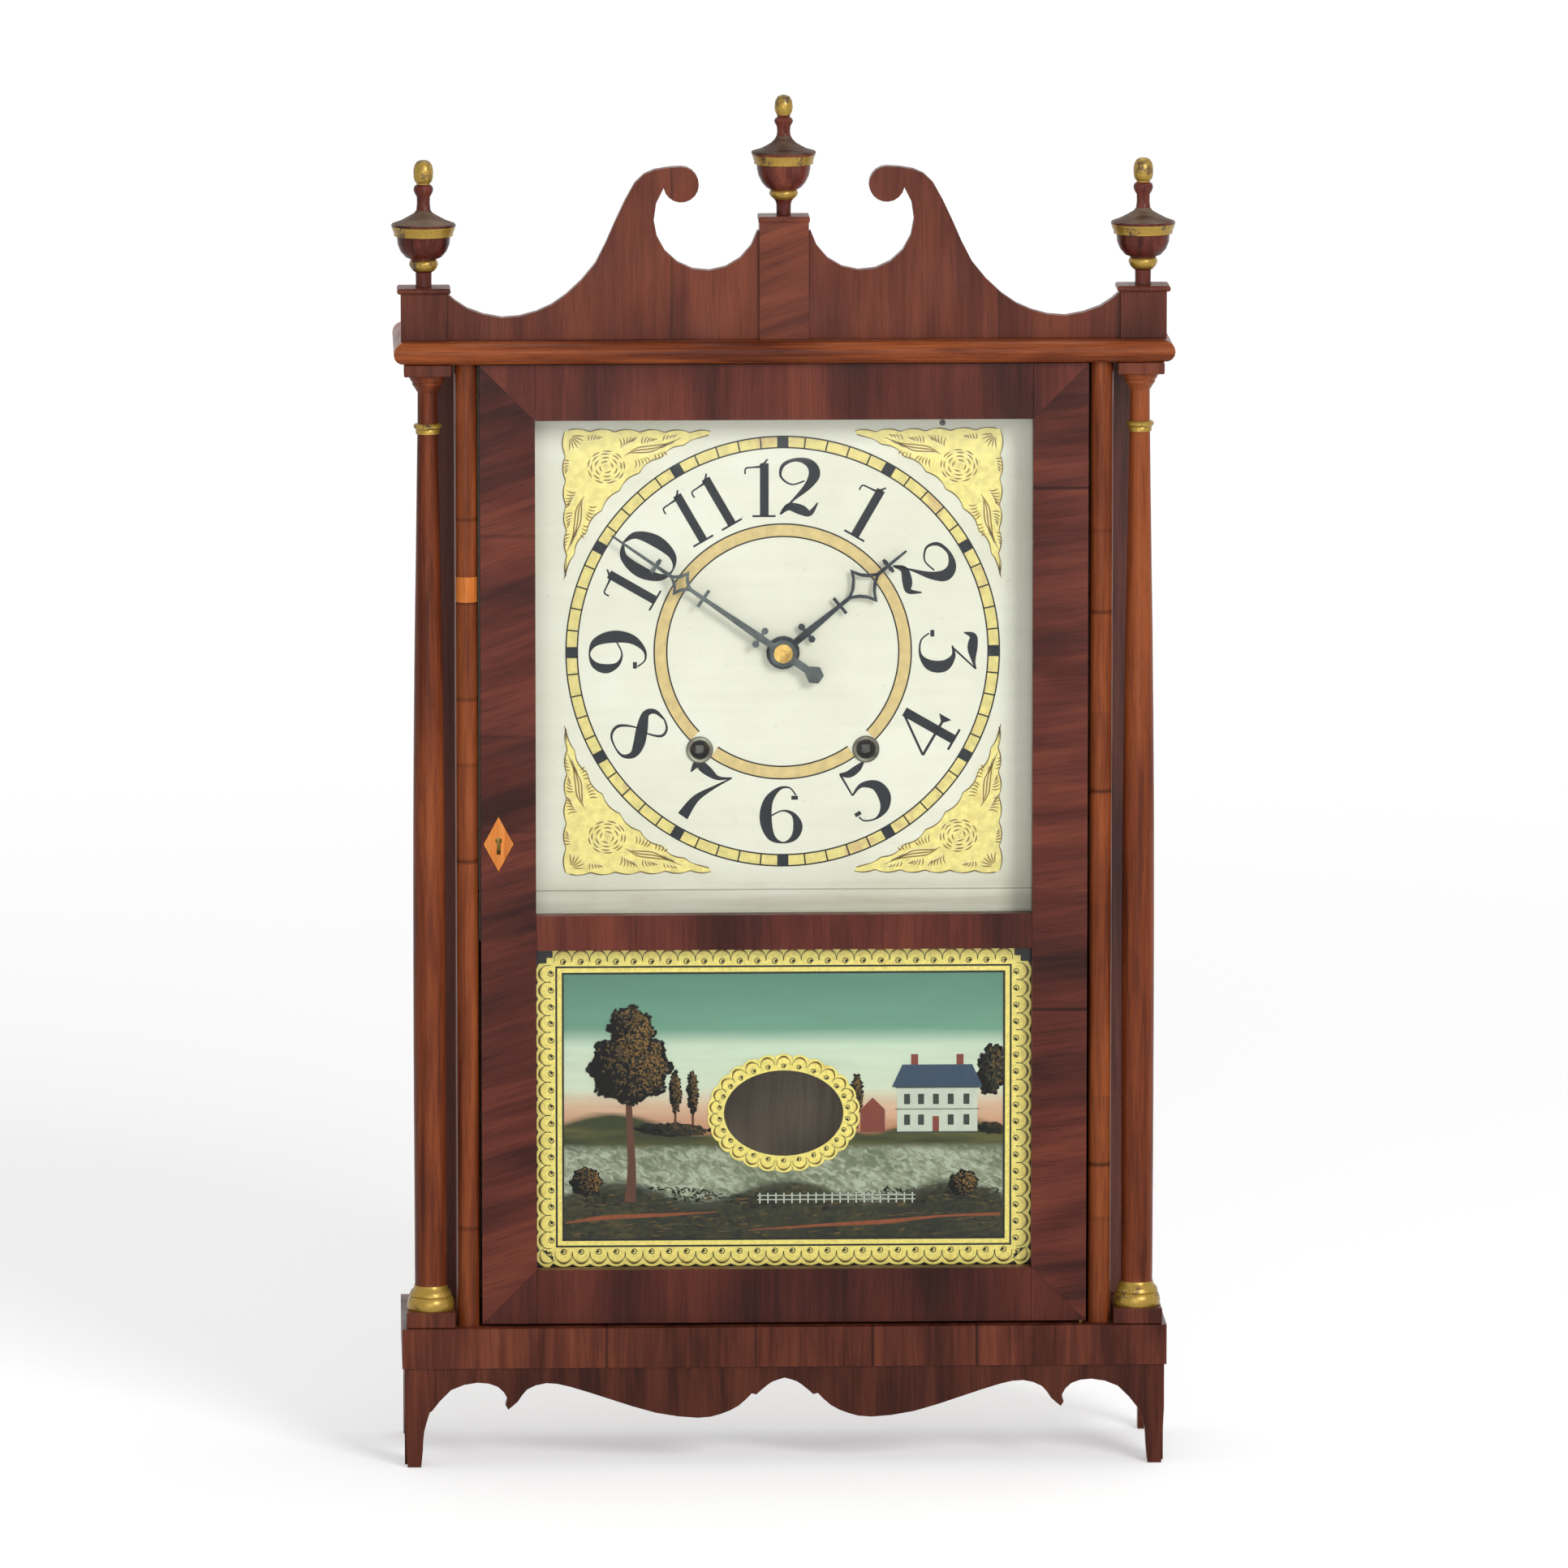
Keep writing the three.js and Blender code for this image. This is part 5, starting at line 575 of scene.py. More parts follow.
BY_NODE = {node: WOODS[kind] for kind, nodes in NODES_OF.items() for node in nodes.split()}
BY_NODE.update({
    "back_board": back_board_wood(), "hour_hand": HAND_BLUE, "dial_glass": GLASS, "tablet_glass": GLASS,
    "minute_hand": metal("grey_hand", srgb(84, 90, 90), 0.42, srgb(54, 58, 60)),
    "keyhole_escutcheon": wood("satinwood_inlay", SATINWOOD_TONES, seed=12, bands=0.6),
    "time_drum": drum_wood(), "strike_drum": drum_wood(),
})
BY_SLOT = {"brass": BRASS, "steel": STEEL, "blued_steel": HAND_BLUE, "oak": OAK, "cherry": CHERRY,
           "cast_iron": IRON, "cord": CORD, "gilt_turning": WOODS["finial"], "window_glass": GLASS}
SLOT_OF = {part["node"]: part["material_slot"] for part in frame["record"]["subparts"]}


# Dial

DIAL_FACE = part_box("dial_board")[0].y
DIAL_X = middle_of("centre_arbor")[2].x
DIAL_Z = next(joint["pos_m"][2] for joint in frame["joints"] if joint["name"] == "minute_turn")

NUMERAL_INK = paint("numeral_ink", srgb(26, 30, 38), 0.6, 0.2, 130)
LINE_INK = paint("line_ink", srgb(28, 26, 26), 0.6, 0.25, 200)
# Painted shade: black for the insides of the winding holes.
HOLE_SHADE = paint("hole_painted_shade", srgb(20, 18, 16), 0.8, 0.4, 200)
LEAF = gilding("dial_gold", srgb(252, 234, 142), srgb(236, 208, 118), 0.36, 0.12, 0.42, 30)
RING_LEAF = gilding("ring_gold", srgb(240, 222, 138), srgb(212, 178, 122), 0.42, 0.1, 0.5, 22)
INNER_LEAF = gilding("inner_ring_gold", srgb(228, 200, 134), srgb(220, 208, 172), 0.36, 0.06, 0.5, 22)
# The spandrels' leaf work gets a painted shade and a painted highlight; their edges get dark outline strokes.
LEAF_SHADE = paint("dial_gold_shade", srgb(160, 124, 52), 0.5, 0.2, 200)
LEAF_EDGE = paint("dial_gold_edge", srgb(112, 88, 48), 0.5, 0.3, 200)
LEAF_HIGHLIGHT = paint("dial_gold_highlight", srgb(250, 240, 180), 0.35, 0.1, 200)

# Numeral strokes in hundredths of the height: (across, up, width); a six turned over makes the nine
GLYPHS = {
    "0": [[(34, 99, 2), (15, 86, 10), (8, 50, 17), (15, 14, 10), (34, 1, 2), (53, 14, 10), (60, 50, 17),
           (53, 86, 10), (34, 99, 2)]],
    "1": [[(2, 74, 2), (3, 84, 2), (14, 86, 2), (26, 88, 3), (36, 100, 2)], [(31, 93, 12), (31, 2, 12)],
          [(13, 1, 2.5), (48, 1, 2.5)]],
    "2": [[(42, 62, 2), (22, 56, 2), (6, 70, 3), (10, 90, 5), (30, 99, 5), (50, 92, 12), (57, 74, 16),
           (46, 52, 10), (24, 28, 3), (5, 5, 2)],
          [(5, 4, 2), (18, 17, 10), (36, 12, 14), (50, 6, 8), (62, 24, 1.5)]],
    "3": [[(6, 78, 1), (12, 94, 10), (30, 93, 14), (50, 95, 5), (62, 99, 2)], [(62, 99, 2), (30, 60, 2.5)],
          [(26, 58, 2), (42, 60, 6), (57, 44, 16), (56, 20, 15), (40, 3, 4), (18, 4, 2), (7, 18, 2)],
          [(7, 20, 9), (7, 27, 9)]],
    "4": [[(46, 100, 13), (46, 2, 13)], [(42, 98, 3), (2, 34, 3)], [(2, 34, 3.5), (60, 34, 3.5)],
          [(60, 34, 3), (70, 34, 20)], [(28, 1, 3), (64, 1, 3)]],
    "5": [[(14, 100, 2), (26, 92, 10), (42, 93, 10), (56, 98, 2)], [(15, 98, 3), (15, 56, 2)],
          [(15, 56, 2), (34, 64, 6), (53, 52, 14), (57, 30, 18), (48, 10, 12), (30, 1, 3), (12, 7, 2),
           (7, 18, 2)],
          [(8, 20, 9), (8, 27, 9)]],
    "6": [[(54, 84, 2), (44, 97, 2), (28, 95, 5), (12, 74, 13), (8, 42, 17), (16, 12, 11), (34, 1, 2),
           (51, 10, 9), (57, 30, 13), (50, 50, 6), (34, 57, 2), (16, 48, 2)],
          [(52, 76, 9), (52, 83, 9)]],
    "7": [[(5, 74, 1), (8, 92, 12), (26, 90, 13), (45, 88, 6), (64, 100, 1.5)],
          [(64, 100, 1.5), (48, 72, 4), (32, 38, 10), (28, 0, 16)]],
    "8": [[(34, 99, 2), (16, 92, 6), (12, 76, 10), (28, 58, 16), (46, 40, 16), (56, 22, 10), (50, 5, 4),
           (33, 1, 2), (14, 6, 3), (7, 24, 4), (20, 47, 2), (40, 62, 2), (53, 80, 3.5), (48, 94, 3),
           (34, 99, 2)]],
}
ADVANCE, ADVANCE_OF_ONE = 0.68, 0.5
NINE_TURN = 0.66


def dial_paint():
    """Off-white paint on wood: brush marks, a crack, grey wear at the bottom, and painted shade along the side
    edges.
    """
    finish = Finish("dial_paint", 0.5)
    finish.set("Specular IOR Level", 0.2)
    grain = finish.noise(finish.mapped((0.05, 1, 1)), 160, 5, 0.6)
    fine = finish.noise(finish.mapped(), 420, 4, 0.6)
    cloud = finish.noise(finish.mapped(), 14, 5, 0.6)
    colour = finish.ramp(cloud, (0.3, srgb(230, 228, 210)), (0.7, srgb(243, 241, 228)))
    colour = finish.shade(colour, finish.ramp(grain, (0.25, 0.95), (0.6, 1.0)))
    colour = finish.mix(finish.ramp(fine, (0.66, 0.0), (0.72, 0.35)), colour, srgb(186, 180, 158))
    wander = finish.math("MULTIPLY_ADD", finish.minus(cloud, 0.5), 0.03, finish.axis("Z"))
    wear = finish.ramp(wander, (0.318, 0.5), (0.336, 0.2), (0.35, 0.0))
    worn = finish.shade(wear, finish.ramp(grain, (0.35, 0.2), (0.6, 1.0)))
    colour = finish.mix(worn, colour, srgb(170, 158, 130))
    # Painted shade: the paint greys towards both side edges, where the door frame shades the recessed dial.
    reach = finish.math("MULTIPLY_ADD", cloud, 0.012, finish.off_middle())
    colour = finish.mix(finish.ramp(reach, (0.138, 0.0), (0.154, 0.2)), colour, srgb(196, 192, 176))
    height = finish.math("MULTIPLY_ADD", finish.minus(grain, 0.5), 0.0012, finish.axis("Z"))
    off = finish.math("ABSOLUTE", finish.minus(height, DIAL_CRACK))
    crack = finish.ramp(finish.math("MULTIPLY", off, 500.0), (0.1, 0.65), (0.25, 0.0))
    finish.set("Base Color", finish.mix(crack, colour, srgb(120, 112, 96)))
    finish.bump(grain, 0.15, 0.0002)
    return finish.material


def numeral_outlines(hour):
    """Outlines of one hour's digits, laid radially round the dial."""
    turn = math.radians(30 * hour)
    inward = FIRST_INWARD_HOUR <= hour <= LAST_INWARD_HOUR
    digits = "6" if hour == 9 else str(hour)
    advances = [(ADVANCE_OF_ONE if digit == "1" else ADVANCE) for digit in digits]
    height = (NUMERAL_TOP - NUMERAL_BOTTOM) * MM
    start = -sum(advances) * DIGIT_WIDTH / 2
    outlines = []
    for digit, advance in zip(digits, advances):
        for line in GLYPHS[digit]:
            points = [(x / 100, z / 100, w / 100) for x, z, w in line]
            if hour == 9:
                points = [(NINE_TURN - x, 1 - z, w) for x, z, w in points]
            pen = [((start + x * DIGIT_WIDTH) * height, z * height, (w * DIGIT_WEIGHT + 0.004) * height)
                   for x, z, w in points]
            placed = []
            for x, z in stroke(pen, 7):
                radial = NUMERAL_TOP * MM - z if inward else NUMERAL_BOTTOM * MM + z
                across = -x if inward else x
                placed.append((DIAL_X + across * math.cos(turn) + radial * math.sin(turn),
                               DIAL_Z - across * math.sin(turn) + radial * math.cos(turn)))
            outlines.append(placed)
        start += advance * DIGIT_WIDTH
    return outlines


def radial_bar(degrees, inner, outer, width):
    """Four corners of a short bar that runs along a radius of the dial."""
    turn = math.radians(degrees)
    along = Vector((math.sin(turn), math.cos(turn)))
    aside = Vector((along.y, -along.x)) * (width * MM) / 2
    centre = Vector((DIAL_X, DIAL_Z))
    ends = ((inner, 1), (outer, 1), (outer, -1), (inner, -1))
    return [tuple(centre + along * radius * MM + aside * side) for radius, side in ends]


def sector(inner, outer, start, end, steps=90):
    """Outline of a part of a ring; angles in degrees run clockwise from twelve."""
    turns = [math.radians(start + (end - start) * i / steps) for i in range(steps + 1)]
    sides = ((outer, turns), (inner, turns[::-1]))
    return [(DIAL_X + radius * MM * math.sin(t), DIAL_Z + radius * MM * math.cos(t))
            for radius, run in sides for t in run]


def dial_rings():
    """Gilt rings with inked edges; the hour ring stops at the winding holes."""
    hole = middle_of("time_drum")[2]
    way, gap = math.degrees(math.atan2(hole.x - DIAL_X, hole.z - DIAL_Z)), 6.0
    whole = ((-180, 0), (0, 180))
    parted = ((-way + gap, way - gap), (way + gap, 360 - way - gap))
    for name, outer, inner, gold, parts in (("minute", RING_OUTER, RING_INNER, RING_LEAF, whole),
                                            ("hour", HOUR_RING_OUTER, HOUR_RING_INNER, INNER_LEAF, parted)):
        on_dial(f"{name}_ring_gold", [sector(inner, outer, *part) for part in parts], FILM, FILM, gold)
        edges = [sector(radius - LINE / 2, radius + LINE / 2, *part)
                 for radius in (inner, outer) for part in parts]
        on_dial(f"{name}_ring_lines", edges, 2 * FILM, FILM, LINE_INK)
    ticks = [radial_bar(6 * i, RING_INNER, RING_OUTER, LINE) for i in range(60) if i % 5]
    blocks = [radial_bar(30 * i, RING_INNER - 0.3, RING_OUTER + 0.3, 6.4) for i in range(12)]
    on_dial("minute_ticks", ticks, 2 * FILM, FILM, LINE_INK)
    on_dial("minute_blocks", blocks, 3 * FILM, FILM, NUMERAL_INK)


def numerals():
    for hour in range(1, 13):
        on_dial(f"numeral_{hour}", numeral_outlines(hour), 1.5 * FILM, FILM, NUMERAL_INK)


def spandrel(name, right, up):
    """Gilt corner with waved edges, an inner edge that follows the minute ring, and embossed leaf work drawn as
    strokes of painted highlight and painted shade.
    """
    def place(points):
        return [(DIAL_X + right * x * MM, DIAL_Z + up * z * MM) for x, z in points]
    reach = SPANDREL_X - SPANDREL_TIP
    side = []
    for i in range(36):
        t = i / 36
        wave = abs(math.sin(math.pi * 6 * t))
        side.append((SPANDREL_X - 1.4 + 1.4 * wave - 1.2 * t, SPANDREL_Z - 1.4 - reach * t))
    top = [(z - SPANDREL_Z + SPANDREL_X, x + SPANDREL_Z - SPANDREL_X) for x, z in side[1:]][::-1]
    low = math.atan2(SPANDREL_Z - 1.4 - reach, SPANDREL_X - 2.6)
    inner = []
    for i in range(49):
        t = i / 48
        turn = low + (math.pi / 2 - 2 * low) * t
        lobe = 1.6 * abs(math.sin(math.pi * 8 * t)) * min(1, 6 * t, 6 * (1 - t))
        inner.append(((SPANDREL_ARC + lobe) * math.cos(turn), (SPANDREL_ARC + lobe) * math.sin(turn)))
    on_dial(f"spandrel_{name}", [place(top + side + inner)], SPANDREL_THICKNESS, SPANDREL_THICKNESS, LEAF)
    edges = [[(x, z, 0.3 + 0.35 * abs(math.sin(k * 0.5))) for k, (x, z) in enumerate(run)]
             for run in (top, side, inner)]
    lines = leaf_lines()
    # Each leaf stroke is drawn twice: as painted shade, and as a painted highlight shifted 0.55 mm towards the
    # dial's middle.
    for label, group, material, shift, proud in (("light", lines, LEAF_HIGHLIGHT, 0.55, 0.38),
                                                 ("shade", lines, LEAF_SHADE, 0.0, 0.4),
                                                 ("edge", edges, LEAF_EDGE, 0.0, 0.42)):
        outlines = [place([(x - shift, z - shift) for x, z in stroke(line, 3)]) for line in group]
        on_dial(f"spandrel_{name}_{label}", outlines, proud, 0.05, material)


def leaf_lines():
    """Leaf work of one corner, as pen strokes in millimetres from the dial centre."""
    lines = []

    def curl(x, z, way, length, bend):
        """One curved stroke that starts towards the given way and turns by bend."""
        steps = []
        for k, width in enumerate((0.3, 0.78, 0.702, 0.3)):
            turn = math.radians(way) + bend * k / 3
            steps.append((x, z, width))
            x, z = x + length / 3 * math.cos(turn), z + length / 3 * math.sin(turn)
        lines.append(steps)

    def spray(start, end, count, way, turn, length, bend):
        """A stem's leaves: one stroke from each point, each turned a little more."""
        for i in range(count):
            x, z = (a + (b - a) * i / (count - 1) for a, b in zip(start, end))
            curl(x, z, way + turn * i, length * (1 - 0.06 * i), bend)
    for radius, count, start in ((10.4, 9, 0), (8.6, 8, 25), (6.2, 6, 5), (3.6, 4, 40)):
        for i in range(count):
            first = math.radians(start + i * 360 / count)
            arc = [first + math.radians(250 / count) * k / 3 for k in range(4)]
            lines.append([(100.5 + radius * math.cos(a), 106.5 + radius * 0.88 * math.sin(a), w)
                          for a, w in zip(arc, (0.3, 0.85, 0.85, 0.3))])
    for i in range(12):
        reach, turn = 0.62 * math.sqrt(i), i * 2.4
        x, z = 100.5 + reach * math.cos(turn), 106.5 + reach * math.sin(turn)
        lines.append([(x, z, 0.4), (x + 0.35, z + 0.2, 0.4)])
    for i in range(6):
        way = 178 + 18 * i
        turn = math.radians(way)
        curl(121.4 + 1.8 * math.cos(turn), 124.4 + 1.8 * math.sin(turn), way, 6.2 + 0.5 * (i % 2), 0.25)
    for flip in (False, True):
        first = len(lines)
        for shift in (0.0, 1.7, 3.4):
            lines.append([(90 - shift, 113 + shift * 0.5, 0.3), (83, 117.4 - shift * 0.8, 0.8),
                          (75, 118.6 - shift, 0.8), (66 + shift, 119.8 - shift * 0.6, 0.7),
                          (58 + 2.4 * shift, 123 - shift * 0.9, 0.3)])
        spray((92, 117.5), (86, 121.5), 6, 95, 12, 5.6, -0.9)
        spray((80, 119.5), (74.5, 121), 5, 80, 14, 4.6, 0.9)
        spray((84, 110.5), (78, 112.2), 5, 250, -10, 4.8, 0.9)
        spray((68, 121.5), (62.5, 123.2), 4, 95, 12, 3.2, 0.8)
        spray((73, 113.8), (68, 115.2), 4, 245, -12, 3.6, 0.9)
        spray((110, 121.5), (105, 122.4), 5, 70, 16, 3.6, 0.8)
        if flip:
            lines[first:] = [[(z, x, w) for x, z, w in line] for line in lines[first:]]
    return lines


BUSH_PROFILE = [(5.4, 20.0), (5.2, -0.6), (5.6, -1.5), (6.3, -1.8), (7.2, -1.5), (7.7, -0.8), (7.7, -0.05),
                (6.35, -0.05), (6.35, 20.0), (5.4, 20.0)]
BUSH_FACE = -0.7


def dial_trim():
    """Open bushes in the winding holes, their inner walls painted black as shade, and the dial's nail heads."""
    def band(height):
        return int(height / MM > BUSH_FACE)
    for name, drum in (("left", "strike_drum"), ("right", "time_drum")):
        middle = middle_of(drum)[2]
        lathe(f"winding_bush_{name}", metres(BUSH_PROFILE), Vector((middle.x, DIAL_FACE, middle.z)),
              [BUSH, HOLE_SHADE], "case", band, 48, upright=False)
    for i, (x, z) in enumerate(NAILS):
        lathe(f"dial_nail_{i + 1}", metres([(0.1, -0.8), (1.1, -0.6), (1.8, 0.0)]),
              Vector((x * MM, DIAL_FACE, z * MM)), [IRON], "case", sides=20, upright=False)


# Painted glass

PAINT_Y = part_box("tablet_glass")[1].y + 0.08 * MM
MID_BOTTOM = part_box("door_mid_rail")[0].z
GLASS_GOLD = gilding("glass_gold", srgb(252, 232, 122), srgb(226, 196, 88), 0.38, 0.12, 0.4, 60)
GLASS_BLACK = paint("glass_black", srgb(22, 22, 22), 0.3, 0.4, 90)
SHADE_GOLD = paint("glass_gold_shade", srgb(186, 152, 62), 0.4, 0.25, 150)
MARK_BROWN = paint("glass_mark", srgb(40, 32, 14), 0.5, 0.3, 150)
LEAVES = {
    "dark": paint("leaf_dark", srgb(34, 33, 20), 0.5, 0.35, 500),
    "brown": paint("leaf_brown", srgb(110, 84, 40), 0.5, 0.3, 500),
    "orange": paint("leaf_orange", srgb(158, 116, 52), 0.5, 0.25, 500),
    "olive": paint("leaf_olive", srgb(64, 62, 32), 0.5, 0.35, 500),
    "path": paint("path_orange", srgb(150, 78, 40), 0.5, 0.4, 300),
    "grass": paint("leaf_grass", srgb(34, 38, 20), 0.5, 0.3, 500),
}
TREE, HEDGE, BANK = ("dark", "brown", "orange"), ("dark", "olive", "brown"), ("grass", "dark", "olive")
TRUNK = paint("trunk_paint", srgb(98, 56, 36), 0.35, 0.3, 200)
WALL_WHITE = paint("house_white", srgb(206, 212, 196), 0.35, 0.1, 200)
ROOF_BLUE = paint("roof_blue", srgb(52, 74, 98), 0.35, 0.2, 200)
BRICK = paint("barn_red", srgb(134, 62, 48), 0.35, 0.2, 250)
WINDOW = paint("window_green", srgb(50, 62, 52), 0.35, 0.2, 250)


def layer(depth):
    """Y of a coat of paint: the first coat lies against the glass and the later ones behind it."""
    return PAINT_Y + depth * 0.05 * MM


def scene_paint():
    """Sky, far shore, river and near ground, brushed in bands."""
    finish = Finish("landscape_paint", 0.35)
    brush = finish.noise(finish.mapped((0.12, 1, 1)), 130, 5, 0.6, 0.3)
    fine = finish.noise(finish.mapped(), 420, 5, 0.65)
    blot = finish.noise(finish.mapped(), 45, 5, 0.65)
    height = finish.math("ADD", finish.axis("Z"), finish.math("MULTIPLY", finish.minus(brush, 0.5), 0.006))
    share = finish.math("DIVIDE", finish.minus(height, RAIL_TOP), MID_BOTTOM - RAIL_TOP)
    sky = finish.ramp(share, (0.42, srgb(198, 136, 104)), (0.5, srgb(222, 186, 156)),
                      (0.56, srgb(216, 226, 202)), (0.69, srgb(206, 222, 200)),
                      (0.74, srgb(116, 162, 140)), (0.9, srgb(98, 144, 124)))
    sky = finish.shade(sky, finish.ramp(brush, (0.3, 0.9), (0.7, 1.04)))
    shore = finish.mix(finish.ramp(brush, (0.4, 0.0), (0.62, 1.0)), srgb(52, 58, 30), srgb(94, 92, 46))
    ripples = finish.noise(finish.mapped((0.55, 1, 1), (0, 0.45, 0)), 330, 3, 0.6, 0.8)
    broad = finish.noise(finish.mapped((0.3, 1, 1)), 80, 2)
    ripples = finish.blend((ripples, 1.0), (broad, 0.5))
    water = finish.ramp(ripples, (0.36, srgb(112, 120, 98)), (0.52, srgb(150, 156, 132)),
                        (0.64, srgb(180, 186, 166)))
    near = finish.ramp(finish.blend((fine, 1.2), (blot, 0.8)), (0.36, srgb(22, 26, 16)),
                       (0.5, srgb(38, 40, 24)), (0.66, srgb(72, 66, 34)))
    inputs = {"Vector": finish.mapped(), "Scale": 3.2, "Distortion": 2.5, "Detail": 2, "Detail Scale": 1.0}
    roll = finish.add("ShaderNodeTexWave", inputs, bands_direction="X").outputs["Fac"]
    line = finish.math("ADD", height, finish.math("MULTIPLY", roll, 0.012))
    colour = finish.mix(finish.ramp(line, (0.160, 0.0), (0.1615, 1.0)), near, water)
    colour = finish.mix(finish.ramp(height, (0.1795, 0.0), (0.1805, 1.0)), colour, shore)
    colour = finish.mix(finish.ramp(line, (0.1995, 0.0), (0.2005, 1.0)), colour, sky)
    finish.set("Base Color", colour)
    finish.set("Specular IOR Level", 0.1)
    return finish.material


def picture_bounds():
    inset = (BORDER + BORDER_GAP + BORDER_BAR + BORDER_GAP) * MM
    return -STILE_EDGE + inset, STILE_EDGE - inset, RAIL_TOP + inset, MID_BOTTOM - inset


def oval_point(turn, grow=0.0):
    return ((OVAL_HALF_WIDTH + grow) * MM * math.cos(turn),
            OVAL_Z * MM + (OVAL_HALF_HEIGHT + grow) * MM * math.sin(turn))


def oval_ring(name, width, depth, material, count=180):
    """Flat ring round the oval window."""
    vertices, faces = [], []
    front, back = layer(depth), layer(depth) + COAT * MM
    for grow, y in ((width, front), (0, front), (0, back), (width, back)):
        for i in range(count):
            x, z = oval_point(2 * math.pi * i / count, grow)
            vertices.append((x, y, z))
    for k in range(4):
        for i in range(count):
            j, after = (i + 1) % count, (k + 1) % 4 * count
            faces.append([k * count + i, after + i, after + j, k * count + j])
    link(name, vertices, faces, [material], "door")


def pierced_sheet(name, y, thickness, material):
    """The picture's rectangle with the oval window cut out of it."""
    x0, x1, z0, z1 = picture_bounds()
    centre_z = OVAL_Z * MM
    turns = [2 * math.pi * i / 96 for i in range(96)]
    turns += [math.atan2(z - centre_z, x) % (2 * math.pi) for x in (x0, x1) for z in (z0, z1)]
    turns = sorted(turns)
    count = len(turns)
    vertices, faces = [], []
    for depth in (y, y + thickness):
        for turn in turns:
            x, z = oval_point(turn)
            vertices.append((x, depth, z))
        for turn in turns:
            run = Vector((math.cos(turn), math.sin(turn)))
            reach = min((x1 if run.x > 0 else -x0) / max(abs(run.x), 1e-6),
                        ((z1 - centre_z) if run.y > 0 else (centre_z - z0)) / max(abs(run.y), 1e-6))
            vertices.append((run.x * reach, depth, centre_z + run.y * reach))
    for i in range(count):
        k = (i + 1) % count
        faces.append([i, count + i, count + k, k][::-1])
        faces.append([2 * count + i, 3 * count + i, 3 * count + k, 2 * count + k])
    link(name, vertices, faces, [material], "door")


def scallop(centre, radius, turn):
    """Lobe, shading and inked lines of one scallop that faces the given way."""
    def spin(points):
        return [(centre[0] + radius * (x * math.cos(turn) - z * math.sin(turn)),
                 centre[1] + radius * (x * math.sin(turn) + z * math.cos(turn))) for x, z in points]

    def pen(points):
        return spin(stroke(points, 3))
    cap = [(i / 5, 1 - 0.34 * (i / 5) ** 2) for i in range(5, -6, -1)]
    shade = [(0.56 * math.cos(a), 0.16 + 0.42 * math.sin(a), w)
             for a, w in ((0.2, 0.03), (0.9, 0.1), (1.57, 0.15), (2.24, 0.1), (2.94, 0.03))]
    arc = [(-0.84, -0.45, 0.05), (-0.78, 0.1, 0.07), (-0.42, 0.56, 0.1), (0.0, 0.7, 0.14), (0.42, 0.56, 0.1),
           (0.78, 0.1, 0.07), (0.84, -0.45, 0.05)]
    eye = [(0.3 * math.cos(0.9 * i) * (1 - 0.05 * i), -0.5 + 0.3 * math.sin(0.9 * i) * (1 - 0.05 * i), 0.085)
           for i in range(9)]
    lobe = spin([(-1.0, -0.2), (1.0, -0.2)] + cap)
    return lobe, [pen(shade)], [pen(arc), pen(eye), spin(disc((0.05, -0.5), 0.12))]


def scalloped_border():
    """Gilt scallops round the picture and the oval window, over a black ground and a gilt bar."""
    half, low, high = STILE_EDGE, RAIL_TOP, MID_BOTTOM
    inset, corner, tip = 5.7 * MM, 10.4 * MM, 5.5 * MM

    def spread(start, end, count):
        return [start + (end - start) * (i + 0.5) / count for i in range(count)]
    places = []
    for z, turn in ((high - inset, 0.0), (low + inset, math.pi)):
        across = spread(-half + corner, half - corner, SCALLOPS_ACROSS)
        places += [((x, z), turn, SCALLOP_RADIUS) for x in across]
    for x, turn in ((half - inset, -math.pi / 2), (-half + inset, math.pi / 2)):
        places += [((x, z), turn, SCALLOP_RADIUS) for z in spread(low + corner, high - corner, SCALLOPS_UP)]
    for turn in spread(0, 2 * math.pi, OVAL_SCALLOPS):
        places.append((oval_point(turn, 4.9), turn - math.pi / 2, OVAL_SCALLOP_RADIUS))
    for sign in (-1, 1):
        places.append(((sign * (half - tip), low + tip), math.pi + sign * math.pi / 4, CORNER_SCALLOP_RADIUS))
    lobes, shades, marks = [], [], []
    for place, turn, radius in places:
        lobe, soft, sharp = scallop(place, radius * MM, turn)
        lobes.append(lobe)
        shades += soft
        marks += sharp
    on_glass("scallop_corner_lobes", lobes[-2:], 0.7, GLASS_GOLD, 0.01)
    on_glass("scallop_marks", marks, -1, MARK_BROWN, COAT)
    on_glass("scallop_shades", shades, 0, SHADE_GOLD, COAT)
    for k in range(2):
        on_glass(f"scallop_lobes_{k + 1}", lobes[:-2][k::2], 1 + k, GLASS_GOLD, COAT)
    bar = BORDER + BORDER_GAP
    frame_bar("border_back", BORDER * 0.55, BORDER, 3, GLASS_GOLD)
    frame_bar("border_ground", 0, BORDER, 4, GLASS_BLACK)
    frame_bar("border_line", BORDER, bar, 1, GLASS_BLACK)
    frame_bar("border_bar", bar, bar + BORDER_BAR, 1, GLASS_GOLD)
    frame_bar("border_inner_line", bar + BORDER_BAR, bar + BORDER_GAP + BORDER_BAR, 1, GLASS_BLACK)
    oval_ring("oval_gold", 5, 4, GLASS_GOLD)


def frame_bar(name, outer, inner, depth, material):
    """Rectangular frame between two insets from the opening, in millimetres."""
    x0, x1, z0, z1 = -STILE_EDGE, STILE_EDGE, RAIL_TOP, MID_BOTTOM
    a, b = outer * MM, inner * MM
    bars = [[(x0 + a, lower), (x1 - a, lower), (x1 - a, upper), (x0 + a, upper)]
            for lower, upper in ((z0 + a, z0 + b), (z1 - b, z1 - a))]
    bars += [[(left, z0 + b), (right, z0 + b), (right, z1 - b), (left, z1 - b)]
             for left, right in ((x0 + a, x0 + b), (x1 - b, x1 - a))]
    on_glass(name, bars, depth, material, COAT)


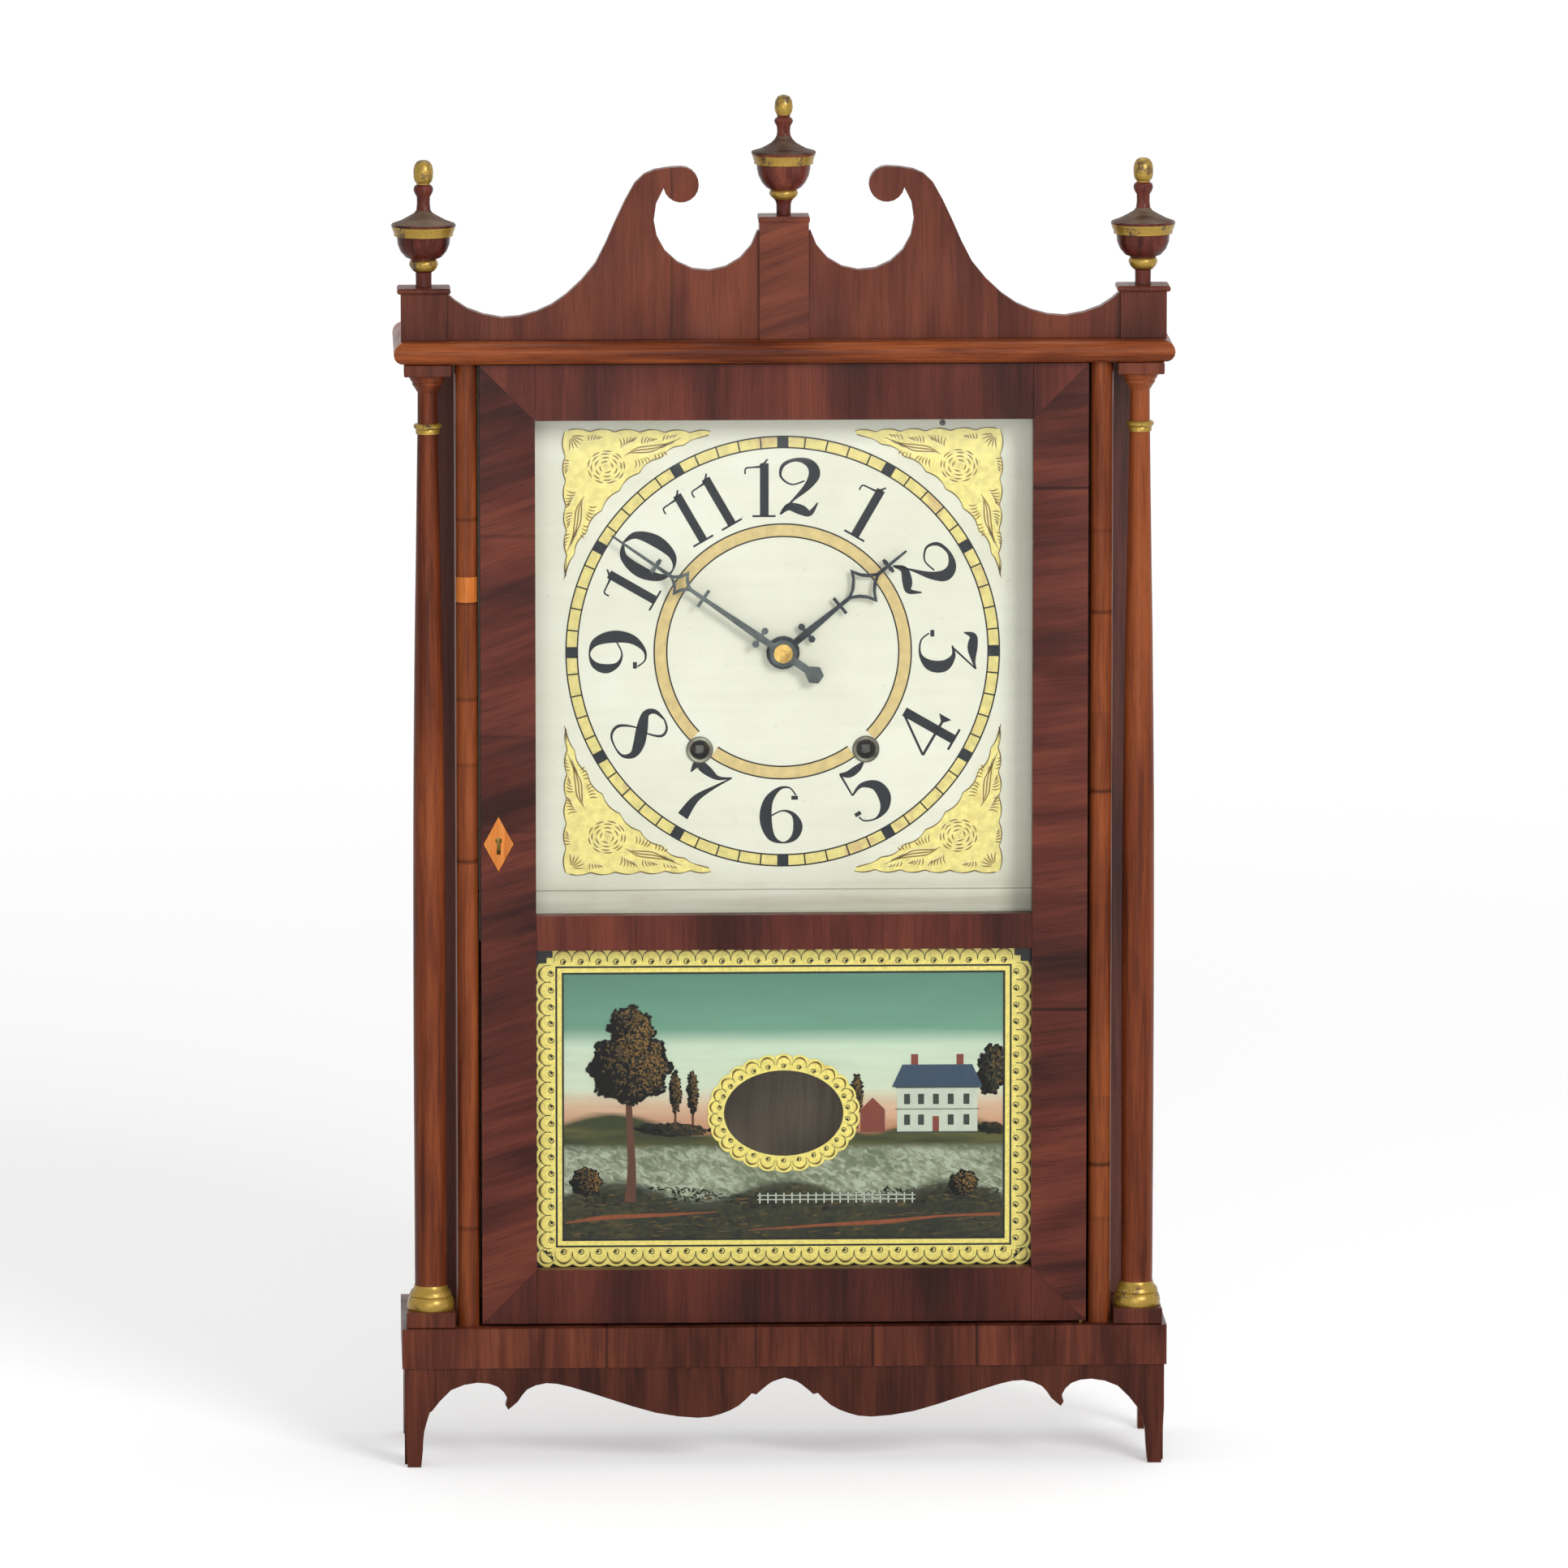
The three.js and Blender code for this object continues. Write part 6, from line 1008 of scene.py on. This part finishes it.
def foliage(name, centre, size, count, depth, tones, seed, dab=1.5):
    """Crown of a tree dabbed on with a small brush: dark dabs first, lit ones over them towards the right."""
    rng = random.Random(seed)
    groups = [[], [], []]

    def wave(turn):
        return math.sin(3.0 * turn + seed) * math.sin(5.0 * turn)
    for i in range(count):
        turn, reach = rng.uniform(0, 2 * math.pi), math.sqrt(rng.random())
        lump = 0.86 + 0.14 * wave(turn)
        x, z = size[0] * reach * lump * math.cos(turn), size[1] * reach * lump * math.sin(turn)
        lit = x / size[0] + 0.5 * z / size[1] + rng.uniform(-0.8, 0.8)
        rank = 0 if reach > 0.9 or lit < 0.15 else (1 if lit < 0.75 else 2)
        radius = rng.uniform(0.6, 1.0) * dab * (1, 0.6, 0.5)[rank] * MM
        groups[rank].append(disc(((centre[0] + x) * MM, (centre[1] + z) * MM), radius, 0.8))
    crown = []
    for i in range(48):
        turn = 2 * math.pi * i / 48
        lump = 0.8 + 0.12 * wave(turn)
        crown.append((centre[0] + size[0] * lump * math.cos(turn),
                      centre[1] + size[1] * lump * math.sin(turn)))
    groups[0].append(metres(crown))
    for rank, (group, tone) in enumerate(zip(groups, tones)):
        if group:
            on_glass(f"{name}_{rank + 1}", group, depth + 2 - rank, LEAVES[tone])


def panes(*boxes):
    """Rectangles from (left, right, bottom, top) in millimetres."""
    return [metres([(x0, z0), (x1, z0), (x1, z1), (x0, z1)]) for x0, x1, z0, z1 in boxes]


def landscape():
    """A river with a farm on the right bank and a tall tree on the left."""
    pierced_sheet("landscape", layer(14), 0.05 * MM, scene_paint())
    trunk = [(-88, 150, 6.5), (-87, 172, 4.6), (-88.5, 205, 3.6), (-88, 235, 2.2)]
    on_glass("big_trunk", [stroke(metres(trunk))], 9, TRUNK)
    foliage("big_crown", (-88, 228), (29, 22), 1900, 5, TREE, 3, 1.3)
    foliage("big_crown_top", (-87, 250), (16, 15), 700, 5, TREE, 4, 1.3)
    for i, x in enumerate((-52, -62, 42)):
        on_glass(f"poplar_trunk_{i}", [stroke(metres([(x, 192, 1.5), (x, 212, 1.2)]))], 12, TRUNK)
        foliage(f"poplar_{i}", (x, 214 if i < 2 else 212), (3.8, 14), 260, 9, TREE, 10 + i, 1.0)
    foliage("farm_tree", (119, 226), (9, 17), 420, 11, HEDGE, 20)
    foliage("shore_bush", (103, 160), (10, 8), 420, 8, TREE, 21, 1.1)
    foliage("near_bush", (-113, 162), (11, 9), 460, 8, TREE, 22, 1.1)
    foliage("far_hedge_left", (-64, 192), (26, 4.4), 460, 11, HEDGE, 23, 0.9)
    foliage("far_hedge_right", (119, 192), (9, 4), 160, 12, HEDGE, 24, 0.9)
    on_glass("house_roof", [metres([(62, 216), (68, 229), (108, 229), (114, 216)])], 8, ROOF_BLUE)
    on_glass("house_wall", panes((65, 111, 190, 217)), 10, WALL_WHITE)
    on_glass("house_chimneys", panes((73, 77, 227, 235), (99, 103, 227, 235)), 9, BRICK)
    windows = [(x, x + 3.4, z, z + 6)
               for x in (69, 77, 85.5, 94, 103) for z in (194, 206) if (x, z) != (85.5, 194)]
    on_glass("house_windows", panes(*windows), 7, WINDOW)
    on_glass("house_door", panes((85.3, 89, 190, 199)), 7, BRICK)
    house_lines = panes((64, 112, 189.4, 190.2), (64, 112, 215.4, 216.2), (64, 112, 203, 203.4))
    on_glass("house_lines", house_lines, 6, WINDOW)
    on_glass("barn", [metres([(44, 190), (44, 203), (51, 210), (58, 203), (58, 190)])], 9, BRICK)
    posts = [(-14 + 4.6 * i, -13.2 + 4.6 * i, 149, 155) for i in range(20)]
    on_glass("fence", panes(*posts, (-15, 75.5, 150.8, 151.4), (-15, 75.5, 153.2, 153.8)), 5, WALL_WHITE)
    paths = [[(-125, 138, 0.6), (-104, 141, 2.6), (-70, 142.5, 2.0), (-38, 144, 0.4)],
             [(-20, 133.5, 0.4), (22, 136, 1.7), (60, 138, 2.6), (92, 141, 1.2), (124, 142, 2.0)]]
    on_glass("paths", [stroke(metres(run)) for run in paths], 9, LEAVES["path"])
    meadow()
    for i in range(6):
        centre = (-105 + 42 * i, 151 + 3 * math.sin(i * 1.7))
        foliage(f"front_bank_{i}", centre, (30, 6.5), 520, 13, BANK, 30 + i, 1.3)


def meadow():
    """Short brush strokes over the near ground, in three tones."""
    rng = random.Random(40)
    left, right, low, _ = (v / MM for v in picture_bounds())
    for tone, count, depth in (("grass", 420, 12), ("olive", 300, 11), ("brown", 90, 10)):
        dabs = []
        for _ in range(count):
            x, z = rng.uniform(left + 4, right - 4), low + 1.5 + 24 * rng.random() ** 1.3
            long, lean = rng.uniform(1.0, 3.2), rng.uniform(-0.4, 0.5)
            dab = [(x - long, z - lean, 0.2), (x, z, rng.uniform(0.5, 0.9)), (x + long, z + lean, 0.2)]
            dabs.append(stroke(metres(dab), 3))
        on_glass(f"meadow_{tone}", dabs, depth, LEAVES[tone])


# Turned and cast pieces; profiles are (radius, height) in millimetres

SHAFT_SHARES = [(0.0, 0.968), (0.03, 0.975), (0.16, 0.989), (0.3, 1.0), (0.48, 0.984), (0.615, 0.935),
                (0.75, 0.849), (0.89, 0.72), (1.0, 0.63)]
SHAFT_RADIUS = 9.3
BASE_PROFILE = [(13.0, 0), (13.5, 1.2), (13.5, 3.4), (13.2, 5.0), (12.3, 7.3), (11.75, 7.7), (12.2, 8.2),
                (11.9, 9.6), (11.2, 10.9), (9.9, 12.2), (9.25, 14)]
RING_PROFILE = [(6.7, 0), (6.8, 2.2), (6.6, 2.6), (7.4, 3.0), (8.0, 3.8), (8.0, 4.8), (7.3, 5.7), (5.7, 6.1)]
CAPITAL_PROFILE = [(5.6, 0), (6.2, 0.8), (6.9, 2.0), (8.2, 4.0), (8.6, 4.3), (8.6, 5.8), (9.0, 6.1),
                   (9.8, 7.2), (10.3, 8.4), (10.6, 9.9)]
COLUMN_PLINTH, COLUMN_ABACUS = 9.2, 6.8
PLINTH_WIDTH, ABACUS_WIDTH = 28.0, 26.6
RING_DROP, RING_HEIGHT, CAPITAL_HEIGHT, BASE_HEIGHT = 33.6, 6.1, 9.9, 14
SIDE_FINIAL = [(4.8, 0), (4.6, 2), (4.7, 8.0), (6.5, 9.2), (7.6, 10.6), (8.5, 12.6), (8.2, 14.3),
               (7.5, 15.0), (7.5, 15.6), (10.6, 16.8), (13.6, 20.2), (15.2, 24.2), (15.6, 28.4),
               (17.2, 28.9), (17.4, 30.6), (18.2, 32.6), (18.8, 34.4), (18.9, 35.2), (18.2, 35.9),
               (13.4, 37.6), (9.1, 39.8), (5.4, 41.9), (4.2, 43.5), (3.8, 47.3), (3.9, 51.1), (5.1, 53.0),
               (5.8, 55.0), (5.4, 57.0), (3.9, 58.1), (4.0, 58.9), (5.1, 59.9), (5.7, 62.2), (5.8, 66.0),
               (5.2, 69.0), (3.8, 71.0), (2.2, 71.8), (0.05, 72)]
CENTRE_FINIAL = [(4.2, 0), (4.3, 5.9), (4.9, 8.1), (6.3, 9.4), (7.8, 10.8), (8.4, 12.2), (8.2, 13.4),
                 (7.6, 14.1), (10.4, 15.8), (12.8, 18.6), (14.8, 22.6), (15.6, 26.3), (15.7, 28.6),
                 (17.2, 29.1), (17.4, 31.0), (18.5, 34.3), (18.9, 35.6), (18.4, 36.3), (13.7, 37.6),
                 (10.5, 39.2), (7.5, 40.9), (5.3, 43.0), (4.1, 45.2), (3.8, 47.6), (4.1, 50.5), (5.1, 52.2),
                 (5.6, 53.5), (4.9, 54.9), (3.6, 55.7), (4.0, 56.8), (4.9, 58.6), (5.4, 61.2), (4.9, 65.0),
                 (3.3, 67.5), (0.05, 68.5)]
# Heights in millimetres of the paler, greyer band painted on each finial's dome.
PALE_DOME_BAND = (35.6, 44.5)
GILT_BANDS = ((9.4, 14.9), (28.8, 34.6), (57.6, 80.0))
FINIAL_TRIM = 0.973
# Distances inward from the weight's side, with heights
WEIGHT_PROFILE = ((1.2, 0), (0, 1.2), (0, 94.5), (0.8, 97.6), (2.6, 99.4), (5.5, 100))
WEIGHT_HOOK = 2.0
BELL_INNER = [(27.4, 0), (26.3, 7.0), (22.5, 15.4), (13.7, 21.8), (3.5, 23.3)]
BELL_OUTER = [(30, 0), (28.8, 7.8), (24.6, 17.2), (15, 24.2), (6, 25.8)]
BELL_POST, BELL_NUT, BELL_TOP = 3.5, 6, 30


def finials():
    def band(height):
        if PALE_DOME_BAND[0] < height / MM < PALE_DOME_BAND[1]:
            return 2
        return int(any(a <= height / MM <= b for a, b in GILT_BANDS))
    for name, profile in (("left", SIDE_FINIAL), ("centre", CENTRE_FINIAL), ("right", SIDE_FINIAL)):
        low, _, middle = middle_of(f"finial_{name}")
        piece = lathe(f"turned_finial_{name}", metres([(r * FINIAL_TRIM, h) for r, h in profile]),
                      Vector((middle.x, middle.y, low.z)), [WOODS["finial"], GILT, WOODS["pale_dome"]],
                      "case", band)
        stand_in(piece, f"finial_{name}", 35)


def columns():
    """Turned shaft with gilt base and ring, between a square plinth and a square abacus."""
    for name in ("left", "right"):
        low, high, middle = middle_of(f"column_{name}")
        foot, top = low.z + COLUMN_PLINTH * MM, high.z - COLUMN_ABACUS * MM
        ring, capital = top - RING_DROP * MM, top - CAPITAL_HEIGHT * MM
        base_top = foot + BASE_HEIGHT * MM

        def raised(profile, height):
            return [(r * MM, height + h * MM) for r, h in profile]
        shaft = [(r * SHAFT_RADIUS * MM, base_top + h * (ring - base_top))
                 for h, r in spline(SHAFT_SHARES, 5)[1:]]
        profile = (raised(BASE_PROFILE, foot) + shaft + raised(RING_PROFILE, ring)
                   + raised(CAPITAL_PROFILE, capital))

        def band(height, foot=foot, base_top=base_top, ring=ring):
            return int(foot <= height <= base_top - 0.4 * MM or ring <= height <= ring + RING_HEIGHT * MM)
        piece = lathe(f"turned_column_{name}", profile, Vector((middle.x, middle.y, 0)),
                      [WOODS["column"], GILT], "case", band)
        stand_in(piece, f"column_{name}", 35)
        blocks = (("plinth", PLINTH_WIDTH, low.z, foot), ("abacus", ABACUS_WIDTH, top, high.z))
        for label, width, z0, z1 in blocks:
            half = width * MM / 2
            corners = [(middle.x + a * half, middle.y + b * half, z) for z in (z0, z1) for a, b in SQUARE]
            sides = [[0, 3, 2, 1], [4, 5, 6, 7]]
            sides += [[i, (i + 1) % 4, (i + 1) % 4 + 4, i + 4] for i in range(4)]
            block = link(f"column_{label}_{name}", corners, sides, [WOODS["base"]], "case")
            soften(block, 0.7 * MM)


def weights():
    """Cast weights, rounder than their solids."""
    for side in ("time", "strike"):
        low, high, middle = middle_of(f"{side}_weight")
        radius = (high.x - low.x) / 2
        body = [(radius - inward * MM, height * MM) for inward, height in WEIGHT_PROFILE]
        profile = body + [(WEIGHT_HOOK * MM, body[-1][1]), (WEIGHT_HOOK * MM, high.z - low.z)]
        piece = lathe(f"cast_weight_{side}", profile, Vector((middle.x, middle.y, low.z)), [IRON],
                      f"{side}_load")
        stand_in(piece, f"{side}_weight")


def bell():
    """Cast bell on its post, with a nut on top."""
    low, high, middle = middle_of("bell")
    rim = high.z - low.z - BELL_TOP * MM
    shell = spline(BELL_INNER, 4)[::-1] + spline(BELL_OUTER, 4) + [(BELL_NUT, BELL_TOP), (0.05, BELL_TOP)]
    profile = [(BELL_POST * MM, 0)] + [(r * MM, rim + h * MM) for r, h in shell]
    piece = lathe("cast_bell", profile, Vector((middle.x, middle.y, low.z)), [IRON], "case")
    stand_in(piece, "bell")


# Slips of wood in the narrow joints, so that no light shows through; in metres

CENTRE_PLINTH_SIDE, NEAR_PLINTH, LAP_HEIGHT, SLIP_GAP = 14 * MM, 15.2 * MM, 12 * MM, 0.03 * MM


def plinth_joints():
    """Slips between the scroll board and its plinths, that follow the board's own edge."""
    low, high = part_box("scroll_board")
    board = frame["nodes"]["scroll_board"]
    corners = [board.matrix_world @ vertex.co for vertex in board.data.vertices]
    tip = max((corner for corner in corners if 0 < corner.x < NEAR_PLINTH), key=lambda corner: corner.z)
    end = max(corner.z for corner in corners if corner.x > high.x - SLIP_GAP)
    foot = low.z + 0.3 * MM
    beside = CENTRE_PLINTH_SIDE + SLIP_GAP
    centre = [(beside, foot), (beside + 0.14 * MM, foot), (beside + 0.14 * MM, low.z + LAP_HEIGHT),
              (tip.x - 2 * SLIP_GAP, tip.z - 0.9 * MM), (beside, tip.z - 0.4 * MM)]
    outer = [(high.x + 0.04 * MM, foot), (high.x + 0.16 * MM, foot), (high.x + 0.16 * MM, end - 0.4 * MM),
             (high.x + 0.04 * MM, end - 0.8 * MM)]
    outlines = [[(sign * x, z) for x, z in slip] for slip in (centre, outer) for sign in (-1, 1)]
    flat("plinth_joints", outlines, low.y + 0.3 * MM, high.y - low.y - 0.6 * MM, WOODS["joint"],
         "case")


def skirt_joints():
    """Slips between the front skirt and the ends of the side skirts."""
    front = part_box("front_skirt")[1].y + SLIP_GAP
    for side, sign in (("left", -1), ("right", 1)):
        low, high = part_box(f"side_skirt_{side}")
        inner, outer = sorted((abs(low.x), abs(high.x)))
        x0, x1 = sign * (inner + 0.4 * MM), sign * (outer - 3 * MM)
        z0, z1 = low.z + 0.2 * MM, high.z - 0.2 * MM
        outline = [(x0, z0), (x1, z0), (x1, z1), (x0, z1)]
        flat(f"skirt_joint_{side}", [outline], front, low.y - SLIP_GAP - front, WOODS["joint"],
             "case")


# Cords that hold up the weights; step and pitch in millimetres

ROPE_SIDES, ROPE_STEP, ROPE_PITCH = 12, 1.6, 9.0


def ropes():
    """Three-strand cords in the places of the cord drops."""
    for side in ("time", "strike"):
        low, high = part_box(f"{side}_cord_drop")
        x, y, radius = (low.x + high.x) / 2, (low.y + high.y) / 2, (high.x - low.x) / 2
        rings = int((high.z - low.z) / MM / ROPE_STEP)
        vertices, faces = [], []
        for k in range(rings + 1):
            z = low.z + (high.z - low.z) * k / rings
            twist = 2 * math.pi * (z / MM) / ROPE_PITCH
            for i in range(ROPE_SIDES):
                turn = 2 * math.pi * i / ROPE_SIDES
                reach = radius * (0.82 + 0.18 * abs(math.cos(1.5 * (turn - twist))))
                vertices.append((x + reach * math.cos(turn), y + reach * math.sin(turn), z))
        for k in range(rings):
            for i in range(ROPE_SIDES):
                a, b, j = k * ROPE_SIDES, (k + 1) * ROPE_SIDES, (i + 1) % ROPE_SIDES
                faces.append([a + i, a + j, b + j, b + i])
        faces += [list(range(ROPE_SIDES))[::-1], [rings * ROPE_SIDES + i for i in range(ROPE_SIDES)]]
        rope = link(f"{side}_rope", vertices, faces, [CORD], "case", smooth=True)
        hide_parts(f"{side}_cord_drop")
        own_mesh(rope)


# Stage

WORLD_LIGHT = 0.42
LAMPS = (("key", (1.7, -3.3, 2.2), 1.3, 84), ("fill", (-0.5, -4.4, 0.9), 2.4, 46),
         ("top", (0.2, 0.6, 3.0), 2.0, 14))
LAMP_TARGET = Vector((0, 0, 0.4))
FLOOR_REACH, FLOOR_Z = 40, -0.0002
FLOOR_COLOUR = 0.8
GLOW_NEAR, GLOW_FAR = 0.41, 0.69


def seen_by_eye(tree):
    """One for rays from the camera, straight or by way of gloss or glass."""
    path = tree.nodes.new("ShaderNodeLightPath")
    total = path.outputs["Is Camera Ray"]
    for name in ("Is Glossy Ray", "Is Transmission Ray"):
        inputs = {0: total, 1: path.outputs[name]}
        total = add_node(tree, "ShaderNodeMath", inputs, operation="MAXIMUM").outputs[0]
    return total


def studio():
    scene = bpy.context.scene
    scene.view_settings.view_transform = "Standard"
    scene.world = bpy.data.worlds.new("studio")
    scene.world.use_nodes = True
    tree = scene.world.node_tree
    inputs = {0: seen_by_eye(tree), 1: 1 - WORLD_LIGHT, 2: WORLD_LIGHT}
    level = add_node(tree, "ShaderNodeMath", inputs, operation="MULTIPLY_ADD")
    fill(tree, tree.nodes["Background"], {"Color": (1, 1, 1, 1), "Strength": level.outputs[0]})
    for name, place, size, power in LAMPS:
        data = bpy.data.lights.new(name, "AREA")
        data.size = size
        data.energy = power
        lamp = bpy.data.objects.new(name, data)
        scene.collection.objects.link(lamp)
        lamp.location = place
        lamp.rotation_mode = "QUATERNION"
        lamp.rotation_quaternion = (LAMP_TARGET - Vector(place)).to_track_quat("-Z", "Y")


def floor():
    """Pale floor that shades into the white background."""
    mesh = bpy.data.meshes.new("floor")
    mesh.from_pydata([(x * FLOOR_REACH, y * FLOOR_REACH, FLOOR_Z) for x, y in SQUARE], [], [[0, 1, 2, 3]])
    plane = bpy.data.objects.new("floor", mesh)
    bpy.context.scene.collection.objects.link(plane)
    finish = Finish("pale_floor", 0.9)
    finish.set("Base Color", (FLOOR_COLOUR,) * 3 + (1,))
    finish.set("Specular IOR Level", 0.0)
    away = finish.add("ShaderNodeVectorMath", {0: finish.coordinates}, operation="LENGTH")
    reach = finish.math("MULTIPLY", away.outputs["Value"], 0.2)
    level = finish.ramp(reach, (0.12, GLOW_NEAR), (0.9, GLOW_FAR), smooth=True)
    seen = finish.math("MULTIPLY", seen_by_eye(finish.tree), level)
    glow = finish.add("ShaderNodeEmission", {"Strength": seen})
    both = {0: finish.shader.outputs["BSDF"], 1: glow.outputs["Emission"]}
    finish.show(finish.add("ShaderNodeAddShader", both))
    mesh.materials.append(finish.material)


def camera():
    """Looks down a little, slightly from the left, and frames the clock as the photograph does."""
    data = bpy.data.cameras.new("camera")
    data.sensor_width = SENSOR_MM
    view = bpy.data.objects.new("camera", data)
    bpy.context.scene.collection.objects.link(view)
    azimuth, elevation = math.radians(CAMERA_AZIMUTH), math.radians(CAMERA_ELEVATION)
    back = Vector((math.sin(azimuth) * math.cos(elevation), -math.cos(azimuth) * math.cos(elevation),
                   math.sin(elevation)))
    view.location = (cad_low + cad_high) / 2 + back * CAMERA_DISTANCE
    view.rotation_mode = "QUATERNION"
    view.rotation_quaternion = (-back).to_track_quat("-Z", "Y")
    data.lens = SENSOR_MM * CAMERA_DISTANCE * PX_PER_METRE / FRAME_PX
    data.shift_x = 0.5 - CLOCK_MIDDLE_PX[0] / FRAME_PX
    data.shift_y = CLOCK_MIDDLE_PX[1] / FRAME_PX - 0.5
    data.clip_start, data.clip_end = 0.1, 100
    bpy.context.scene.camera = view


def dress_nodes():
    """Materials of the CAD pieces, and worn edges on the case."""
    for name, piece in frame["nodes"].items():
        material = dial_paint() if name == "dial_board" else BY_NODE.get(name) or BY_SLOT.get(SLOT_OF[name])
        if material:
            for slot in piece.material_slots:
                slot.material = material
        if SLOT_OF[name] in ("mahogany", "figured_mahogany") and not name.startswith("half_column"):
            fine = name.startswith(("scroll", "finial", "front", "side_skirt"))
            soften(piece, (0.2 if fine else 0.5) * MM)


dress_nodes()
dial_rings()
numerals()
for name, right, up in (("top_left", -1, 1), ("top_right", 1, 1),
                        ("bottom_left", -1, -1), ("bottom_right", 1, -1)):
    spandrel(name, right, up)
dial_trim()
scalloped_border()
landscape()
finials()
columns()
weights()
bell()
plinth_joints()
skirt_joints()
ropes()
floor()
studio()
camera()
